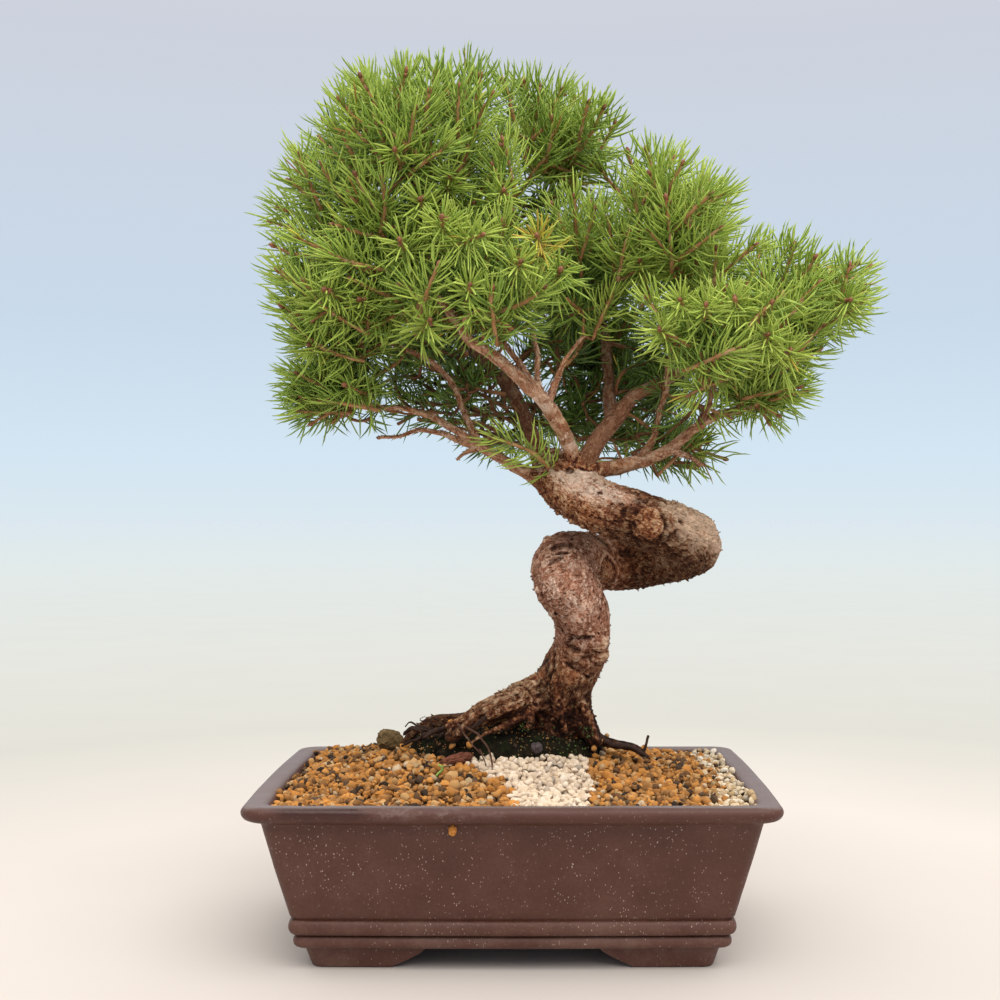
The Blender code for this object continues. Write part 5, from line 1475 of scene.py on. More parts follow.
    def finish(self):
        total = 0
        for name in self.needles:
            vs, qs, ts, uvs, start = [], [], [], [], 0
            for sets, stops, fat in ((self.fine[name], (0.0, 0.42, 0.84, 1.0), (0.66, 1.0, 0.80)), (self.needles[name], (0.0, 0.72, 1.0), (0.80, 0.95))):
                if not sets:
                    continue
                P, D, B, L, R, T = (np.concatenate(x) for x in zip(*sets))
                at = to_uv(P + D * (0.5 * L)[:, None])
                stay = np.ones(len(P))
                for u, w, hu, hv, share in SPARSE:
                    r = np.sqrt(((at[:, 0] - u) / hu) ** 2 + ((at[:, 1] - w) / hv) ** 2)
                    stay = np.minimum(stay, share + (1 - share) * step(0.75, 1.15, r))
                hanging = (P[:, 1] < -9) & (at[:, 1] > 424) & (np.abs(at[:, 0] - 518) < 46)
                keep = rng.random(len(P)) < np.where(hanging, 1.0, stay)
                P, D, B, L, R, T = (x[keep] for x in (P, D, B, L, R, T))
                n, m = len(P), len(fat)
                t, fat = np.array(stops), np.array(fat)
                ref = np.where(np.abs(D[:, 2:3]) < 0.85, np.array((0.0, 0, 1.0)), np.array((1.0, 0, 0)))
                s1 = unit(np.cross(D, ref))
                s2 = np.cross(D, s1)
                roll = rng.uniform(0, 2 * np.pi, n)
                mid = P[:, None] + (D * L[:, None])[:, None] * t[None, :, None] + (B * L[:, None])[:, None] * (t**2)[None, :, None]
                a = roll[:, None] + np.arange(3)[None] * (2 * np.pi / 3)
                off = np.cos(a)[..., None] * s1[:, None] + np.sin(a)[..., None] * s2[:, None]
                rings = mid[:, :m, None] + off[:, None] * (R[:, None] * fat[None])[:, :, None, None]
                v = np.concatenate((rings.reshape(n, 3 * m, 3), mid[:, m:]), 1).reshape(-1, 3)
                lim_lo = np.array((-139.7, -88.7, 2.0)) - SHIFT - 1.5
                lim_hi = np.array((139.7, 88.7, 392.4)) - SHIFT + 1.5
                vs.append(np.clip(v, lim_lo, lim_hi))
                q1 = [(g * 3 + j, g * 3 + (j + 1) % 3, g * 3 + 3 + (j + 1) % 3, g * 3 + 3 + j) for g in range(m - 1) for j in range(3)]
                t1 = [(3 * m - 3 + j, 3 * m - 3 + (j + 1) % 3, 3 * m) for j in range(3)]
                base = start + (np.arange(n) * (3 * m + 1))[:, None, None]
                qs.append((np.array(q1)[None] + base).reshape(-1, 4))
                ts.append((np.array(t1)[None] + base).reshape(-1, 3))
                du = np.tile(np.concatenate((np.tile((-0.006, 0.0, 0.006), m), (0.0,))), n)
                dv = np.tile(np.concatenate((np.repeat(0.02 + 0.96 * t[:m], 3), (0.985,))), n)
                uvs.append(np.stack((np.repeat(np.clip(T, 0.01, 0.985), 3 * m + 1) + du, dv), 1))
                start += n * (3 * m + 1)
                total += n
            nodes = (name,) if name in CLUMPS else ()
            made(name.replace("foliage", "needles"), np.concatenate(vs), np.concatenate(qs), np.concatenate(ts), NEEDLE, nodes, np.concatenate(uvs))
        v, q, t, uv = self.stems.arrays()
        made("twigs", v, q, t, TWIG, (), uv)
        v, q, t, uv = self.buds.arrays()
        made("buds", v, q, t, BUD, (), uv)
        return total


# shoots read from the front: tip first, then down the stem; second value is the tone
SHOOTS = (
    # left crown
    (((360, 76), (366, 90), (376, 104)), 0.72, 2), (((406, 66), (402, 84), (398, 100)), 0.74, 2), (((429, 92), (428, 100), (426, 112)), 0.70, 1),
    (((415, 109), (409, 140), (399, 174)), 0.74, 1), (((375, 119), (378, 130), (384, 142)), 0.70, 1), (((334, 126), (342, 136), (350, 150)), 0.68, 1),
    (((355, 131), (376, 153), (385, 163)), 0.70, 1), (((384, 126), (392, 134), (403, 142)), 0.70, 1), (((300, 155), (306, 175), (313, 190), (321, 210)), 0.70, 1),
    (((350, 194), (364, 212), (380, 232), (401, 256)), 0.72, 1), (((382, 180), (385, 210), (380, 232)), 0.72, 1), (((277, 208), (309, 216), (321, 217)), 0.70, 1),
    (((269, 221), (288, 227), (304, 231)), 0.68, 1), (((299, 239), (324, 251), (334, 257)), 0.72, 1), (((334, 225), (360, 233), (378, 236)), 0.72, 1),
    (((332, 255), (357, 264), (395, 272)), 0.72, 1), (((492, 95), (478, 118), (465, 139)), 0.68, 1), (((449, 145), (430, 158), (412, 172)), 0.72, 1),
    (((459, 88), (458, 104), (458, 121)), 0.70, 1), (((367, 91), (371, 98), (377, 108)), 0.68, 1), (((503, 141), (508, 160), (512, 178)), 0.66, 2),
    (((493, 166), (497, 173), (502, 184)), 0.68, 1), (((438, 265), (433, 277), (428, 289)), 0.78, 1), (((356, 176), (362, 188), (370, 200)), 0.70, 1),
    (((322, 251), (334, 256), (348, 262)), 0.68, 1), (((322, 165), (330, 180), (340, 196)), 0.68, 1), (((432, 62), (430, 78), (426, 92)), 0.68, 1),
    (((478, 62), (474, 80), (468, 98)), 0.64, 1), (((340, 100), (350, 114), (360, 126)), 0.66, 1), (((285, 180), (298, 190), (310, 200)), 0.66, 1),
    # left shoulder and low left
    (((279, 271), (287, 278), (296, 286)), 0.70, 1), (((305, 282), (319, 303), (343, 320), (368, 334)), 0.72, 1), (((314, 319), (325, 312), (338, 308)), 0.66, 1),
    (((295, 327), (317, 344), (335, 354), (364, 361)), 0.70, 1), (((377, 326), (399, 314), (423, 312)), 0.70, 1), (((352, 280), (370, 288), (388, 296)), 0.72, 1),
    (((298, 374), (310, 380), (321, 386)), 0.66, 1), (((283, 390), (293, 384), (304, 381)), 0.66, 1), (((284, 402), (310, 405), (335, 406), (365, 408)), 0.64, 1),
    (((277, 345), (290, 352), (304, 358)), 0.66, 1), (((329, 401), (345, 404), (362, 407)), 0.62, 1), (((276, 310), (290, 318), (304, 326)), 0.66, 1),
    (((312, 428), (326, 420), (340, 412)), 0.60, 1), (((290, 413), (304, 414), (320, 414)), 0.62, 1),
    (((296, 427), (308, 421), (324, 415)), 0.60, 0), (((334, 432), (342, 424), (354, 416)), 0.58, 0), (((286, 398), (298, 400), (314, 402)), 0.62, 1), (((262, 250), (276, 256), (292, 260)), 0.66, 1),
    # top back and centre
    (((525, 78), (529, 97), (525, 122)), 0.52, 2), (((564, 82), (555, 98), (547, 118), (533, 132)), 0.52, 2), (((606, 106), (600, 119), (593, 132), (576, 156)), 0.56, 2),
    (((589, 102), (586, 112), (583, 124)), 0.52, 1), (((598, 166), (608, 180), (620, 194)), 0.58, 2), (((628, 152), (630, 160), (633, 170)), 0.58, 1),
    (((647, 147), (650, 157), (655, 168)), 0.58, 1), (((574, 198), (575, 217), (576, 236)), 0.58, 1), (((594, 210), (592, 221), (588, 234)), 0.58, 1),
    (((546, 157), (540, 164), (533, 173)), 0.54, 1), (((608, 219), (609, 228), (611, 240)), 0.56, 1), (((629, 233), (623, 255), (618, 281)), 0.62, 2),
    (((650, 232), (655, 238), (662, 246)), 0.60, 1), (((650, 175), (655, 186), (661, 196)), 0.60, 1), (((633, 192), (635, 202), (637, 213)), 0.58, 1),
    (((503, 75), (508, 90), (512, 106)), 0.50, 1), (((545, 64), (544, 80), (541, 96)), 0.46, 1), (((553, 120), (552, 134), (549, 148)), 0.50, 1), (((618, 122), (612, 134), (604, 148)), 0.54, 1), (((484, 72), (482, 88), (478, 104)), 0.60, 1),
    # right
    (((666, 199), (668, 217), (671, 248), (672, 273)), 0.66, 3), (((688, 157), (684, 165), (679, 175)), 0.60, 1), (((728, 188), (723, 192), (715, 199)), 0.58, 1),
    (((710, 195), (700, 204), (690, 214)), 0.62, 2), (((720, 229), (702, 242), (683, 256)), 0.66, 1), (((755, 246), (735, 262), (714, 281), (703, 298)), 0.66, 1),
    (((716, 250), (715, 266), (714, 283)), 0.64, 1), (((799, 237), (795, 250), (790, 265), (785, 278)), 0.60, 2), (((848, 259), (845, 272), (841, 286), (834, 306)), 0.58, 2),
    (((818, 284), (799, 303), (784, 323)), 0.62, 1), (((869, 304), (862, 309), (852, 316)), 0.56, 1), (((798, 387), (780, 391), (763, 394), (743, 399)), 0.62, 1),
    (((815, 393), (807, 395), (796, 398)), 0.58, 1), (((763, 276), (766, 287), (769, 299)), 0.62, 1), (((771, 304), (766, 311), (759, 322)), 0.62, 1),
    (((799, 304), (795, 310), (788, 319)), 0.60, 1), (((822, 326), (811, 338), (800, 351)), 0.58, 1), (((736, 349), (728, 352), (718, 356)), 0.64, 1),
    (((752, 323), (760, 314), (772, 303)), 0.62, 1), (((648, 299), (651, 305), (656, 313)), 0.62, 1), (((613, 292), (609, 302), (604, 313)), 0.64, 1),
    (((800, 217), (794, 226), (786, 236)), 0.56, 1), (((830, 236), (824, 246), (816, 256)), 0.56, 1), (((868, 246), (860, 254), (850, 262)), 0.54, 1),
    (((830, 356), (820, 362), (806, 370)), 0.56, 1), (((776, 437), (770, 428), (762, 416)), 0.58, 1), (((729, 469), (713, 464), (696, 458), (676, 452)), 0.70, 1),
    (((703, 474), (692, 467), (678, 460), (664, 456)), 0.66, 1), (((668, 474), (662, 466), (654, 460)), 0.60, 0),
    (((700, 478), (698, 472), (694, 463)), 0.56, 1), (((790, 430), (781, 424), (770, 416)), 0.58, 1),
    (((735, 420), (722, 414), (708, 409)), 0.62, 1), (((690, 395), (700, 389), (712, 384)), 0.62, 1),
    # centre, under the crown
    (((543, 288), (530, 299), (516, 306), (493, 314)), 0.74, 1), (((467, 318), (480, 309), (489, 314)), 0.70, 1),
    (((585, 335), (575, 355), (564, 366)), 0.40, 0), (((627, 420), (626, 440), (626, 459)), 0.42, 0), (((492, 438), (507, 442), (533, 453), (555, 473)), 0.80, 1, -30.0),
    (((593, 437), (588, 443), (582, 451)), 0.64, 1), (((492, 290), (491, 302), (493, 316)), 0.70, 1),
)
# shoots that point at the viewer: tip, then where the stem goes
STARS = (
    (((449, 175.5), (447, 194), (445, 212)), 0.80), (((442, 218), (443, 235), (443.5, 251)), 0.82), (((503.5, 191), (498, 203), (491, 215)), 0.76),
    (((482, 235), (464, 243), (445, 252)), 0.86), (((537, 236), (541, 248), (545, 262)), 0.925), (((706, 305), (704, 320), (701, 340)), 0.76),
    (((768, 335), (765, 345), (762, 356)), 0.82), (((400, 240), (408, 252), (418, 264)), 0.80), (((360, 300), (372, 310), (386, 318)), 0.78),
    (((520, 262), (516, 272), (510, 284)), 0.82), (((560, 270), (556, 282), (550, 294)), 0.70), (((325, 290), (338, 298), (352, 306)), 0.76),
    (((430, 320), (424, 328), (416, 336)), 0.78), (((660, 330), (668, 338), (678, 346)), 0.72), (((735, 300), (738, 312), (742, 324)), 0.74),
    (((850, 300), (842, 306), (832, 312)), 0.64), (((395, 150), (400, 164), (406, 178)), 0.76), (((470, 285), (468, 296), (464, 308)), 0.84),
    (((640, 260), (643, 272), (647, 284)), 0.66), (((420, 200), (424, 212), (429, 224)), 0.80), (((310, 345), (324, 350), (340, 354)), 0.72),
    (((790, 350), (784, 358), (776, 366)), 0.68), (((680, 300), (684, 310), (690, 322)), 0.70), (((345, 385), (356, 390), (370, 396)), 0.68),
)


def plant_foliage():
    fol = Foliage()
    skeleton, skel_r = [], []
    for line in branch_lines:
        use = line[line[:, 3] < 5.0]
        skeleton += list(use[:, :3])
        skel_r += list(use[:, 3])
    jobs = []  # path from base to tip, clump, tone, needle count, how
    for table, star in ((SHOOTS, False), (STARS, True)):
        for row in table:
            pts, tone = row[0], row[1]
            lighter = 0.15 if pts[0][0] > 590 else 0.20 if pts[0][1] < 210 and pts[0][0] > 495 else 0.06 if pts[0][0] < 370 else 0.02
            tone = tone if tone > 0.9 else min(tone + lighter, 0.83)
            d0 = row[3] if len(row) > 3 else front_depth(*pts[0])
            # a stem that bends over the mass follows its skin, then dives in
            total = sum(math.dist(a, b) for a, b in zip(pts, pts[1:])) * 0.42
            path, run = [], 0.0
            for k, (u, v) in enumerate(pts):
                if k:
                    run += math.dist(pts[k - 1], (u, v)) * 0.42
                d = d0 + (5.0 + 30.0 * (run / max(total, 1e-6)) ** 1.2 if star else 7.0 + 0.42 * run)
                path.append(fp(u, v, d))
            path = np.array(path[::-1])
            # short stems go on inwards
            length = np.linalg.norm(np.diff(path, axis=0), axis=1).sum()
            if length < 20:
                back = unit(path[0] - path[1]) * (22 - length)
                back[1] += 0.5 * (22 - length)
                path = np.vstack((path[0] + back, path))
            length = max(length, 22)
            if len(row) < 4:
                path = path + (pulled_in(path[-1], 24.0 if star else 19.0) - path[-1])
            clump = CLUMPS[owner(path[-1])]
            if star:
                jobs.append((path, clump, tone, int(min(max(2.0 * length, 52), 76)), "star", 2 if rng.random() < 0.5 else 1))
            else:
                jobs.append((path, clump, tone, int(min(max(1.80 * length, 42), 82)), "side", row[2]))
    given = np.array([j[0][-1] for j in jobs])
    # shoots along the outline, wherever none is close
    top_part = OUT[:53]
    legs = np.linalg.norm(np.diff(top_part, axis=0), axis=1)
    at = np.concatenate(([0.0], np.cumsum(legs)))
    for x in np.arange(6.0, at[-1], EDGE_PITCH):
        pt = np.array([np.interp(x, at, top_part[:, c]) for c in (0, 1)]) + rng.normal(0, 1.5, 2)
        gap, way = outline_gap(pt)
        way = way if abs(gap) > 0.5 else outline_gap(pt + 0.01)[1]
        uv = pt + way * (20 + rng.exponential(6.0))
        k = (MID[:, 1] + 616) / FOCAL
        c_uv = to_uv(MID)
        who = int(np.argmin(((c_uv[:, 0] - uv[0]) * k / HALF[:, 0]) ** 2 + ((c_uv[:, 1] - uv[1]) * k / HALF[:, 2]) ** 2))
        tip = fp(*uv, MID[who, 1] + rng.normal(0, 11.0))
        if np.min(np.linalg.norm((given - tip) * np.array((1, 0.25, 1)), axis=1)) < 8.0:
            continue
        grow = unit(np.array((-way[0], rng.normal(0, 0.25), way[1] + 0.30)) + rng.normal(0, 0.12, 3))
        L = rng.uniform(21, 30)
        path = np.array((tip - grow * L, tip - grow * L * 0.5 + (0, 0, -rng.uniform(0, 2.5)), tip))
        jobs.append((path, CLUMPS[who], CLUMP_TONE[CLUMPS[who]] + rng.normal(0, 0.04), int(L * 1.70), "side", rng.integers(1, 3)))
    given = np.array([j[0][-1] for j in jobs])
    # thin, shaded twigs with few needles on the lower branches
    for u0, u1, v0, v1, d0, d1, n in UNDER:
        for _ in range(n):
            tip = fp(rng.uniform(u0, u1), rng.uniform(v0, v1), rng.uniform(d0, d1))
            grow = unit(np.array((rng.normal(0, 0.8), rng.normal(0, 0.5), rng.uniform(-0.5, 0.6))) + 0.5 * unit(tip - np.array((12.0, 8.0, 215.0))))
            L = rng.uniform(18, 30)
            path = np.array((tip - grow * L, tip - grow * L * 0.5 + rng.normal(0, 1.5, 3), tip))
            jobs.append((path, "foliage_underneath", rng.uniform(0.40, 0.62), int(L * 1.35), "under", None))
    # fill each mass all round
    for i, name in enumerate(CLUMPS):
        mid, half = MID[i], HALF[i]
        area = 4 * math.pi * (((half[0] * half[1]) ** 1.6 + (half[0] * half[2]) ** 1.6 + (half[1] * half[2]) ** 1.6) / 3) ** (1 / 1.6)
        for layer, inset, pitch in (("outer", 8.5, FILL_PITCH), ("inner", 23.0, FILL_PITCH * 1.28)):
            n = int(area / pitch**2)
            k = np.arange(n) + 0.5
            z = 1 - 2 * k / n
            phi = k * 2.39996 + i
            d = np.stack((np.cos(phi) * np.sqrt(1 - z * z), np.sin(phi) * np.sqrt(1 - z * z), z), 1)
            d = unit(d + rng.normal(0, 0.16, d.shape))
            for e in d:
                reach = 1 / math.sqrt(((e / half) ** 2).sum())
                tip = mid + e * (reach - inset - abs(rng.normal(0, 3.0)))
                tip = pulled_in(tip, 29.0 + 12.0 * rng.random() if layer == "outer" else 44.0, None if name == "foliage_right_hanging" else CROWN)
                if any((tip - pt) @ nv > 5.0 for pt, nv in PLANES[i]):
                    continue
                if layer == "outer" and len(given) and np.min(np.linalg.norm((given - tip) * np.array((1, 0.55, 1)), axis=1)) < 11.0:
                    continue
                if layer == "inner" and any((tip - pt) @ nv > -4.0 for pt, nv in PLANES[i]):
                    continue
                nrm = unit(e / half)
                grow = nrm + np.array((0, 0, 0.45)) + 0.35 * unit(tip - np.array((10.0, 10.0, 200.0))) + rng.normal(0, 0.22, 3)
                if e[2] < -0.35:
                    grow[2] = max(grow[2], -0.25)
                grow = unit(grow)
                L = rng.uniform(20, 34)
                sag = np.array((0, 0, -1.0)) * rng.uniform(0, 3.5) + rng.normal(0, 1.0, 3)
                base = tip - grow * L
                path = np.array((base, base + grow * L * 0.5 + sag, tip))
                # painted light: a shoot is lighter on the upper and front sides of its mass
                front = step(0.3, -0.5, np.array([e[1]]))[0]
                tone = CLUMP_TONE[name] + rng.normal(0, 0.06) + 0.05 * e[2] + 0.05 * front
                if layer == "inner":
                    tone -= 0.16
                count = int(L * (1.55 + 0.18 * front) * NEEDLE_SHARE * (0.72 if layer == "inner" else 1.0))
                jobs.append((path, name, tone, count, ("fill" if e[1] < 0.15 else "rear") if layer == "outer" else "inner", None))
    # join every shoot to the nearest wood, nearest first
    sk, skr = np.array(skeleton), np.array(skel_r)
    bases = np.array([j[0][0] for j in jobs])
    todo = list(range(len(jobs)))
    dist = np.array([np.min(np.linalg.norm(sk - b, axis=1)) for b in bases])
    order = np.argsort(dist)
    for idx in order:
        path, clump, tone, count, kind, buds = jobs[idx]
        if kind in ("fill", "rear", "inner", "under"):
            # a twig grows away from the wood that carries it
            away = path[-1] - sk[int(np.argmin(np.linalg.norm(sk - path[0], axis=1)))]
            reach = np.linalg.norm(path[-1] - path[0])
            grow = unit(path[-1] - path[0])
            lean = unit(grow * (0.75 if grow @ unit(away) > 0.3 else 0.30) + unit(away) * 0.70)
            reach = min(reach, max(12.0, 0.9 * np.linalg.norm(away)))
            base = path[-1] - lean * reach
            if clump != "foliage_right_hanging" and outline_gap(to_uv(base[None])[0], CROWN)[0] < 16.0:
                heart = np.array((12.0, 8.0, 215.0)) if kind == "under" else MID[CLUMPS.index(clump)]
                base = path[-1] + unit(heart - path[-1]) * min(reach, 0.8 * np.linalg.norm(heart - path[-1]))
            path = np.array((base, (base + path[-1]) / 2 + (path[1] - (path[0] + path[-1]) / 2), path[-1]))
        if kind in ("side", "star") and path[0][0] > 105 and outline_gap(to_uv(path[0][None])[0])[0] < 22.0:
            # a shoot on the right edge comes from inside its mass
            heart = MID[CLUMPS.index(clump)]
            base = path[-1] + unit(heart - path[-1]) * np.linalg.norm(path[-1] - path[0])
            path = np.array((base, (base + path[-1]) / 2 + (0, 0, -1.5), path[-1]))
        base = path[0]
        d = np.linalg.norm(sk - base, axis=1) * (1.0 + 0.10 * (skr < 0.8))
        j = int(np.argmin(d))
        start, gap = sk[j], d[j]
        out = unit(path[1] - path[0])
        if gap > 1.5:
            m1 = start + (base - start) * 0.40 + rng.normal(0, 0.030 * gap, 3) + np.array((0, 0, 0.03 * gap))
            turn = max(0.0, float(out @ unit(base - start)))
            m2 = base - out * gap * (0.04 + 0.24 * turn) + rng.normal(0, 0.02 * gap, 3)
            link = curve(np.array((start, m1, m2, base)), 3.2)
            r0 = min(0.62 + gap * 0.018, 1.35, max(skr[j] * 0.85, 0.7))
            fol.stem(link, r0, 0.72, 0.46 if kind != "under" else 0.30, 5, 4.6)
            sk = np.vstack((sk, link[1:]))
            skr = np.concatenate((skr, np.linspace(r0, 0.72, len(link) - 1)))
            # last year's wood keeps its needles, thinner and darker
            if gap > 10 and kind not in ("inner", "under"):
                part = link[int(len(link) * 0.45):]
                if len(part) > 2:
                    reach = np.linalg.norm(np.diff(part, axis=0), axis=1).sum()
                    fol.shoot(part, clump, max(tone - 0.17, 0.12), max(6, int(reach * 1.05 * NEEDLE_SHARE)), 11.8, (72, 58), 0.02, 0.08)
        if kind == "star":
            p = fol.shoot(path, clump, tone, count, 15.6, (84, 44), 0.14, 0.16, 0.16, 0.46, True)
        elif kind == "side":
            p = fol.shoot(path, clump, tone, count, 15.8, (84, 42), 0.04, 0.36, 0.02, 0.44, True)
        elif kind == "under":
            p = fol.shoot(path, clump, tone, count, 13.0, (66, 38), 0.10, 0.10, 0.04, 0.40)
        else:
            p = fol.shoot(path, clump, tone, count, 15.6, (84, 42), 0.03, 0.34, 0.01, 0.43, kind == "fill")
        young = 0.72 if kind in ("side", "star") else 0.34 if kind == "under" else 0.62
        fol.stem(path, 0.92, 0.74, young, 6 if kind in ("side", "star") else 5, 3.0 if kind in ("side", "star") else 4.6)
        sk = np.vstack((sk, p[2:-6:4]))
        skr = np.concatenate((skr, np.full(len(p[2:-6:4]), 0.7)))
        if kind in ("side", "star"):
            if buds:
                fol.tip_buds(p, True, buds - 1)
        elif kind in ("fill", "rear"):
            fol.tip_buds(p, False, None if rng.random() < 0.3 else 0)
    print("shoots", len(jobs), "stem tris", fol.stems.tri_count(), "bud tris", fol.buds.tri_count())
    print("needles", fol.finish())


FILL_PITCH = 24.5
EDGE_PITCH = 21.0
# where twigs fill the room under the crown: u, v and depth from and to, and how many
UNDER = (
    (385, 470, 335, 400, 10, 58, 26), (465, 525, 350, 425, 24, 62, 20), (372, 450, 398, 425, 0, 30, 7), (525, 600, 395, 450, 26, 60, 12),
    (600, 680, 365, 440, 22, 62, 22), (640, 700, 430, 470, 4, 40, 9), (530, 570, 330, 360, 20, 50, 6), (480, 560, 190, 245, 14, 46, 12),
    (300, 372, 405, 425, -6, 20, 3), (455, 520, 425, 445, 6, 40, 6), (636, 690, 352, 402, 24, 56, 9), (560, 602, 395, 440, 26, 56, 5),
)
NEEDLE_SHARE = 0.95
# where the needles are sparse and bare twigs show: u, v, half sizes, and the share that stays
SPARSE = (
    (400, 424, 112, 26, 0.40), (340, 424, 40, 22, 0.18), (498, 412, 30, 36, 0.14), (450, 372, 40, 26, 0.75), (556, 352, 22, 26, 0.55),
    (700, 466, 46, 22, 0.30), (752, 424, 44, 26, 0.66), (640, 440, 40, 20, 0.90), (345, 375, 60, 20, 0.85),
    (742, 212, 22, 16, 0.55), (864, 262, 26, 22, 0.55), (300, 128, 28, 20, 0.52), (258, 232, 20, 44, 0.60), (622, 142, 26, 20, 0.60), (450, 316, 15, 24, 0.38), (474, 338, 12, 12, 0.5), (272, 168, 20, 20, 0.7),
)

# --- soil, roots and grains ------------------------------------------------------
LEFT_EDGE = ((3.8, -95), (3.8, -64), (-1.0, -44), (-6.0, -31), (-25.0, -9), (-25.0, 6))
RIGHT_EDGE = ((30.5, -95), (30.5, -64), (33.0, -30), (31.5, -8), (31.5, 6))
PALE_EDGE = ((79.5, -95), (79.5, -64), (88.0, -22), (91.0, 18), (86.0, 50), (84.0, 95))
MOUND_MID = (-4.0, 17.0)
MOUND = ((58.3, 47, 30), (70.0, 46, 29.5), (76.0, 44, 28), (81.0, 41.5, 25.5), (85.0, 37, 22), (88.0, 28, 15))


def surface(x, y):
    heap = 14.0 * np.exp(-0.5 * (((x + 2.0) / 46.0) ** 2 + ((y - 16.0) / 36.0) ** 2))
    back = 3.3 * np.clip((y + 55) / 110, 0, 1) * (1 - np.maximum(0.0, x / 140))
    inset = np.minimum(RIM_HALF_X - np.abs(x), RIM_HALF_Y - np.abs(y))
    return np.minimum(65.6 + heap + back - 0.012 * np.maximum(0.0, x), 66.6 + 0.72 * np.maximum(inset - 12.5, 0.0))


def edge_x(edge, y):
    e = np.array(edge, float)
    return np.interp(y, e[:, 1], e[:, 0])


def grain_shapes(kind, count):
    """Unit bodies with soft facets; kind 2 is fine, 1 is coarse and 0 between them."""
    out = []
    for k in range(count):
        bm = bmesh.new()
        if kind:
            bmesh.ops.create_icosphere(bm, subdivisions=kind, radius=1.0)
        else:
            for x, y, z in ((1, 0, 0), (0, 1, 0), (-1, 0, 0), (0, -1, 0), (0, 0, 1), (0, 0, -1)):
                bm.verts.new((x, y, z))
            bm.verts.ensure_lookup_table()
            for i in range(4):
                bm.faces.new((bm.verts[i], bm.verts[(i + 1) % 4], bm.verts[4]))
                bm.faces.new((bm.verts[(i + 1) % 4], bm.verts[i], bm.verts[5]))
            bmesh.ops.subdivide_edges(bm, edges=bm.edges, cuts=1, use_grid_fill=True)
            bmesh.ops.triangulate(bm, faces=bm.faces)
            for x in bm.verts:
                x.co.normalize()
            bm.verts.index_update()
        v = np.array([tuple(x.co) for x in bm.verts])
        f = np.array([[x.index for x in fc.verts] for fc in bm.faces])
        bm.free()
        v = v * (1 + 0.42 * perlin(v * 1.15 + k * 7.7, 300)[:, None] + 0.26 * perlin(v * 2.6 + k * 3.1, 301)[:, None])
        # a few broken faces
        for _ in range(7):
            n = unit(rng.normal(size=3))
            lim = rng.uniform(0.50, 0.80)
            over = v @ n - lim
            v = v - np.where(over > 0, over, 0)[:, None] * n * 0.85
        out.append((v, f))
    return out


SHAPES_FINE = grain_shapes(2, 26)
SHAPES_MIDDLE = grain_shapes(0, 20)
SHAPES_COARSE = grain_shapes(1, 10)


def random_turns(n):
    q = unit(rng.normal(size=(n, 4)))
    w, x, y, z = q.T
    return np.stack((
        np.stack((1 - 2 * (y * y + z * z), 2 * (x * y - z * w), 2 * (x * z + y * w)), 1),
        np.stack((2 * (x * y + z * w), 1 - 2 * (x * x + z * z), 2 * (y * z - x * w)), 1),
        np.stack((2 * (x * z - y * w), 2 * (y * z + x * w), 1 - 2 * (x * x + y * y)), 1)), 1)


def add_grains(bag, places, sizes, tones, fine):
    shapes = (SHAPES_COARSE, SHAPES_MIDDLE, SHAPES_FINE)[int(fine)]
    turns = random_turns(len(places))
    for k in range(len(places)):
        v, f = shapes[rng.integers(len(shapes))]
        scale = sizes[k] * rng.uniform(0.78, 1.2, 3)
        p = (v * scale) @ turns[k].T
        hgt = (p[:, 2] - p[:, 2].min()) / max(np.ptp(p[:, 2]), 1e-6)
        uv = np.stack((np.clip(tones[k] + 0.012 * (v[:, 0] + 0.4 * v[:, 1]), 0.005, 0.995), 0.03 + 0.94 * hgt), 1)
        bag.add(p + places[k], None, f, uv)


def mound_factor(x, y):
    """Below 1 inside the root ball."""
    return np.sqrt(((x - MOUND_MID[0]) / 44.5) ** 2 + ((y - MOUND_MID[1]) / 28.5) ** 2)


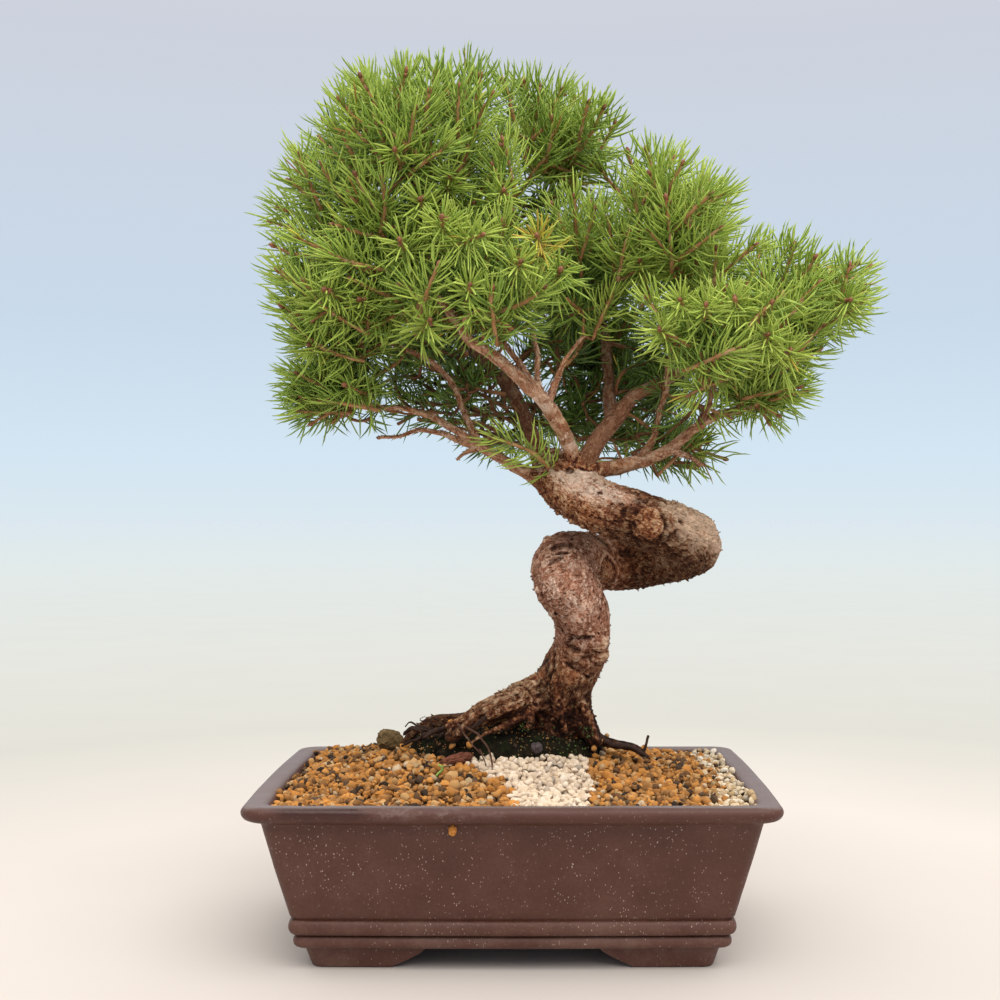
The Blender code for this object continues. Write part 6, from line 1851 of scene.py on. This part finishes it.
def scatter_grains():
    inner = np.abs(pot_ring(inner_inset(65.5) + 0.4)).max(0)
    hx, hy = inner[0], inner[1]
    bags = {k: Bag() for k in ("grit_left", "pumice_patch", "grit_right", "pale_grit_corner")}
    made_count = 0
    for layer, pitch, drop in ((0, 3.3, 1.5), (1, 2.95, 0.0), (2, 6.0, -1.1)):
        rows = int(2 * hy / (pitch * 0.866)) + 2
        for r in range(rows):
            y0 = -hy + r * pitch * 0.866
            cols = int(2 * hx / pitch) + 2
            xs = -hx + (np.arange(cols) + 0.5 * (r % 2)) * pitch
            x = xs + rng.normal(0, 0.24 * pitch, cols)
            y = y0 + rng.normal(0, 0.24 * pitch, cols)
            ins = -2.0 if layer else 1.6
            dx, dy = np.abs(x) - (hx - ins - 4.0), np.abs(y) - (hy - ins - 4.0)
            ok = (np.hypot(np.maximum(dx, 0), np.maximum(dy, 0)) < 4.0) & (mound_factor(x, y) > 0.97)
            x, y = x[ok], y[ok]
            if layer == 0:
                keep = rng.random(len(x)) < np.where(y < 10, 1.0, 0.65)
                x, y = x[keep], y[keep]
            le, re, pe = edge_x(LEFT_EDGE, y), edge_x(RIGHT_EDGE, y), edge_x(PALE_EDGE, y)
            le, re = le + rng.normal(0, 1.3, len(x)), re + rng.normal(0, 1.3, len(x))
            behind = y > 6
            le, re = np.where(behind, 0.0, le), np.where(behind, 0.0, re)
            pe = pe + rng.normal(0, 3.2, len(x))
            zone = np.where(x < le, 0, np.where(x < re, 1, np.where(x < pe, 2, 3)))
            for z in range(4):
                m = zone == z
                n = int(m.sum())
                if not n:
                    continue
                key = list(bags)[z]
                size = rng.gamma(7.0, 0.240, n).clip(0.85, 2.7) if z != 1 else rng.uniform(1.5, 2.3, n)
                if z == 3:
                    size = rng.uniform(1.2, 2.4, n)
                if layer == 2:
                    size = size * 0.85
                top = surface(x[m], y[m]) + 0.9 * perlin(np.stack((x[m] / 14, y[m] / 14, x[m] * 0), 1), 400)
                zz = top - drop - size * 0.15 + rng.normal(0, 0.35, n)
                # grains at the edge lean on the slope of the lip
                inset = np.minimum(RIM_HALF_X - np.abs(x[m]), RIM_HALF_Y - np.abs(y[m]))
                size = np.where(inset < 14.5, np.minimum(size, 1.75), size)
                lip = np.interp(inset, (9.3, 10.3, 11.2, 12.3, 13.6), (68.3, 67.0, 65.4, 63.5, 61.0))
                zz = np.where(inset < 13.6, np.maximum(zz, lip + 0.62 * size), zz)
                if z == 1 or z == 3:
                    tone = rng.beta(3.2, 2.0, n)
                else:
                    tone = np.where(rng.random(n) < 0.105, rng.uniform(0.0, 0.22, n), np.clip(rng.normal(0.60, 0.17, n), 0.2, 0.95))
                    tone = np.where(rng.random(n) < 0.035, rng.uniform(0.88, 1.0, n), tone)
                    patch = perlin(np.stack((x[m] / 20, y[m] / 20, x[m] * 0 + 3), 1), 410)
                    tone = np.where(tone > 0.2, np.clip(tone + 0.10 * patch, 0.18, 1.0), tone)
                pos = np.stack((x[m], y[m], zz), 1)
                grade = np.where(layer == 0, 0, np.where(y[m] < -42, 2, np.where(y[m] < 6, 1, 0))) + np.zeros(n, int)
                made_count += n
                for g in (0, 1, 2):
                    if (grade == g).any():
                        add_grains(bags[key], pos[grade == g], size[grade == g], tone[grade == g], g)
    mats = {"grit_left": (OCHRE, "ochre_grit"), "pumice_patch": (PUMICE, "pumice"), "grit_right": (OCHRE, "ochre_grit"), "pale_grit_corner": (PALE, "pale_grit")}
    total = 0
    for key, bag in bags.items():
        v, q, t, uv = bag.arrays()
        mat, slot = mats[key]
        made(key + "_grains", v, q, t, mat, (key,), uv, smooth=True, sharp=48)
        total += bag.tri_count()
    print("grains", made_count, "tris", total)
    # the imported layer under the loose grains
    ring = pot_ring(inner_inset(65.5) + 0.5)
    rows = 46
    f = 1 - np.arange(rows) / rows
    xy = (ring[None] * f[:, None, None]).reshape(-1, 2)
    z = surface(xy[:, 0], xy[:, 1]) - 2.4
    z += 0.9 * fbm(np.column_stack((xy / 3.2, xy[:, 0] * 0)), 3, 420)
    v = np.column_stack((xy, z))
    n = len(ring)
    i, j = np.meshgrid(np.arange(rows - 1), np.arange(n), indexing="ij")
    jj = (j + 1) % n
    q = np.stack((i * n + j, i * n + jj, (i + 1) * n + jj, (i + 1) * n + j), -1).reshape(-1, 4)
    c = len(v)
    v = np.vstack((v, (0, 0, surface(0.0, 0.0) - 2.4)))
    k = np.arange(n)
    t = np.stack(((rows - 1) * n + k, (rows - 1) * n + (k + 1) % n, np.full(n, c)), 1)
    made("packed_bed", v, q, t, BED)


def root_ball():
    ring_n, rows = 190, 64
    base = np.array([(x, y, z) for z, x, y in MOUND] + [(15, 7, 89.3), (0.4, 0.2, 89.8)])
    line = curve(base[:, [2, 0, 1]] * np.array((1.0, 1.0, 1.0)), 0.5)
    at = np.linspace(0, len(line) - 1, rows)
    zz, hx, hy = (np.interp(at, np.arange(len(line)), line[:, c]) for c in (0, 1, 2))
    a = np.arange(ring_n) / ring_n * 2 * np.pi
    ca, sa = np.cos(a), np.sin(a)
    v = np.stack((MOUND_MID[0] + hx[:, None] * ca, MOUND_MID[1] + hy[:, None] * sa, np.broadcast_to(zz[:, None], (rows, ring_n))), -1)
    wob = 1 + 0.06 * perlin(np.stack((np.tile(ca * 1.6, rows), np.tile(sa * 1.6, rows), np.repeat(zz, ring_n) * 0.04), 1), 500)
    v = v.reshape(-1, 3)
    v[:, :2] = np.array(MOUND_MID) + (v[:, :2] - np.array(MOUND_MID)) * wob[:, None]
    out = unit(np.column_stack(((v[:, :2] - np.array(MOUND_MID)) / np.array((46.0, 29.0)) ** 2 * 900, np.clip((v[:, 2] - 74) / 8, 0.0, 3.0))))
    lump = 2.6 * fbm(v / 9.0, 3, 510) + 1.5 * fbm(v / 3.0, 3, 520) + 0.8 * fbm(v / 1.2, 2, 530)
    moss = 0.45 * step(0.05, 0.35, fbm(v / 7.0, 3, 540)) + 0.10
    for u, w, d, r in ((526, 727, -10, 4.0), (588, 734, -6, 4.5), (570, 748, -12, 6.0)):
        dist = np.linalg.norm(v - fp(u, w, d), axis=1)
        moss = np.clip(moss + 0.9 * np.exp(-((dist / r) ** 2)), 0, 1)
    v = v + out * (lump + 0.7 * moss * np.abs(fbm(v / 0.9, 2, 545)))[:, None]
    i, j = np.meshgrid(np.arange(rows - 1), np.arange(ring_n), indexing="ij")
    jj = (j + 1) % ring_n
    q = np.stack((i * ring_n + j, i * ring_n + jj, (i + 1) * ring_n + jj, (i + 1) * ring_n + j), -1).reshape(-1, 4)
    made("root_ball", v, q, None, SOIL, ("mossy_root_ball",), None, True, {"moss": moss})
    verts = v
    # crumbs, grains and bits caught in the soil
    bag = Bag()
    front = verts[(verts[:, 2] > 66) & (rng.random(len(verts)) < np.where(verts[:, 1] < 22, 1.0, 0.6))]
    picks = front[rng.integers(len(front), size=820)] + rng.normal(0, 0.5, (820, 3))
    size = rng.gamma(3.0, 0.16, 820).clip(0.2, 1.2)
    tone = np.where(rng.random(820) < 0.84, rng.uniform(0.0, 0.30, 820), rng.uniform(0.4, 1.0, 820))
    add_grains(bag, picks, size, tone, 0)
    spots = [(450, 722, 6, 1.6), (428, 731, 10, 2.0), (437, 735, 6, 2.2), (446, 738, 2, 1.9), (458, 737, -2, 1.8), (468, 733, -4, 1.7), (478, 738, -6, 1.7),
             (486, 729, -4, 1.3), (443, 729, 8, 1.6), (470, 745, -10, 1.8), (452, 746, -8, 2.0), (600, 742, 2, 1.9), (607, 736, 9, 1.7), (594, 748, -4, 1.8)]
    pos = np.array([fp(u, v_, d) for u, v_, d, _ in spots])
    add_grains(bag, pos, np.array([s for *_, s in spots]) * 0.9, rng.uniform(0.5, 0.8, len(spots)), 2)
    face = verts[(verts[:, 2] > 68) & (verts[:, 1] < 12)]
    specks = face[rng.integers(len(face), size=620)] + rng.normal(0, 0.4, (620, 3))
    add_grains(bag, specks, rng.uniform(0.18, 0.42, 620), rng.uniform(0.25, 1.0, 620), 0)
    v, q, t, uv = bag.arrays()
    made("soil_crumbs", v, q, t, OCHRE, (), uv, True, None, 48)


def tuft_of_moss():
    """Short leafy moss stems in the green patches of the root ball."""
    bag = Bag()
    for u, w, d, r, n in ((526, 727, -12, 2.4, 12), (588, 732, -10, 3.0, 18), (572, 746, -13, 5.0, 24), (548, 738, -12, 8, 8), (512, 742, -14, 9, 8)):
        mid = fp(u, w, d)
        for _ in range(n):
            o = mid + rng.normal(0, 1, 3) * np.array((r * 0.6, 1.2, r * 0.5))
            up = unit(np.array((rng.normal(0, 0.6), -1.0 + rng.normal(0, 0.4), 0.9 + rng.normal(0, 0.4))))
            L = rng.uniform(0.7, 1.6)
            side = unit(np.cross(up, rng.normal(size=3)))
            other = np.cross(up, side)
            wd = 0.22
            v = np.array((o + side * wd, o - side * 0.5 * wd + other * wd, o - side * 0.5 * wd - other * wd, o + up * L * 0.6 + side * wd * 1.1,
                          o + up * L * 0.6 - side * 0.5 * wd + other * wd, o + up * L * 0.6 - side * 0.5 * wd - other * wd, o + up * L))
            tone = rng.uniform(0.03, 0.40)
            uv = np.array([(tone + 0.006 * (k % 3 - 1), z) for k, z in enumerate((0.1, 0.1, 0.1, 0.55, 0.55, 0.55, 0.95))])
            bag.add(v, ((0, 1, 4, 3), (1, 2, 5, 4), (2, 0, 3, 5)), ((3, 4, 6), (4, 5, 6), (5, 3, 6)), uv)
    v, q, t, uv = bag.arrays()
    made("moss_tufts", v, q, t, NEEDLE, (), uv)


def fine_roots():
    dark, pale = Bag(), Bag()

    def add(bag, rows, sides=7, rough=0.18, step_mm=1.3):
        line = curve([(*fp(u, v, d), r * (0.62 if bag is pale else 0.85)) for u, v, d, r in rows], step_mm)
        line[:, :3] += 0.5 * np.stack([perlin(line[:, :3] / 4.0 + c * 9.1, 700 + c) for c in range(3)], 1)
        wob = 1 + rough * rng.normal(0, 1, (len(line), sides)).clip(-1.6, 1.6)
        bag.add(*sweep(line[:, :3], line[:, 3], sides, True, wob))

    add(dark, ((598, 737, 4, 1.9), (612, 745, 1, 1.5), (632, 747, -1, 1.35), (640, 752, -3, 1.3), (648, 757, -5, 0.9)))
    add(dark, ((642, 754, -3, 0.95), (645, 748, -3, 0.85), (647, 742, -3, 0.75), (648.5, 736, -3, 0.7)))
    add(dark, ((440, 731, 4, 1.2), (425, 730, 6, 1.1), (411, 728, 7, 0.95), (404, 734, 8, 0.6)))
    add(dark, ((425, 722, 8, 0.30), (420, 719, 6, 0.22), (425, 716, 4, 0.15)), 5)
    add(dark, ((436, 726, 4, 0.6), (430, 722, 3, 0.5), (433, 718, 3, 0.45), (439, 721, 4, 0.5)), 5)
    add(dark, ((450, 727, -2, 1.6), (436, 731, -3, 1.2), (424, 737, -4, 0.8)))
    add(dark, ((404, 735, 10, 0.5), (414, 729, 6, 0.6), (430, 736, 2, 0.45)), 5)
    add(pale, ((458, 724, -13, 0.8), (463, 733, -16, 0.70), (471, 742, -18, 0.6), (479, 753, -20, 0.42)))
    add(pale, ((466, 727, -13, 0.95), (478, 735, -17, 0.85), (487, 746, -20, 0.70), (491, 758, -22, 0.6), (492, 771, -24, 0.42)))
    add(pale, ((479, 749, -20, 0.65), (483, 757, -22, 0.5), (486, 766, -24, 0.4)))
    add(dark, ((414, 741, 4, 0.7), (428, 733, 1, 0.9), (444, 728, -3, 1.1), (458, 722, -8, 1.2)))
    add(dark, ((452, 744, -6, 0.6), (462, 735, -9, 0.9), (474, 727, -12, 1.0), (486, 717, -13, 1.1)))
    add(dark, ((402, 746, 12, 0.5), (416, 740, 9, 0.8), (432, 736, 6, 0.9), (447, 737, 0, 0.8), (456, 745, -6, 0.6)))
    add(dark, ((434, 742, 2, 0.5), (446, 733, -1, 0.8), (455, 726, -5, 0.9)))
    add(dark, ((405, 727, 9, 0.35), (411, 722, 8, 0.5), (420, 726, 7, 0.7), (432, 729, 5, 0.9)), 5)
    v, q, t, _ = dark.arrays()
    made("dark_roots", v, q, t, DARK_ROOT)
    v, q, t, _ = pale.arrays()
    made("thin_roots", v, q, t, PALE_ROOT)


def lump(name, node, mat, slot, mid, half, turn, seed, sub=5, amp=0.22, freq=1.4, grooves=0.0):
    bm = bmesh.new()
    bmesh.ops.create_icosphere(bm, subdivisions=sub, radius=1.0)
    v = np.array([tuple(x.co) for x in bm.verts])
    f = np.array([[x.index for x in fc.verts] for fc in bm.faces])
    bm.free()
    r = 1 + amp * fbm(v * freq + seed * 3.1, 3, 600 + seed) + amp * 0.45 * fbm(v * freq * 4, 3, 620 + seed)
    if grooves:
        r += grooves * fbm(v * np.array((1.2, 9.0, 9.0)), 3, 640 + seed)
    v = v * r[:, None] * np.array(half)
    c, s = math.cos(turn), math.sin(turn)
    v = np.stack((v[:, 0] * c + v[:, 2] * s, v[:, 1], -v[:, 0] * s + v[:, 2] * c), 1) + mid
    made(name, v, None, f, mat, (node,), None, True)


def loose_things():
    lump("clay_clod", "clay_lump", CLAY, "clay_lump", fp(390, 740, 26), (6.4, 5.2, 4.6), 0.15, 1, 5, 0.34, 1.7)
    lump("bark_piece", "bark_chunk", CHUNK, "bark_chunk", fp(456, 760, -14.5), (6.9, 3.0, 2.5), -0.25, 2, 5, 0.26, 1.5, 0.30)
    lump("small_stone", "grey_stone", STONE, "grey_stone", fp(537, 747.5, -12.2), (2.4, 1.9, 2.3), 0.5, 3, 5, 0.42, 1.7)
    lump("loose_grain", "stray_grain", OCHRE_SOLID, "ochre_grit", fp(452.5, 830.5, -71.8), (1.6, 1.15, 2.1), 0.0, 4, 4, 0.30, 1.5)
    rows = ((436.2, 776.0, -27, 0.5), (439.0, 772.6, -27, 0.46), (441.6, 770.6, -27, 0.44), (442.2, 767.6, -27, 0.42), (438.9, 764.8, -27, 0.34))
    line = curve([(*fp(u, v, d), r) for u, v, d, r in rows], 0.4)
    bag = Bag()
    bag.add(*sweep(line[:, :3], line[:, 3], 8, True, 1 + 0.06 * rng.normal(0, 1, (len(line), 8)).clip(-1, 1)))
    for a, b in (((441.8, 768.5), (443.8, 765.5)), ((440.0, 765.4), (437.6, 766.2))):
        l2 = curve(np.array((fp(*a, -27), (fp(*a, -27) + fp(*b, -28)) / 2 + (0, 0, 0.2), fp(*b, -28))), 0.4)
        bag.add(*sweep(l2, np.linspace(0.34, 0.12, len(l2)), 6))
    v, q, t, _ = bag.arrays()
    made("sprout_stem", v, q, t, SPROUT, ("sprout",))


OCHRE_SOLID = rock_look("orange_grain", [(0.3, (0.30, 0.10, 0.020)), (0.55, (0.62, 0.25, 0.055)), (0.8, (0.80, 0.44, 0.15))], 500)

import time
clock = time.time()


def tick(what):
    global clock
    now = time.time()
    print("time", what, round(now - clock, 1))
    clock = now


build_pot(); tick("pot")
trunk_bvh = tree_skin(); tick("trunk")
small_limbs(); tick("limbs")
plant_foliage(); tick("foliage")
scatter_grains(); tick("grains")
root_ball(); tuft_of_moss(); fine_roots(); loose_things(); tick("soil")

for node, mat in (("substrate", HIDDEN_SOIL), ("drain_mesh_left", MESH_PLASTIC), ("drain_mesh_right", MESH_PLASTIC), ("mesh_wire_left", WIRE), ("mesh_wire_right", WIRE)):
    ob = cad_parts[node]
    ob.data.materials.clear()
    ob.data.materials.append(mat)

FLOOR_TONES = ((0.573, 0.525, 0.494), (0.44, 0.438, 0.414), (0.44, 0.451, 0.44), (0.419, 0.465, 0.486), (0.398, 0.456, 0.505))

# --- stage, light and camera -----------------------------------------------------
bm = bmesh.new()
bmesh.ops.create_circle(bm, cap_ends=True, segments=128, radius=90.0)
floor_mesh = bpy.data.meshes.new("floor")
bm.to_mesh(floor_mesh)
bm.free()
floor = bpy.data.objects.new("floor", floor_mesh)
bpy.context.scene.collection.objects.link(floor)
paper = Look("pale_floor", 0.95, 0.0)
dist = paper.nt.nodes.new("ShaderNodeVectorMath")
dist.operation = "LENGTH"
paper.nt.links.new(paper.coords.outputs["Object"], dist.inputs[0])
far = paper.math("LOGARITHM", dist.outputs["Value"], 10.0)
tones = paper.ramp(paper.span(far, -0.7, 1.3), [(0.0, FLOOR_TONES[0]), (0.09, FLOOR_TONES[0]), (0.25, FLOOR_TONES[1]), (0.41, FLOOR_TONES[2]), (0.73, FLOOR_TONES[3]), (1.0, FLOOR_TONES[4])])
paper.done(paper.mix(tones, paper.ramp(paper.noise(9.0, 3, 0.5), [(0.35, 0.492), (0.65, 0.508)]), 0.5, "OVERLAY"))
floor_mesh.materials.append(paper.m)

sun_data = bpy.data.lights.new("key", "SUN")
sun_data.energy, sun_data.angle, sun_data.color = 1.9, math.radians(55), (1.0, 0.965, 0.90)
sun = bpy.data.objects.new("key", sun_data)
sun.rotation_euler = Vector((-0.28, 0.62, -1.0)).to_track_quat("-Z", "Y").to_euler()
bpy.context.scene.collection.objects.link(sun)

world = bpy.data.worlds.new("sky")
bpy.context.scene.world = world
world.use_nodes = True
wt = world.node_tree
tc = wt.nodes.new("ShaderNodeTexCoord")
sep = wt.nodes.new("ShaderNodeSeparateXYZ")
wt.links.new(tc.outputs["Generated"], sep.inputs[0])
wr = wt.nodes.new("ShaderNodeValToRGB")
els = wr.color_ramp.elements
els[0].position, els[0].color = 0.0, (0.708, 0.807, 0.863, 1)
els[1].position, els[1].color = 0.045, (0.655, 0.79, 0.895, 1)
for pos, col in ((0.14, (0.585, 0.70, 0.825)), (0.33, (0.61, 0.645, 0.725)), (0.42, (0.66, 0.67, 0.70)), (0.60, (0.95, 0.93, 0.88)), (1.0, (1.0, 0.98, 0.93))):
    e = els.new(pos)
    e.color = (*col, 1)
wt.links.new(sep.outputs["Z"], wr.inputs["Fac"])
wt.links.new(wr.outputs["Color"], wt.nodes["Background"].inputs["Color"])
# overhead the sky is brighter than a colour can be
gain = wt.nodes.new("ShaderNodeMapRange")
gain.inputs["From Min"].default_value, gain.inputs["From Max"].default_value = 0.42, 0.85
gain.inputs["To Min"].default_value, gain.inputs["To Max"].default_value = 1.0, 1.75
wt.links.new(sep.outputs["Z"], gain.inputs["Value"])
wt.links.new(gain.outputs["Result"], wt.nodes["Background"].inputs["Strength"])

cam_data = bpy.data.cameras.new("camera")
cam = bpy.data.objects.new("camera", cam_data)
bpy.context.scene.collection.objects.link(cam)
cam.location = (-0.018028, -0.622942, 0.1805)
cam.rotation_euler = (math.pi / 2, 0.0, 0.0)
cam_data.sensor_width, cam_data.lens = 36.0, 50.4
cam_data.shift_x, cam_data.shift_y = -0.028, 0.020
cam_data.clip_start = 0.01
bpy.context.scene.camera = cam
bpy.context.scene.view_settings.view_transform = "Standard"
